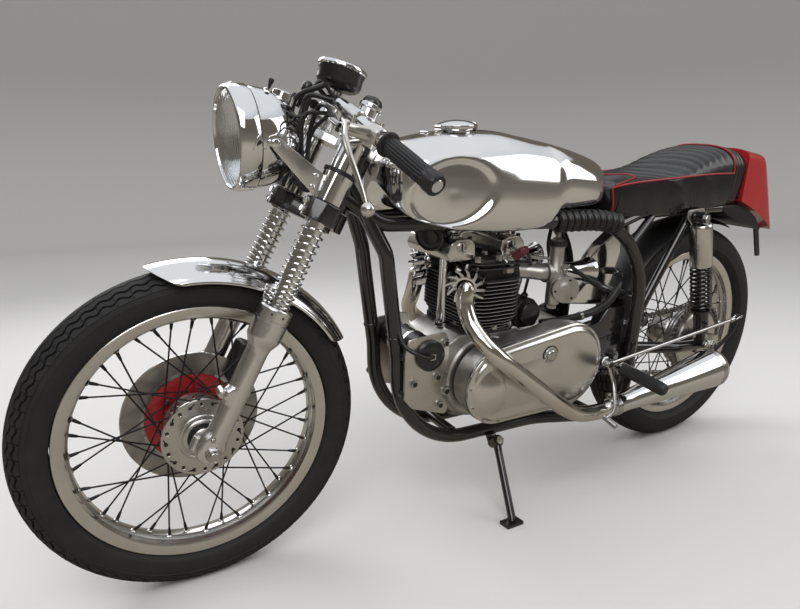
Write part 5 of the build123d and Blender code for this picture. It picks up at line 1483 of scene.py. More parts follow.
@dataclass(frozen=True)
class Instruments:
    """Speedometer on its bracket, the lamp's switches and meter, and the wiring behind the lamp."""

    tilt: float = 10.0
    marks: int = 25
    first_mark: float = 215.0
    mark_sweep: float = 250.0

    @property
    def seat(self) -> Seat:
        """Z out of the dial, X to the left."""
        a = math.radians(self.tilt)
        return Seat(FORK.at(36, 0, 704), FORK.up * math.cos(a) + FORK.ahead * math.sin(a), SIDE)

    def speedometer(self, shop: Workshop) -> None:
        """Black drum, chrome bezel, dial with plain marks, hand, glass and bracket."""
        body, seat = Body.STEERING, self.seat
        drum = [(0.5, -2), (12, -2), (13, 0), (34, 2), (40, 6), (43, 12), (43.5, 14), (43.5, 30), (45, 32),
                (45, 38), (40, 38), (40, 34), (0.5, 34)]
        shop.piece("speedometer_drum", revolve(drum, seat, 80), "dial_black", "speedometer", body=body)
        bezel = [(41, 36), (46, 36), (47.6, 38), (47.6, 42), (46, 44.5), (43, 45), (41.5, 43)]
        shop.piece("speedometer_bezel", revolve(bezel, seat, 80, True), "chrome", body=body)
        shop.piece("speedometer_glass", revolve([(0.5, 43.0), (42, 41), (42, 40), (0.5, 42)], seat, 64),
                   "lamp_glass", body=body)
        marks = []
        for step in range(self.marks):
            turn = math.radians(self.first_mark - step * self.mark_sweep / (self.marks - 1))
            way = np.array([math.cos(turn), math.sin(turn), 0])
            inner = 31 if step % 4 == 0 else 34
            marks.append(bar(seat.put(way * inner + [0, 0, 34.6]), seat.put(way * 37.5 + [0, 0, 34.6]),
                             0.5, 6))
        hand = math.radians(self.first_mark)
        needle = np.array([math.cos(hand), math.sin(hand), 0])
        marks.append(bar(seat.put(-needle * 6 + [0, 0, 36]), seat.put(needle * 33 + [0, 0, 36]), 0.7, 6))
        marks.append(revolve([(4, 35), (4, 37)], seat, 16))
        shop.piece("dial_marks", marks, "dial_white", body=body)
        plate = rounded([(-16, 20), (20, 24), (44, 16), (44, -16), (20, -24), (-16, -20)], 8)
        low = slab(plate, 0, 4, 1).laid_flat().seated(FORK.seat(ahead=2, along=688))
        stalks = [bar(FORK.at(-4, y, 640), FORK.at(-4, y, 690), 5, 16) for y in (-13, 13)]
        studs = [bar(seat.put([y, x, -14]), seat.put([y, x, 0]), 4, 12) for x, y in ((-18, 14), (16, -18))]
        shop.piece("speedometer_bracket", [low] + stalks + studs, "soft_black", body=body)
        nuts = [hex_head(Seat(seat.put([y, x, -8]), seat.z, SIDE), 11, 5)
                for x, y in ((-18, 14), (16, -18))]
        nuts.append(bar(seat.put([0, 0, -20]), seat.put([0, 0, -2]), 7.5, 20))
        shop.piece("speedometer_nuts", nuts, "bright_steel", body=body)

    def lamp_switches(self, shop: Workshop) -> None:
        """Ringed meter, toggle and knob on the headlamp's bowl."""
        body = Body.STEERING
        out = unit((-0.42, 0, 1.0))
        meter = Seat((1236, 0, 950), out, SIDE)
        shop.piece("lamp_meter_ring", revolve([(20, -16), (22, -14), (22, 3), (20, 5), (17, 4), (17, 0)],
                                              meter, 48, True), "chrome", body=body)
        shop.piece("lamp_meter", revolve([(17, -10), (17, 2), (0.5, 2.4)], meter, 36), "dial_black",
                   body=body)
        toggle = Seat((1272, 20, 957), unit((-0.35, 0.1, 1)), SIDE)
        lever = revolve([(2.8, 0), (2.6, 7), (4.0, 13), (5.0, 18), (4.0, 21), (1, 22)], toggle, 20)
        shop.piece("lamp_toggle", lever, "soft_black", body=body)
        shop.piece("lamp_toggle_nut", revolve([(7, -6), (8, -4), (8, 2), (5, 4)], toggle, 6), "chrome",
                   body=body)
        knob = Seat((1205, 6, 946), unit((-0.5, 0.1, 1)), SIDE)
        shape = [(4, -16), (4, 6), (6, 10), (9, 17), (10, 24), (8.5, 31), (4, 35), (0.5, 35.5)]
        shop.piece("lamp_knob", revolve(shape, knob, 28), "dial_black", body=body)

    def wiring(self, shop: Workshop) -> None:
        """Black cables from the bars and the lamp, gathered behind the lamp and down the headstock."""
        skins = []
        for start, over, low, wide in (
            ((60, 70, 668), (96, 36, 650), (58, 34, 560), 4.4),
            ((66, 88, 640), (92, 52, 616), (52, 46, 545), 3.6),
            ((64, -60, 668), (98, -30, 652), (54, -22, 560), 4.0),
            ((76, 40, 690), (104, 10, 640), (60, 8, 550), 5.0),
            ((40, 30, 680), (84, 22, 690), (66, 18, 580), 3.4),
            ((30, -20, 684), (80, -10, 682), (62, -8, 570), 4.2),
            ((90, 60, 622), (100, 30, 600), (50, 30, 530), 3.0),
        ):
            knots = [FORK.at(*start), FORK.at(*over), FORK.at(*low), FORK.at(14, low[1] * 0.6, 506)]
            skins.append(tube(curve_through(knots, 12), wide, 12))
        shop.piece("wiring", skins, "hose_rubber", body=Body.STEERING)

    def build(self, shop: Workshop) -> None:
        """Makes the pieces."""
        self.speedometer(shop)
        self.lamp_switches(shop)
        self.wiring(shop)


@dataclass(frozen=True)
class Controls:
    """Clip-on bars with grips, perches, levers and their cables."""

    start: tuple[float, float, float] = (32.0, 93.5, 660.0)
    end: tuple[float, float, float] = (-56.0, 331.0, 580.0)
    bar_radius: float = 11.0
    grip_span: tuple[float, float] = (0.445, 0.968)
    ribs: int = 9
    facets: int = 6
    perch: float = 0.33
    pivot: tuple[float, float, float] = (62.0, 172.0, 616.0)
    ball: tuple[float, float, float] = (26.0, 300.0, 502.0)

    def spot(self, share: float) -> Points:
        """Point on the left bar, as a share of its length."""
        a, b = np.asarray(self.start), np.asarray(self.end)
        return FORK.at(*(a + (b - a) * share))

    def way(self) -> Points:
        """Direction out along the left bar."""
        return unit(self.spot(1) - self.spot(0))

    def grip(self) -> Skin:
        """Grip: R(t, h) = profile(h) + 1.5 (|cos 9 t|^0.6 - 0.5) on the ribs, + 0.9 (|cos 6 t| - 0.6) at
        the end's facets."""
        low, high = map(self.spot, self.grip_span)
        length = float(np.linalg.norm(high - low))
        profile = np.array([(11.2, 0), (21, 0), (22.5, 1.5), (22.5, 5), (21, 6.5), (16.2, 8), (16, 12),
                            (16.3, 14), (16.8, length * 0.45), (16.6, length - 30), (16, length - 28),
                            (18, length - 25), (18.6, length - 14), (18.4, length - 2),
                            (17, length), (11, length), (10.5, length - 1.5), (0.3, length - 1.5)])
        line = [profile[0]]
        for a, b in zip(profile, profile[1:]):
            parts = max(int((b[1] - a[1]) / 6), 1)
            line += [a + (b - a) * k / parts for k in range(1, parts + 1)]
        line = np.array(line)
        t = ring_angles(108)
        ribbed = ((line[:, 1] > 12) & (line[:, 1] < length - 29))[:, None]
        facet = ((line[:, 1] > length - 26) & (line[:, 1] < length - 1))[:, None]
        radius = line[:, :1] + ribbed * 1.5 * (np.abs(np.cos(self.ribs * t)) ** 0.6 - 0.5)
        radius = radius + facet * 0.9 * (np.abs(np.cos(self.facets * t)) - 0.6)
        return grid(Seat(low, high - low, FORWARD).put(turned(radius, t, line[:, 1:2])))

    def lever(self) -> Skin:
        """Blade from the pivot to the ball: a flattened bar that narrows and bends back."""
        knots = [FORK.at(64, 160, 622), FORK.at(62, 172, 616), FORK.at(67, 205, 594), FORK.at(60, 240, 566),
                 FORK.at(43, 272, 534), FORK.at(29, 296, 506)]
        line = curve_through(knots, 9)
        size = np.interp(np.linspace(0, 1, len(line)), [0, 0.15, 0.4, 0.75, 1], [8, 12, 9.5, 6.5, 5])
        return tube(line, size, 24, 0.5)

    def build(self, shop: Workshop) -> None:
        """Makes the pieces."""
        body, way = Body.STEERING, self.way()
        bars = bar(self.spot(-0.14), self.spot(0.975), self.bar_radius, 32)
        shop.pair("clip_ons", bars, "chrome", "clip_ons", body=body)
        clamp = revolve([(17.2, 638), (25, 638), (26, 640), (26, 664), (25, 666), (17.2, 666)],
                        FORK.seat(left=FORK.leg_y), 48, True)
        block = bar(FORK.at(22, FORK.leg_y - 4, 652), FORK.at(36, FORK.leg_y - 4, 652), 14, 28, 2)
        split = bar(self.spot(-0.02), self.spot(0.12), 16, 32, 2)
        shop.pair("bar_clamps", [clamp, block, split], "fork_alloy", body=body)
        block = bar(self.spot(0.31), self.spot(0.385), 16.5, 28, 2)
        shop.pair("switch_blocks", block, "case_polish", body=body)
        bolts = [hex_head(Seat(FORK.at(12, FORK.leg_y - 24, z), FORK.ahead, SIDE), 10, 14)
                 for z in (645, 659)]
        shop.pair("bar_bolts", bolts, "bright_steel", body=body)
        shop.pair("grips", self.grip(), "grip_rubber", "grips", body=body, sharp=30)
        pivot, perch_spot = FORK.at(*self.pivot), self.spot(self.perch)
        ball = revolve([(0.4, -12), (5, -11), (9, -8), (12, 0), (9, 8), (5, 11), (0.4, 12)],
                       Seat(FORK.at(*self.ball)), 32)
        ring = revolve([(11.3, -12), (16, -12), (17, -10), (17, 10), (16, 12), (11.3, 12)],
                       Seat(perch_spot, way, UPWARD), 40, True)
        arm = tube(curve_through([perch_spot, (perch_spot + pivot) / 2 + [4, -3, 0], pivot], 8),
                   np.linspace(13, 10, 17), 20, 0.62)
        web = tube(curve_through([self.spot(0.24), self.spot(0.3) + FORK.ahead * 14 - FORK.up * 20,
                                  FORK.at(58, 178, 590)], 8),
                   np.linspace(10, 4, 17), 18, 0.5)
        shop.pair("hand_levers", [self.lever(), ball, ring, arm, web], "case_polish", "hand_levers",
                  body=body)
        head = [bar(pivot - FORK.up * 9, pivot + FORK.up * 9, 6.5, 20, 1),
                hex_head(Seat(pivot + FORK.up * 9, FORK.up, SIDE), 11, 4),
                bar(perch_spot + FORK.up * 10 - FORK.ahead * 2, perch_spot + FORK.up * 22, 4, 14)]
        shop.pair("lever_pins", head, "bright_steel", body=body)
        nipple = bar(pivot + [4, -12, 3], pivot + [8, -34, 12], 5.5, 18)
        shop.pair("cable_adjusters", nipple, "bright_steel", body=body)
        sheath = tube(curve_through([pivot + [7, -30, 12], FORK.at(86, 118, 642), FORK.at(80, 70, 640),
                                     FORK.at(64, 44, 596), FORK.at(40, 46, 536), FORK.at(34, 52, 500)],
                                    10), 4.2, 14)
        shop.pair("lever_cables", sheath, "hose_rubber", body=body)


def ease(x: Points | float, xs: Sequence[float], ys: Sequence[float]) -> Points:
    """Smooth curve through knots (cubic with averaged slopes), read at x; xs rise."""
    xs, ys = np.asarray(xs, float), np.asarray(ys, float)
    step = np.diff(xs)
    slope = np.diff(ys) / step
    way = np.concatenate([[slope[0]], np.where(slope[1:] * slope[:-1] > 0,
                                               2 * slope[1:] * slope[:-1] / (slope[1:] + slope[:-1] + 1e-12),
                                               0), [slope[-1]]])
    x = np.clip(np.asarray(x, float), xs[0], xs[-1])
    i = np.clip(np.searchsorted(xs, x) - 1, 0, len(step) - 1)
    t = (x - xs[i]) / step[i]
    h = step[i]
    return (ys[i] * (1 + 2 * t) * (1 - t) ** 2 + ys[i + 1] * t**2 * (3 - 2 * t)
            + h * way[i] * t * (1 - t) ** 2 - h * way[i + 1] * t**2 * (1 - t))


@dataclass(frozen=True)
class FuelTank:
    """Polished teardrop tank with knee recesses, a stepped rear corner, a cap and a strap."""

    rear: float = 447.0
    nose: float = 1048.0
    recess: tuple[float, float] = (922.0, 779.0)
    recess_radii: tuple[float, float] = (90.0, 63.0)
    recess_depth: float = 17.0
    strap_bow: float = 0.0022

    def half(self, x: Points) -> Points:
        """Half width along the machine, drawn to round ends."""
        return ease(x, [447, 451, 460, 476, 500, 540, 590, 660, 760, 850, 920, 970, 1004, 1026, 1040, 1048],
                    [26, 50, 73, 93, 112, 124, 130, 133, 134, 132, 126, 118, 104, 84, 56, 14])

    def top(self, x: Points) -> Points:
        """Height of the crown."""
        return ease(x, [447, 456, 484, 530, 600, 670, 786, 891, 989, 1022, 1040, 1048],
                    [822, 834, 847, 861, 877, 889, 902, 897, 880, 862, 838, 808])

    def low(self, x: Points) -> Points:
        """Height of the lower edge, with the step above the ribbed sleeve."""
        return ease(x, [447, 460, 500, 620, 640, 660, 700, 760, 893, 960, 1005, 1034, 1048],
                    [792, 764, 746, 744, 734, 708, 700, 697, 704, 716, 730, 756, 794])

    def skin(self) -> Skin:
        """Section (y, z) = half width times a fixed outline, less the recess's smooth dish."""
        s = np.linspace(0, 1, 150)
        x = self.rear + (self.nose - self.rear) * (0.5 - 0.5 * np.cos(math.pi * s)) ** 0.92
        knots = np.array([
            (0, 1), (0.2, 0.992), (0.42, 0.95), (0.63, 0.85), (0.81, 0.67), (0.93, 0.43), (0.985, 0.2),
            (1.0, 0.0), (0.99, -0.35), (0.965, -0.68), (0.92, -0.92), (0.87, -1.0), (0.82, -0.93),
            (0.78, -0.86), (0.60, -0.80), (0.3, -0.78), (0, -0.78),
        ])
        side = curve_through(knots, 6)
        y_share = np.concatenate([side[:, 0], -side[::-1, 0][1:-1]])
        z_share = np.concatenate([side[:, 1], side[::-1, 1][1:-1]])
        top, low, half = (f(x)[:, None] for f in (self.top, self.low, self.half))
        belt_line = low + 0.36 * (top - low)
        y = half * y_share
        z = belt_line + np.where(z_share > 0, (top - belt_line) * z_share, (belt_line - low) * z_share)
        far = np.hypot((x[:, None] - self.recess[0]) / self.recess_radii[0],
                       (z - self.recess[1] - 0.12 * (self.recess[0] - x[:, None])) / self.recess_radii[1])
        dish = 1 / (1 + np.exp((far - 1) / 0.035)) * (0.72 + 0.28 * np.clip(1 - far, 0, 1))
        outer = np.clip((np.abs(y_share) - 0.55) / 0.25, 0, 1) * (z_share > -0.95)
        y = y - np.sign(y) * self.recess_depth * dish * outer
        rows = np.stack([np.repeat(x[:, None], len(y_share), 1), y, z], -1)
        return grid(rows)

    def strap(self, start: float, end: float, half: float, lift: float) -> Skin:
        """Band over the crown between two places."""
        x = np.linspace(start, end, 40)[:, None]
        y = np.linspace(-half, half, 7)[None]
        z = self.top(x) + lift - self.strap_bow * y**2
        upper, lower = (np.stack(np.broadcast_arrays(x, y, z - drop), -1) for drop in (0, 1.8))
        return sheet(upper, lower)

    def cap(self, shop: Workshop) -> None:
        """Neck, hinged lid and latch."""
        seat = Seat((850, 0, 893), unit((0.06, 0, 1)), FORWARD)
        neck = revolve([(36, -12), (36, 8), (38, 9.5), (42, 10), (43, 12), (43, 14)], seat, 64)
        lid = revolve([(43, 13.6), (45.5, 14), (46.2, 16), (45.5, 18.5), (40, 22), (28, 26.5), (14, 29),
                       (0.5, 30)], seat, 72)
        hinge = bar(seat.put([43, -11, 15]), seat.put([43, 11, 15]), 6, 18)
        latch = tube(curve_through([seat.put([-40, 0, 20]), seat.put([-49, 0, 19]), seat.put([-52, 0, 8])],
                                   6), 5, 14, 0.7)
        knuckle = bar(seat.put([-46, -9, 13]), seat.put([-46, 9, 13]), 4.5, 16)
        shop.piece("filler_cap", [neck, lid, hinge, latch, knuckle], "chrome", "filler_cap")

    def build(self, shop: Workshop) -> None:
        """Makes the pieces."""
        shop.piece("fuel_tank", self.skin(), "tank_alloy", "fuel_tank", sharp=60)
        shop.piece("tank_strap_front", self.strap(893, 1022, 13, 1.6), "chrome")
        shop.piece("tank_strap_rear", self.strap(462, 806, 11, 1.4), "soft_black")
        buckle = bar((930, -15, self.top(930.0) + 2), (930, 15, self.top(930.0) + 2), 3.2, 12)
        shop.piece("strap_buckle", buckle, "chrome")
        self.cap(shop)


@dataclass(frozen=True)
class SeatPad:
    """Pleated seat with a concave front, a rising hump, red piping and a ribbed cuff."""

    rear: float = 10.0
    nose: float = 468.0
    notch: float = 290.0
    pleats: int = 17
    cord: float = 2.6
    frames: int = 20
    reach: float = 5.0
    pressure: float = 4.0

    def front(self, y: Points) -> Points:
        """Place of the front edge: deepest at the middle, where the tank's end sits."""
        return self.notch + (self.nose - self.notch) * np.clip(np.abs(y) / 106, 0, 1) ** 2.2

    def half(self, x: Points) -> Points:
        """Half width at the piping."""
        return ease(x, [-70, 10, 240, 380, 440, 468], [106, 115, 116, 112, 107, 100])

    def edge(self, x: Points) -> Points:
        """Height of the side piping."""
        return ease(x, [-70, 10, 76, 240, 388, 439, 468], [817, 815, 814, 805, 794, 787, 780])

    def crown(self, x: Points) -> Points:
        """Height of the middle."""
        return ease(x, [-70, -20, 0, 51, 132, 170, 207, 260, 319, 468],
                    [876, 885, 885, 880, 857, 838, 822, 808, 799, 786])

    def base(self, x: Points) -> Points:
        """Height of the lower edge."""
        return ease(x, [-70, 0, 125, 323, 416, 468], [738, 732, 722, 714, 712, 718])

    def over(self, x: Points, share: Points) -> Points:
        """Height over the top: edge + rise (1 - |share|^n)^(1/n), with n rising over the hump."""
        n = ease(x, [-70, 10, 120, 220, 468], [2.8, 2.8, 2.5, 2.2, 2.2])
        rise = np.maximum(self.crown(x) - self.edge(x), 0)
        return self.edge(x) + rise * np.clip(1 - np.abs(share) ** n, 0, 1) ** (1 / n)

    def phase(self, x: Points) -> Points:
        """|sin| along the pleats: zero at each stitched line, 1 midway between two."""
        return np.abs(np.sin(self.pleats * math.pi * (x - self.rear) / (self.nose - self.rear)))

    def skin(self) -> Skin:
        """Grid of place along by place round: base, side wall, pleated top, side wall, base."""
        s = np.linspace(0, 1, 190)[:, None]
        top = np.linspace(1, -1, 61)[None]
        across = np.sign(top) * (1 - (1 - np.abs(top)) ** 1.25)
        y0 = across * 108
        x = self.front(y0) * s + self.rear * (1 - s)
        y = across * self.half(x)
        z = self.over(x, across)
        depth = 4.4 * self.phase(x) ** 0.42
        calm = np.clip((1 - np.abs(across)) / 0.06, 0, 1)
        z = z + (depth - 3.6) * calm
        top_rows = np.stack([x, y, z], -1)
        wall_share = np.linspace(0, 1, 16)[None, 1:]
        edge_x = top_rows[:, :1, 0]
        fold = self.folds(edge_x, wall_share)
        wall_y = self.half(edge_x) + 3.0 * np.sin(math.pi * wall_share) - 8 * wall_share**2 + fold
        wall_z = top_rows[:, :1, 2] + (self.base(edge_x) - top_rows[:, :1, 2]) * wall_share
        wall = np.stack([edge_x - 14 * wall_share * (edge_x > 440) + 0 * wall_z, wall_y, wall_z], -1)
        return grid(np.concatenate([wall[:, ::-1], top_rows, wall * [1, -1, 1]], axis=1))

    def folds(self, x: Points, drop: Points) -> Points:
        """Slack creases of the side: slanted waves that fade at the piping and at the base."""
        slant = x + 46 * drop
        wave = np.sin(slant / 17.0 + 1.2 * np.sin(slant / 61.0)) + 0.5 * np.sin(slant / 9.5 + 3 * drop)
        place = np.exp(-(((x - 190) / 130) ** 2))
        return 3.0 * wave * place * np.sin(math.pi * drop) ** 1.2

    def held(self, points: Points) -> Points:
        """Numbers of the points that a seam holds: pleats, piping, base, front and rear edges."""
        x, y, z = points.T
        phase = self.phase(x)
        share = np.abs(y) / self.half(x)
        top = (z > self.edge(x) - 6) & (share < 1.0)
        seam = top & ((phase < 0.16) | (share > 0.95))
        ends = (x < self.rear + 1) | (np.abs(x - self.front(y)) < 2.5)
        return np.flatnonzero(seam | ends | (z < self.base(x) + 6))

    def swell(self, pad: bpy.types.Object, parked: Parked) -> None:
        """Blows the stitched cover up as cloth under pressure, held at its seams.

        No point moves further than `reach`, so the pad stays in the space its solid holds.

        Args:
            pad: The closed pad, in the scene.
            parked: Where the machine stands.
        """
        scene = bpy.context.scene
        before = np.empty(len(pad.data.vertices) * 3, np.float32)
        pad.data.vertices.foreach_get("co", before)
        seams = self.held(parked.upright(before.reshape(-1, 3)))
        group = pad.vertex_groups.new(name="seams")
        group.add(seams.tolist(), 1.0, "REPLACE")
        cloth = pad.modifiers.new("cover", "CLOTH")
        cloth.settings.use_pressure = True
        cloth.settings.uniform_pressure_force = self.pressure
        cloth.settings.vertex_group_mass = group.name
        cloth.settings.effector_weights.gravity = 0.0
        cloth.collision_settings.use_collision = False
        cloth.point_cache.frame_end = self.frames
        for frame in range(1, self.frames + 1):
            scene.frame_set(frame)
        blown = pad.evaluated_get(bpy.context.evaluated_depsgraph_get())
        after = np.empty_like(before)
        blown.data.vertices.foreach_get("co", after)
        move = (after - before).reshape(-1, 3)
        far = np.linalg.norm(move, axis=1, keepdims=True)
        log.info("seat cover: cloth moved up to %.1f mm, %d points held", far.max() / MM, len(seams))
        move *= np.minimum(1, self.reach * MM / np.maximum(far, 1e-9))
        pad.modifiers.remove(cloth)
        pad.vertex_groups.remove(group)
        scene.frame_set(1)
        pad.data.vertices.foreach_set("co", before + move.ravel())
        pad.data.update()

    def piping(self) -> Skin:
        """Red cord along both edges, over the hump and round the notch."""
        x = np.linspace(self.rear, 462, 60)
        side = np.stack([x, self.half(x) + 1, self.edge(x) + 1], -1)
        share = np.sin(np.linspace(-math.pi / 2, math.pi / 2, 41))
        arch_x = np.full_like(share, self.rear - 1)
        arch = np.stack([arch_x, share * self.half(arch_x), self.over(arch_x, share) + 1.5], -1)
        y = np.linspace(-100, 100, 50)
        bow = np.stack([self.front(y) + 1, y, self.over(self.front(y), y / self.half(self.rear)) + 1.5], -1)
        down = np.array([(466, 107.5, 782), (462, 108, 765), (455, 106, 740), (452, 102, 718)])
        lines = [side, side * [1, -1, 1], arch, bow, down, down * [1, -1, 1]]
        return join([tube(line, self.cord, 10) for line in lines])

    def cuff(self) -> Skin:
        """Ribbed band behind the hump: rings of the hump's outline that shrink and swell."""
        s = np.linspace(0, 1, 46)[:, None]
        a = np.linspace(0, 1, 90)[None]
        share = np.cos(math.pi * np.clip((a - 0.16) / 0.68, 0, 1))
        x = self.rear - 2 - (64 + 10 * np.abs(share) ** 3) * s
        swell = 3.0 * np.abs(np.sin(4 * math.pi * s)) ** 0.6 - 5.0 * s
        y = share * (self.half(x) + swell)
        z = self.over(x, share * 0.995) + swell * np.sqrt(1 - share**2)
        drop = np.clip((0.16 - a) / 0.16, 0, 1) + np.clip((a - 0.84) / 0.16, 0, 1)
        z = z + (self.base(x) + 4 - z) * drop
        y = y - np.sign(y) * 8 * drop**2
        return grid(np.stack([x, y, z], -1))

    def build(self, shop: Workshop) -> None:
        """Makes the pieces."""
        pad = shop.piece("seat_pad", self.skin(), "seat_vinyl", "seat_pad", sharp=70)
        self.swell(pad, shop.parked)
        shop.piece("seat_cuff", self.cuff(), "seat_vinyl", sharp=70)
        shop.piece("seat_piping", self.piping(), "piping_red")
        studs = [dome_head(Seat((x, float(self.half(x)) - 5.2, z)), 4, 1.8)
                 for x, z in ((405, 722), (330, 722), (245, 726), (160, 730), (80, 735), (0, 742),
                              (-50, 752))]
        shop.pair("seat_studs", studs, "soft_black")


@dataclass(frozen=True)
class Tail:
    """Red shell behind the seat's cuff, with a lid-like top, rounded corners and an arched edge."""

    front: float = -56.0
    rear_top: float = -140.0
    rear_low: float = -252.0
    edge: float = 838.0
    crown: float = 881.0
    tip_z: float = 648.0
    half: float = 112.0
    roundness: float = 4.6

    def skin(self) -> Skin:
        """Grid of place along by place round; the back leans outwards to its lower tips.

        Across the top z = edge + rise (1 - |share|^n)^(1/n), with n the roundness.
        """
        s = np.linspace(0, 1, 60)[:, None]
        a = np.linspace(0, 1, 120)[None]
        share = np.cos(math.pi * np.clip((a - 0.2) / 0.6, 0, 1))
        drop = np.clip((0.2 - a) / 0.2, 0, 1) + np.clip((a - 0.8) / 0.2, 0, 1)
        arch = np.clip(1 - np.abs(share) ** self.roundness, 0, 1) ** (1 / self.roundness)
        depth = 0.5 - 0.5 * np.cos(math.pi * s)
        top_z = self.edge + (self.crown - self.edge) * arch - 12 * depth
        low_z = ease(depth.ravel(), [0, 0.25, 0.5, 0.75, 1], [738, 724, 706, 680, self.tip_z])[:, None]
        z = top_z + (low_z - top_z) * drop
        fall = np.clip((self.crown - z) / (self.crown - self.tip_z), 0, 1) ** 0.92
        x = self.front + (self.rear_top + (self.rear_low - self.rear_top) * fall - self.front) * depth
        squeeze = np.sqrt(np.clip(1 - depth**7, 0, 1)) * 0.12 + 0.88
        y = np.where(drop > 0, np.sign(share), share) * (self.half - 4 * depth) * squeeze
        return grid(np.stack([x, y, z], -1))

    def build(self, shop: Workshop) -> None:
        """Makes the shell, the undertray and the hanging strip."""
        shop.piece("tail_unit", self.skin(), "tail_red", "tail_unit", sharp=45)
        tray = slab(rounded([(24, 724), (-60, 728), (-117, 712), (-160, 688), (-200, 646), (-176, 656),
                             (-120, 668), (-20, 700)], 6), -101, 101, 2)
        shop.piece("undertray", tray, "soft_black")
        strip = slab(rounded([(-222, 690), (-246, 690), (-300, 556), (-278, 556)], 4), 52, 57, 1)
        shop.piece("mud_strip", strip, "grip_rubber")


@dataclass(frozen=True)
class TopEnd:
    """Finned barrels, head, rocker boxes, pushrod tubes and plugs."""

    x: float = 783.0
    low: float = 466.0
    fins: int = 14
    pitch: float = 8.4
    fin_sheet: float = 2.6
    reach: float = 78.0
    bore_y: float = 36.0
    head_low: float = 588.0
    head_top: float = 632.0
    box_half: float = 84.0

    def fin_outline(self, reach: float, corner: float = 52.0) -> Points:
        """Plan of one fin: a rectangle round both bores with large corner arcs."""
        long, wide = self.bore_y + reach, reach
        return rounded([(-wide, -long), (wide, -long), (wide, long), (-wide, long)], corner, 12)

    def plate(self, outline: Points, low: float, high: float, edge: float) -> Skin:
        """Flat plate with rounded rims, lying level, centred on the barrels."""
        rows = []
        for amount, z in ((edge, low), (0, low + edge), (0, high - edge), (edge, high)):
            flat = inset(outline, amount)
            rows.append(np.column_stack([flat[:, 0] + self.x, flat[:, 1], np.full(len(flat), z)]))
        return grid(np.array(rows))

    def barrels(self, shop: Workshop) -> None:
        """Black fins with worn bright rims round a dark core, on a bolted flange."""
        fins, rims = [], []
        for level in range(self.fins):
            z = self.low + 8 + level * self.pitch
            reach = self.reach - (3 - level) * 4 if level < 3 else self.reach
            fins.append(self.plate(self.fin_outline(reach), z, z + self.fin_sheet, 0.9))
            rims.append(self.plate(self.fin_outline(reach + 0.35), z + 0.85, z + 1.75, 0.3))
        core = self.plate(self.fin_outline(56, 40), self.low - 1, self.head_low, 0.5)
        shop.piece("cylinder_barrels", fins + [core], "barrel_black", "cylinder_barrels", sharp=50)
        shop.piece("fin_rims", rims, "fin_edge", sharp=50)
        flange = self.plate(self.fin_outline(66, 30), self.low - 2, self.low + 6, 1)
        spots = ((-50, 88), (0, 98), (50, 88), (62, 36), (-62, 36))
        nuts = [hex_head(Seat((self.x + px, py * side * 0.99, self.low + 6), UPWARD), 14, 9)
                for px, py in spots for side in (1, -1)]
        shop.piece("barrel_flange", flange, "barrel_black")
        shop.piece("barrel_nuts", nuts, "bright_steel")

    def head(self, shop: Workshop) -> None:
        """Black head: two wide fins, a core, ports, plug blocks and studs."""
        fins = [self.plate(self.fin_outline(self.reach - 4, 42), z, z + 3.0, 1.2) for z in (612, 622)]
        core = self.plate(self.fin_outline(60, 34), self.head_low, self.head_top, 1)
        ports = [bar((self.x + 30, 56 * s, 602), (self.x + 66, 76 * s, 596), 25, 36, 2) for s in (1, -1)]
        ports += [bar((self.x - 40, 52 * s, 592), (self.x - 92, 52 * s, 588), 19, 36, 2) for s in (1, -1)]
        shop.piece("cylinder_head", [*fins, core, *ports], "barrel_black", "cylinder_head", sharp=45)
        block = slab(rounded([(736, 596), (772, 596), (772, 634), (736, 634)], 5), 58, 96, 3)
        shop.pair("plug_blocks", block, "cast_alloy")
        studs = [hex_head(Seat((self.x + px, py, self.head_top - 2), UPWARD), 13, 12)
                 for px in (-58, 0, 58) for py in (96, 44, -44, -96)]
        shop.piece("head_nuts", studs, "bright_steel")

    def rockers(self, shop: Workshop) -> None:
        """Two rocker boxes with side plugs, lids, slotted caps whose slots are black bars of painted shade,
        and oil pipes.
        """
        boxes, plugs, caps = [], [], []
        front = [(838, 632), (904, 632), (912, 648), (902, 672), (884, 680), (856, 680), (840, 668)]
        rear = [(704, 640), (760, 632), (770, 650), (766, 672), (752, 680), (718, 680), (702, 664)]
        for outline, plug_x in ((front, 876), (rear, 741)):
            boxes.append(slab(rounded(outline, 11, 6), -self.box_half, self.box_half, 3))
            for side in (1, -1):
                seat = Seat((plug_x, (self.box_half - 0.5) * side, 662), (0, side, 0), UPWARD)
                plugs.append(revolve([(12.5, 0), (12.5, 2), (11, 3.2), (9.6, 3.2), (9.2, 1.4), (0.5, 1.4)],
                                     seat, 32))
                # Black bar across the side plug's face: painted shade of its slot.
                caps.append(bar(seat.put([-8, 0, 2.0]), seat.put([8, 0, 2.0]), 1.3, 8))
                for across in (52, 18):
                    top = Seat((plug_x, across * side, 678), UPWARD)
                    plugs.append(revolve([(16, -2), (17, 1), (17, 6), (15, 8), (8, 8.6), (0.5, 8.6)],
                                         top, 36))
                    # Black bar across the lid: painted shade of its slot.
                    caps.append(bar((plug_x - 10, across * side, 687), (plug_x + 10, across * side, 687),
                                    1.8, 8))
                for shift in (-26, 24):
                    caps.append(hex_head(Seat((plug_x + shift, 74 * side, 676), UPWARD), 9, 7))
        shop.piece("rocker_boxes", boxes, "case_polish", "rocker_boxes", sharp=40)
        shop.piece("rocker_plugs", plugs, "bright_steel")
        shop.piece("rocker_slot_shades_and_nuts", caps, "soft_black")
        pipe = route([(876, 76, 684), (876, 76, 694), (808, 78, 698), (741, 76, 694), (741, 76, 684)],
                     [8, 60, 8])
        shop.pair("oil_feed", tube(pipe, 3, 12), "chrome")

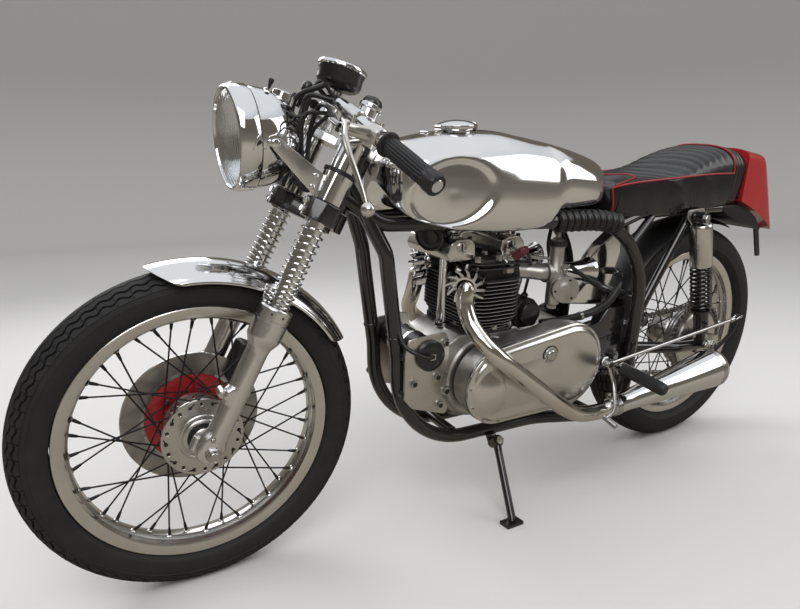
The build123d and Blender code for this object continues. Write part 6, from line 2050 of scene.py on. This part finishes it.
    def sparks(self, shop: Workshop) -> None:
        """Plugs with maroon caps, their leads, and the pushrod tubes at the front and back."""
        caps, leads, bodies = [], [], []
        for side in (1, -1):
            tip = np.array([745, 112 * side, 643])
            root = np.array([762, 84 * side, 616])
            bodies.append(bar(root, tip, 8, 20))
            bodies.append(hex_head(Seat(root + (tip - root) * 0.2, tip - root, UPWARD), 21, 9))
            caps.append(bar(tip - (tip - root) * 0.25, tip + (tip - root) * 0.42, 10.5, 24, 2.5))
            caps.append(bar(tip + (tip - root) * 0.3, tip + [-26, -4 * side, 10], 8.5, 20, 2.5))
            leads.append(tube(curve_through([tip + [-24, -4 * side, 9], (704, 100 * side, 640),
                                             (668, 74 * side, 604), (652, 46 * side, 540),
                                             (650, 34 * side, 500)], 10), 3.6, 12))
        shop.piece("plug_bodies", bodies, "bright_steel")
        shop.piece("plug_caps", caps, "plug_red")
        shop.piece("plug_leads", leads, "hose_rubber")
        profile = [(17, 0), (19, 2), (19, 10), (14, 13), (14, 160), (17, 163), (17, 172)]
        tubes = [revolve(profile, Seat((x, 0, 462), UPWARD), 40) for x in (858, 708)]
        shop.piece("pushrod_tubes", tubes, "chrome")

    def build(self, shop: Workshop) -> None:
        """Makes the pieces."""
        self.barrels(shop)
        self.head(shop)
        self.rockers(shop)
        self.sparks(shop)


@dataclass(frozen=True)
class Cases:
    """Crankcase, primary chaincase with its humps and screws, timing cover, gearbox and plates."""

    front: tuple[float, float, float] = (798.0, 357.0, 90.0)
    rear: tuple[float, float, float] = (592.0, 372.0, 106.0)
    inner: float = 96.0
    joint: float = 147.0
    outer: float = 154.0
    crank: tuple[float, float, float] = (822.0, 351.0, 55.0)
    clutch: tuple[float, float, float] = (612.0, 378.0, 112.0)
    timing: tuple[float, ...] = (818.0, 352.0, 70.0, 738.0, 402.0, 58.0)
    shell: tuple[float, ...] = (530.0, 385.0, 62.0, 565.0, 330.0, 50.0)
    shell_cover: tuple[float, ...] = (530.0, 385.0, 60.0, 565.0, 330.0, 48.0)

    def outline(self) -> Points:
        """The chaincase's belt outline."""
        return belt(*self.front, *self.rear, 44)

    def cover(self) -> Skin:
        """Outer face as a height field over rings of the outline: flange, step and two humps.

        Ring k is the outline drawn towards the line between both centres; the height is the flange,
        plus a smooth step inside it, plus a dome round the crank, plus a broad swelling at the clutch.
        """
        outline = self.outline()
        front, rear = np.array(self.front[:2]), np.array(self.rear[:2])
        axis = rear - front
        part = np.clip(((outline - front) @ axis) / (axis @ axis), 0, 1)
        spine = front + part[:, None] * axis
        scale = np.concatenate([[1.0, 1.0, 0.985], np.linspace(0.97, 0.80, 9), np.linspace(0.77, 0.0, 26)])
        flat = spine + (outline - spine) * scale[:, None, None]
        x, z = flat[..., 0], flat[..., 1]
        step = 1 / (1 + np.exp((scale[:, None] - 0.885) / 0.018))
        crank, clutch = (np.hypot(x - at[0], z - at[1]) / at[2] for at in (self.crank, self.clutch))
        valley = np.exp(-(((x - 736) * 0.94 + (z - 360) * 0.34) / 22) ** 2)
        height = 3 + 7 * step
        height = height + 17 * np.clip(1 - crank**2, 0, 1) ** 1.15
        height = height + 6 * np.clip(1 - clutch**3, 0, 1) - 2.5 * valley * step
        height[1], height[2] = 1.6, 3.0
        height[0] = self.joint - self.outer
        return grid(np.stack([x, self.outer + height, z], -1))

    def wall(self) -> Skin:
        """Cast inner half of the chaincase: two steps up from the crankcase to the joint."""
        inner, joint = self.inner, self.joint
        levels = ((5, inner), (5, inner + 20), (3, inner + 22), (3, joint - 12), (-0.6, joint - 9),
                  (-0.6, joint - 1), (0, joint - 0.5))
        return grid(np.array([stood(inset(self.outline(), drawn), y) for drawn, y in levels]))

    def chaincase(self, shop: Workshop) -> None:
        """Cover, joint line, screws, clutch cap and level plug."""
        shop.piece("primary_chaincase", self.cover(), "case_polish", "primary_chaincase", sharp=50)
        edge = inset(self.outline(), -0.5)
        seam = slab(edge, self.joint - 0.8, self.joint + 0.4, 0.2)
        shop.piece("case_seam", seam, "soft_black")
        shop.piece("chaincase_wall", self.wall(), "cast_alloy", sharp=40)
        screws, slot_shades = [], []
        for x, z in spaced(inset(self.outline(), 7), 11):
            seat = Seat((x, self.outer + 2.6, z))
            screws.append(dome_head(seat, 4.6, 2.2))
            # Black bar in each screw head: painted shade of its slot.
            slot_shades.append(bar(seat.put([-3.6, 0, 2.0]), seat.put([3.6, 0, 2.0]), 0.6, 6, 0.2))
        cap = Seat((668, self.outer + 14, 415))
        screws.append(revolve([(20, -8), (20, 1), (19, 2.5), (14.5, 3), (14.5, 3.2), (0.5, 3.2)], cap, 48))
        screws.append(dome_head(Seat(cap.put([0, 0, 3])), 13.5, 6))
        plug = Seat((672, self.outer + 13, 336))
        screws.append(revolve([(10, -8), (10, 2), (9, 3.5), (7, 3.5), (6.5, 2), (0.5, 2)], plug, 32))
        shop.piece("case_screws", screws, "bright_steel")
        ring_gap = revolve([(20.2, -8), (22.5, -8), (22.5, 0.6), (20.2, 0.6)], cap, 48, True)
        plug_gap = revolve([(10.2, -8), (12, -8), (12, 0.6), (10.2, 0.6)], plug, 32, True)
        shop.piece("case_slot_shades_and_gaps", slot_shades + [ring_gap, plug_gap], "soft_black")

    def crankcase(self, shop: Workshop) -> None:
        """Stepped round case with its mouth and right side cover."""
        seat = Seat((798, 0, 357))
        drum = revolve(
            [
                (0.5, -89.5), (96, -89.5), (100, -86), (106, -70), (118, -66), (118, -3), (120, -2),
                (120, 2), (118, 3), (118, 40), (116, 44), (108, 52), (107, 66), (100, 72), (98, 86),
                (94, 89.5), (0.5, 89.5),
            ],
            seat, 120,
        )
        neck = slab(rounded([(880, 340), (906, 400), (908, 440), (862, 464), (704, 464), (675, 440),
                             (622, 400), (622, 300), (700, 246), (790, 246)], 16), -84, 84, 4)
        shop.piece("crankcase", [drum, neck], "cast_alloy", "crankcase", sharp=40)
        timing = slab(belt(*self.timing), -89.5, -127, 9)
        shop.piece("timing_cover", timing, "case_polish", "timing_cover", sharp=45)
        screws = [dome_head(Seat((x, -125.5, z), (0, -1, 0)), 4.6, 2.6)
                  for x, z in spaced(inset(belt(*self.timing), 8), 9)]
        shop.piece("timing_screws", screws, "bright_steel")

    def plates(self, shop: Workshop) -> None:
        """Polished front plates with bolts, and rear plates in gloss black as painted shade, with black discs
        painted as the shade of their drilled holes.
        """
        front = rounded([(1008, 440), (1006, 336), (986, 312), (952, 300), (896, 281), (890, 296),
                         (906, 340), (910, 368), (900, 396), (894, 440), (904, 478), (978, 474),
                         (1002, 470)], 12)
        shop.pair("engine_plates", slab(front, 82, 88.5, 1.2), "plate_alloy", "engine_plates")
        bolts, shades = [], []
        for x, z in ((908, 455), (985, 372), (926, 378), (915, 309), (900, 340)):
            seat = Seat((x, 88.4, z))
            bolts.append(revolve([(11, 0), (11, 1.6), (9, 2)], seat, 28))
            bolts.append(hex_head(Seat((x, 90.2, z)), 14, 6))
            # Black disc on each bolt's end: painted shade of its hollow.
            shades.append(revolve([(5.5, 6), (5.5, 6.6)], Seat((x, 90.2, z)), 16))
        shop.pair("plate_bolts", bolts, "bright_steel")
        shop.pair("plate_bolt_hollow_shades", shades, "soft_black")
        # The rear plates take gloss black as painted shade: they are darkened to the shade that falls on
        # them.
        rear = slab(rounded([(352, 318), (352, 478), (412, 478), (438, 446), (470, 436), (470, 318)], 12),
                    96.5, 101.5, 1.2)
        low = slab(rounded([(440, 300), (440, 436), (650, 430), (650, 300)], 18), 90, 96, 1.2)
        shop.pair("rear_plates", [rear, low], "frame_black", "rear_plates")
        spots = ((378, 452), (378, 430), (378, 408), (396, 441), (396, 419), (378, 386), (404, 396))
        # Black discs on the rear plates: painted shade where the drilled holes are.
        holes = [revolve([(4.6, 0), (4.6, 0.5)], Seat((x, 101.3, z)), 20) for x, z in spots]
        shop.pair("plate_hole_shades", holes, "soft_black")

    def gearbox(self, shop: Workshop) -> None:
        """Gearbox shell between the rear plates and its outer cover."""
        shell = slab(belt(*self.shell), -88, 58, 6)
        cover = slab(belt(*self.shell_cover), -96, -122, 8)
        shop.piece("gearbox", [shell, cover], "cast_alloy", "gearbox", sharp=45)
        screws = [hex_head(Seat((x, -120, z), (0, -1, 0)), 9, 4)
                  for x, z in spaced(inset(belt(*self.shell_cover), 8), 7)]
        shop.piece("gearbox_screws", screws, "bright_steel")

    def build(self, shop: Workshop) -> None:
        """Makes the pieces."""
        self.chaincase(shop)
        self.crankcase(shop)
        self.plates(shop)
        self.gearbox(shop)


@dataclass(frozen=True)
class Ancillaries:
    """Dynamo, magneto, carburettors with flared mouths, horn, oil tank and hoses."""

    carburettor: tuple[float, float] = (607.0, 92.0)
    dynamo_place: tuple[float, float, float] = (948.0, 0.0, 432.0)
    magneto_place: tuple[float, float, float] = (650.0, 58.0, 484.0)
    float_place: tuple[float, float, float] = (584.0, 96.0, 551.0)
    horn_place: tuple[float, float, float] = (905.0, 20.0, 690.0)
    hose_radius: float = 9.5
    feed_radius: float = 4.5

    def dynamo(self, shop: Workshop) -> None:
        """Black drum with chrome bands, ringed end cap and a lead."""
        seat = Seat(self.dynamo_place)
        drum = [(0.5, -78), (30, -78), (34, -74), (34, 86), (33, 89), (33, 92), (34.5, 93), (34.5, 98),
                (31, 101), (24, 102), (23, 100.5), (13, 100.5), (12, 103), (0.5, 103)]
        shop.piece("dynamo", revolve(drum, seat, 72), "dial_black", "dynamo")
        bands = [revolve([(34.2, y - 4), (35.4, y - 3), (35.4, y + 3), (34.2, y + 4)], seat, 64, True)
                 for y in (-40, 20, 66)]
        shop.piece("dynamo_bands", bands, "chrome")
        lead = tube(curve_through([(948, 106, 434), (966, 112, 436), (990, 108, 446), (1010, 84, 462),
                                   (1018, 60, 500)], 10), 4.4, 14)
        shop.piece("dynamo_lead", lead, "hose_rubber")
        square = slab(rounded([(-7, -7), (7, -7), (7, 7), (-7, 7)], 1.5), 0, 3, 0.6)
        shop.piece("dynamo_terminal", square.shifted((948, 102.5, 432)), "bright_steel")

    def magneto(self, shop: Workshop) -> None:
        """Dark body on its platform, with a cap and its pickups."""
        body = slab(rounded([(616, 446), (684, 446), (684, 500), (668, 516), (632, 516), (616, 500)], 12),
                    -58, 58, 4)
        shop.piece("magneto", body, "barrel_black", "magneto")
        seat = Seat(self.magneto_place)
        cap = revolve([(28, 0), (30, 2), (30, 10), (27, 14), (14, 16), (0.5, 16)], seat, 48)
        pickup = both_sides(bar((650, 30, 508), (650, 46, 528), 8, 20, 2))
        shop.piece("magneto_cap", [cap, pickup], "dial_black")

    def carburettors(self, shop: Workshop) -> None:
        """Upright mixing bodies, round float covers, flanges and flared mouths."""
        x, y = self.carburettor
        up = Seat((x, y, 4), UPWARD)
        body = revolve([(12, 505), (16.5, 508), (17, 520), (17, 560), (22, 566), (22, 592), (17, 598),
                        (17, 644), (19.5, 646), (19.5, 656), (18, 658), (12, 664), (6.5, 668), (4.5, 680),
                        (0.5, 681)], up, 48)
        way = unit((-1, 0.03, -0.03))
        across = Seat((640, y - 1, 589), way, SIDE)
        throat = revolve([(19, 0), (23, 1), (23, 8), (19, 10), (19, 52), (21, 54), (21, 64), (17, 66)],
                         across, 48)
        manifold = tube(curve_through([(690, 54, 590), (668, 66, 590), (648, 86, 589), (636, 91, 589)], 8),
                        18, 36)
        float_seat = Seat(self.float_place, unit((0.45, 0.89, 0)), UPWARD)
        bowl = revolve([(27, -14), (30, -10), (30, 20), (33, 22), (33, 29), (31.5, 31.5), (17, 32),
                        (15, 33.6), (5, 34), (0.5, 34)], float_seat, 64)
        nut = hex_head(Seat((x, y, 500), UPWARD), 20, 10)
        shop.pair("carburettors", [body, throat, manifold, bowl, nut], "cast_alloy", "carburettors",
                  sharp=40)
        mouth_seat = Seat(across.put([0, 0, 52]), way, SIDE)
        mouth = revolve([(19, 0), (21, 2), (21.5, 30), (23.5, 54), (27.5, 72), (32.5, 84), (34.5, 86),
                         (34, 88), (31, 85), (25.5, 74), (21.5, 56), (19, 32), (18.5, 2)], mouth_seat, 56,
                        True)
        shop.pair("bellmouths", mouth, "chrome")
        ring = revolve([(18, 0), (21.2, 2), (21.2, 12), (18, 14)], Seat((x, y, 650), UPWARD), 40, True)
        # Three black domes on each float cover: painted shade of its screw holes.
        holes = [dome_head(Seat(float_seat.put(spot), float_seat.z, UPWARD), 3.2, 1.6)
                 for spot in turned(25, np.radians([100, 220, 340]), 31.2)]
        shop.pair("carburettor_rings_and_hole_shades", [ring, *holes], "soft_black")
        rod = tube(curve_through([(590, 124, 607), (533, 128, 572), (493, 128, 553)], 8),
                   np.linspace(4.5, 8.5, 17), 20)
        shop.pair("carburettor_rods", rod, "soft_black")
        tickler = [bar((604, 100, 604), (592, 124, 606), 6, 18),
                   bar((700, 60, 632), (620, 86, 620), 3.2, 12)]
        shop.pair("carburettor_links", tickler, "bright_steel")

    def horn(self, shop: Workshop) -> None:
        """Round horn with a ringed face."""
        seat = Seat(self.horn_place, unit((30, 25, -10)), UPWARD)
        face = [(0.5, -2), (26, -2), (32, 4), (33, 10), (33, 36), (30, 40), (27, 40), (26, 36), (18, 35),
                (17, 38), (10, 39), (0.5, 39)]
        shop.piece("horn", revolve(face, seat, 64), "dial_black", "horn")

    def oil(self, shop: Workshop) -> None:
        """Polished oil tank inside the frame's loop, with its hoses."""
        outline = rounded([(530, 492), (505, 490), (393, 476), (354, 614), (362, 664), (385, 670),
                           (433, 636), (520, 540)], 12)
        shop.piece("oil_tank", slab(outline, 34, 66, 6, 6), "tank_alloy", "oil_tank")
        hose = curve_through([(368, 66, 566), (384, 92, 558), (408, 114, 538), (440, 120, 506),
                              (480, 117, 486), (527, 113, 476), (580, 100, 467), (629, 84, 462)], 12)
        feed = curve_through([(600, 58, 690), (612, 66, 650), (606, 70, 610), (600, 58, 566)], 10)
        hoses = [tube(hose, self.hose_radius, 20), both_sides(tube(feed, self.feed_radius, 14))]
        shop.piece("hoses", hoses, "hose_rubber", "hoses")
        clips = []
        for index in (10, 60):
            way = hose[index + 1] - hose[index]
            clips.append(revolve([(9.8, -4), (10.8, -4), (10.8, 4), (9.8, 4)],
                                 Seat(hose[index], way, UPWARD), 32, True))
        shop.piece("hose_clips", clips, "bright_steel")

    def build(self, shop: Workshop) -> None:
        """Makes the pieces."""
        self.dynamo(shop)
        self.magneto(shop)
        self.carburettors(shop)
        self.horn(shop)
        self.oil(shop)


@dataclass(frozen=True)
class Exhaust:
    """Swept pipes with finned clamps, and cone silencers with bands, stubs and hangers."""

    pipe: float = 19.0
    front: tuple[float, float, float] = (442.0, 198.0, 262.0)
    rear: tuple[float, float, float] = (72.0, 204.0, 303.0)
    fins: int = 12
    can: float = 51.5

    def clamp(self) -> Skin:
        """Finned rose round the port: each fin a thin blade, curved back from the pipe."""
        seat = Seat((862, 90, 584), unit((0.65, 0.70, -0.30)), UPWARD)
        fins = []
        for turn in ring_angles(self.fins, 0.2):
            s = np.linspace(0, 1, 10)[:, None]
            r = 19.5 + 25 * s
            h = np.array([[-15.0, 15.0]]) * (1 - 0.2 * s) + 7 * s**2
            skew = turn + 0.32 * s
            sheets = []
            for side in (-3.4, 3.4):
                thick = side * (1 - 0.35 * s**3)
                x = r * np.cos(skew) - thick * np.sin(skew) + 0 * h
                y = r * np.sin(skew) + thick * np.cos(skew) + 0 * h
                sheets.append(np.stack([x, y, h], -1))
            ring = np.stack([sheets[0][:, 0], sheets[0][:, 1], sheets[1][:, 1], sheets[1][:, 0]], 1)
            fins.append(grid(ring))
        band = revolve([(19.2, -17), (24, -16), (24, 16), (19.2, 17)], seat, 40, True)
        return join([fin.seated(seat) for fin in fins] + [band])

    def build(self, shop: Workshop) -> None:
        """Makes the pieces."""
        front, rear = np.asarray(self.front), np.asarray(self.rear)
        way = unit(rear - front)
        line = curve_through([(822, 58, 600), (846, 76, 592), (867, 97, 574), (872, 104, 540),
                              (868, 124, 503), (856, 155, 470), (832, 180, 440), (786, 189, 403),
                              (711, 197, 344), (643, 199, 293), (585, 199, 264), front - way * 72,
                              front - way * 34, front + way * 4], 12)
        shop.pair("exhaust_pipes", tube(line, self.pipe, 40), "header_chrome", "exhaust_pipes", sharp=60)
        shop.pair("finned_clamps", self.clamp(), "chrome")
        reach = float(np.linalg.norm(rear - front))
        seat = Seat(self.front, way, SIDE)
        can = revolve([(19.5, -34), (22.5, -33), (23.5, -30), (24, 20), (26, 40), (50.5, reach - 52),
                       (self.can, reach - 40), (self.can, reach - 22), (50, reach - 18), (46, reach - 9),
                       (34, reach - 3), (23, reach)], seat, 72)
        shop.pair("silencers", can, "chrome", "silencers", sharp=35)
        stub = revolve([(25, reach - 6), (25, reach + 10), (24, reach + 12), (22, reach + 12),
                        (22, reach - 6)], seat, 48, True)
        shop.pair("silencer_stubs", stub, "pale_stub")
        # Black disc inside each silencer's open end: painted shade of the bore.
        dark = revolve([(21.9, reach + 2), (0.5, reach + 1)], seat, 32)
        shop.pair("silencer_bore_shades", dark, "soft_black")
        band = [revolve([(24.2, -30), (25.6, -29), (25.6, -14), (24.2, -13)], seat, 48, True),
                bar(seat.put([-20, -20, -26]), seat.put([-20, -20, -16]), 6, 16)]
        end = revolve([(51.6, reach - 40), (52.4, reach - 39), (52.4, reach - 24), (51.6, reach - 23)],
                      seat, 72, True)
        shop.pair("silencer_bands", [*band, end], "bright_steel")
        strap = slab(rounded([(392, 346), (406, 330), (300, 262), (270, 286)], 8), 150, 155, 1.2)
        ties = [bar((286, 154, 276), (286, 186, 272), 6, 16), bar((394, 118, 338), (394, 152, 338), 8, 20)]
        shop.pair("silencer_hangers", [strap] + ties, "plate_alloy")


@dataclass(frozen=True)
class FrameTubes:
    """Ribbed sleeve on the rear rail, and the collars where tubes meet."""

    loop_y: float = 125.0
    rail_z: float = 712.0
    front_rib: float = 640.0
    rib_pitch: float = 19.5
    ribs: int = 10

    def build(self, shop: Workshop) -> None:
        """Makes the sleeve and the collars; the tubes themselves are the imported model's own."""
        ribs = []
        for rib in range(self.ribs):
            x = self.front_rib - rib * self.rib_pitch
            y = self.loop_y - 13 + (self.front_rib - x) * 0.055
            z = self.rail_z - 0.0009 * max(560 - x, 0) ** 2
            seat = Seat((x, y, z), unit((-1, 0.055, -0.0018 * max(560 - x, 0))), UPWARD)
            ribs.append(revolve([(16.2, -2), (20, -1), (24.5, 3), (25.6, 7), (24.5, 11), (20, 15),
                                 (19, 17), (16.2, 18)], seat, 44, True))
        shop.piece("rail_sleeve", ribs, "hose_rubber", "rail_sleeve", sharp=60)
        welds = []
        for point, way in (((1016, 55, 470), (0.1, 0, 1)), ((600, 58, 197), (1, 0, 0))):
            welds.append(revolve([(16.1, -4), (17.4, -2), (17.6, 0), (17.4, 2), (16.1, 4)],
                                 Seat(point, unit(way), SIDE), 32, True))
        shop.pair("frame_collars", welds, "frame_black")


@dataclass(frozen=True)
class Shocks:
    """Rear dampers: bright cover over a black coil spring and body, with eyes and bolts."""

    top: tuple[float, float, float] = (151.0, 136.0, 704.0)
    low: tuple[float, float, float] = (54.0, 136.0, 345.0)
    coil: float = 25.0
    wire: float = 3.6
    coil_span: tuple[float, float] = (130.0, 262.0)
    turns: int = 11

    def build(self, shop: Workshop) -> None:
        """Makes the pieces."""
        top, low = np.asarray(self.top), np.asarray(self.low)
        length = float(np.linalg.norm(low - top))
        seat = Seat(self.top, low - top, SIDE)
        cover = revolve([(14, 14), (25, 16), (28, 20), (28.5, 26), (28.5, 132), (27.5, 134), (26, 134)],
                        seat, 56)
        shop.pair("shock_covers", cover, "case_polish", "rear_shocks")
        spring = helix(seat, self.coil, np.linspace(*self.coil_span, self.turns + 1), self.wire, 24)
        rod = revolve([(0.5, 10), (12, 10), (12, 262), (27, 264), (27, 272), (20, 276), (20, 334), (14, 340),
                       (12, length - 12), (0.5, length - 12)], seat, 44)
        eyes = [bar(top + [0, -13, 0], top + [0, 15, 0], 16, 36),
                bar(low + [0, -14, 0], low + [0, 14, 0], 13, 32)]
        shop.pair("shock_bodies", [rod, spring, *eyes], "frame_black")
        bolts = [hex_head(Seat(top + [0, 15, 0]), 18, 7), hex_head(Seat(low + [0, 14, 0]), 16, 7)]
        shop.pair("shock_bolts", bolts, "bright_steel")
        plate = slab(rounded([(184, 722), (112, 726), (118, 690), (160, 684), (180, 700)], 8), 116, 120, 1)
        shop.pair("shock_plates", plate, "plate_alloy")


LINK_PLATE = np.array([
    (-11.6, 0), (-10.4, 3.8), (-7.9, 5.6), (-4, 4.4), (0, 3.4), (4, 4.4), (7.9, 5.6), (10.4, 3.8),
    (11.6, 0), (10.4, -3.8), (7.9, -5.6), (4, -4.4), (0, -3.4), (-4, -4.4), (-7.9, -5.6), (-10.4, -3.8),
])


@dataclass(frozen=True)
class DriveChain:
    """Roller chain round both sprockets: paired side plates, pins and rollers on a belt path."""

    front: tuple[float, float, float] = (500.0, 362.0, 52.0)
    rear: tuple[float, float, float] = (0.0, 329.7, 108.0)
    y: float = 76.0
    pitch: float = 15.875
    outer_gap: float = 6.2
    inner_gap: float = 4.6
    sheet: float = 1.4

    def build(self, shop: Workshop) -> None:
        """Makes the links, placed at even steps along the belt."""
        path = belt(*self.rear, *self.front, 80)
        path = np.vstack([path, path[:1]])
        run = np.concatenate([[0], np.cumsum(np.linalg.norm(np.diff(path, axis=0), axis=1))])
        count = int(run[-1] / self.pitch) // 2 * 2
        at = np.arange(count) * run[-1] / count
        x, z = np.interp(at, run, path[:, 0]), np.interp(at, run, path[:, 1])
        plates, rollers = [], []
        for i in range(count):
            j = (i + 1) % count
            gap = self.outer_gap if i % 2 else self.inner_gap
            mid = np.array([(x[i] + x[j]) / 2, (z[i] + z[j]) / 2])
            way = unit([x[j] - x[i], z[j] - z[i]])
            side = np.array([-way[1], way[0]])
            outline = mid + LINK_PLATE @ np.array([way, side])
            for y in (self.y + gap, self.y - gap - self.sheet):
                near = stood(outline, y)
                plates.append(grid(np.array([near, near + [0, self.sheet, 0]])))
            rollers.append(bar((x[i], self.y - 8.2, z[i]), (x[i], self.y + 8.6, z[i]), 2.6, 8, 0.4))
            rollers.append(bar((x[i], self.y - 4.4, z[i]), (x[i], self.y + 4.4, z[i]), 4.6, 10, 0.3))
        shop.piece("drive_chain", plates, "chain_steel", "drive_chain")
        shop.piece("chain_rollers", rollers, "bright_steel")


@dataclass(frozen=True)
class RearEnd:
    """Swing arm ends, adjusters, rear mudguard and rear axle."""

    crown: float = 356.0
    half: float = 62.0
    section_rise: float = 27.2
    guard_sheet: float = 1.8
    guard_arc: tuple[float, float] = (26.0, 108.0)

    def mudguard(self) -> Skin:
        """Close blade round the tyre: R(y) = crown - rise (1 - (1 - (y / w)^2)^0.5), along an arc."""
        y = self.half * np.sin(np.linspace(-1, 1, 25) * math.pi / 2)
        drop = self.section_rise * (1 - np.sqrt(np.clip(1 - (y / (self.half + 8)) ** 2, 0, 1)))
        a = np.radians(np.linspace(*self.guard_arc, 70))[:, None]
        outer, inner = (turned(self.crown - drop - inwards, a, y)[..., [0, 2, 1]]
                        for inwards in (0.0, self.guard_sheet))
        return sheet(outer, inner).shifted(REAR_AXLE)

    def build(self, shop: Workshop) -> None:
        """Makes the pieces."""
        shop.piece("rear_mudguard", self.mudguard(), "soft_black", "rear_mudguard", sharp=50)
        ends = slab(rounded([(56, 306), (56, 352), (24, 362), (-36, 352), (-36, 306)], 8), 124, 131, 1.2)
        shop.pair("arm_ends", ends, "plate_alloy")
        bits = [hex_head(Seat((0, 131, 329.7)), 26, 9),
                bar((0, 131, 329.7), (0, 146, 329.7), 8.5, 24),
                bar((-36, 127.5, 329.7), (-66, 127.5, 329.7), 3.5, 12),
                hex_head(Seat((-44, 127.5, 329.7), (-1, 0, 0), UPWARD), 11, 6)]
        shop.pair("rear_axle", bits, "bright_steel", "rear_axle")


@dataclass(frozen=True)
class FootControls:
    """Ribbed footrests on both sides, and the brake pedal with its rod and arm on the left."""

    rest: tuple[float, float] = (430.0, 345.0)
    rod_y: float = 172.0
    rod_radius: float = 4.6
    rubber_ends: tuple[tuple[float, ...], tuple[float, ...]] = ((429.6, 180, 344.8), (418, 300, 331))
    ribs: int = 8

    def rubber(self) -> Skin:
        """Footrest rubber: R(t, h) = profile(h) + 1.3 (|cos 8 t| - 0.4) along the ribbed length."""
        low, high = np.array(self.rubber_ends)
        length = float(np.linalg.norm(high - low))
        profile = np.array([(9.2, 0), (14, 0), (15.4, 3), (14.2, 6), (14.6, 40), (15.2, length - 16),
                            (15.2, length - 6), (12, length - 1), (6, length), (0.4, length)])
        t = ring_angles(96)
        ribbed = ((profile[:, 1] > 5) & (profile[:, 1] < length - 10))[:, None]
        radius = profile[:, :1] + ribbed * 1.3 * (np.abs(np.cos(self.ribs * t)) - 0.4)
        return grid(Seat(low, high - low, FORWARD).put(turned(radius, t, profile[:, 1:2])))

    def build(self, shop: Workshop) -> None:
        """Makes the pieces."""
        x, z = self.rest
        shop.pair("footrest_rubbers", self.rubber(), "grip_rubber", "footrests", sharp=30)
        stubs = [bar((x, 110, z), (x, 179, z), 9, 28), bar((x, 160, z), (x, 176, z), 13, 32),
                 hex_head(Seat((x, 118, z)), 24, 10)]
        shop.pair("footrest_stubs", stubs, "bright_steel")
        pedal = curve_through([(472, self.rod_y, 362), (462, 174, 340), (458, 184, 312), (474, 206, 282),
                               (502, 228, 263), (534, 236, 256)], 10)
        skins = [tube(pedal, np.linspace(6.5, 5, len(pedal)), 20, 0.7),
                 bar((530, 226, 256), (526, 262, 244), 6.5, 20, 1.5),
                 bar((x, self.rod_y, z), (474, self.rod_y, 363), 7, 20),
                 bar((472, self.rod_y - 8, 362), (472, self.rod_y + 8, 362), 9, 24)]
        brake = [bar((472, self.rod_y, 362), (-8, self.rod_y, 412.4), self.rod_radius, 20),
                 bar((-4, self.rod_y, 412), (-30, self.rod_y, 416), 3.0, 12),
                 bar((-10, self.rod_y, 413), (-24, self.rod_y, 415), 6.5, 18, 1.5),
                 bar((-24, self.rod_y - 6, 415), (-50, self.rod_y - 7, 424), 2.6, 12),
                 bar((-24, self.rod_y + 6, 415), (-50, self.rod_y + 7, 424), 2.6, 12)]
        arm = tube(curve_through([(-44, self.rod_y, 422), (-44, 168, 386), (-30, 156, 350),
                                  (-4, 146, 316)], 8), np.linspace(5, 8, 25), 18, 0.55)
        shop.piece("brake_arm", arm, "soft_black")
        shop.piece("brake_pedal", skins + brake, "bright_steel", "brake_pedal")
        hinge = [bar((-45, self.rod_y - 10, 422), (-45, self.rod_y + 10, 422), 4.5, 16),
                 bar((456, self.rod_y, 363.5), (482, self.rod_y, 361), 6, 16, 1)]
        shop.piece("brake_joints", hinge, "bright_steel")


@dataclass(frozen=True)
class SideStand:
    """Prop leg and its pivot bolt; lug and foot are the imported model's own."""

    pivot: tuple[float, float, float] = (735.0, 86.0, 172.0)
    foot: tuple[float, float, float] = (765.0, 199.0, 26.0)
    leg_radii: tuple[float, float, float] = (12.0, 9.5, 8.5)
    leg_flat: float = 0.9

    def build(self, shop: Workshop) -> None:
        """Makes the pieces."""
        pivot, foot = np.asarray(self.pivot), np.asarray(self.foot)
        line = pivot + (foot - pivot) * np.linspace(0, 1, 12)[:, None]
        leg = tube(line, np.interp(np.linspace(0, 1, 12), [0, 0.15, 1], self.leg_radii), 28,
                   self.leg_flat)
        shop.piece("stand_leg", leg, "frame_black", body=Body.SIDE_STAND)
        axis = unit((0, 142, 113))
        bolt = [hex_head(Seat(pivot + axis * 10, axis, FORWARD), 20, 8),
                hex_head(Seat(pivot - axis * 18, -axis, FORWARD), 20, 8)]
        shop.piece("stand_bolt", bolt, "bright_steel", body=Body.SIDE_STAND)


def assemblies() -> list:
    """Every sub-assembly of the machine."""
    rear_lines = ((84.0, 38.0), (54.0, -38.0))
    return [
        Tyre("front_tyre", Body.FRONT_WHEEL, FORK.axle, 323.3, 42.8, FRONT_TREAD),
        Tyre("rear_tyre", Body.REAR_WHEEL, REAR_AXLE, 329.7, 52.9, REAR_TREAD, 60, 4.5),
        Wheel("front", Body.FRONT_WHEEL, FORK.axle, ((68.0, 36.0), (65.0, -36.0))),
        Wheel("rear", Body.REAR_WHEEL, REAR_AXLE, rear_lines),
        FrontHub(),
        RearHub(),
        ForkLegs(),
        FrontMudguard(),
        Headlamp(),
        Instruments(),
        Controls(),
        FuelTank(),
        SeatPad(),
        Tail(),
        TopEnd(),
        Cases(),
        Ancillaries(),
        Exhaust(),
        FrameTubes(),
        Shocks(),
        DriveChain(),
        RearEnd(),
        FootControls(),
        SideStand(),
    ]


def main() -> None:
    """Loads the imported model, dresses it and sets the studio."""
    logging.basicConfig(level=logging.INFO, format="%(message)s")
    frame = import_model()
    shop = Workshop(frame)
    Studio().build(shop.parked)
    shop.dress_nodes()
    for part in assemblies():
        part.build(shop)
    bpy.context.scene.view_settings.view_transform = "Standard"


if __name__ == "__main__":
    main()
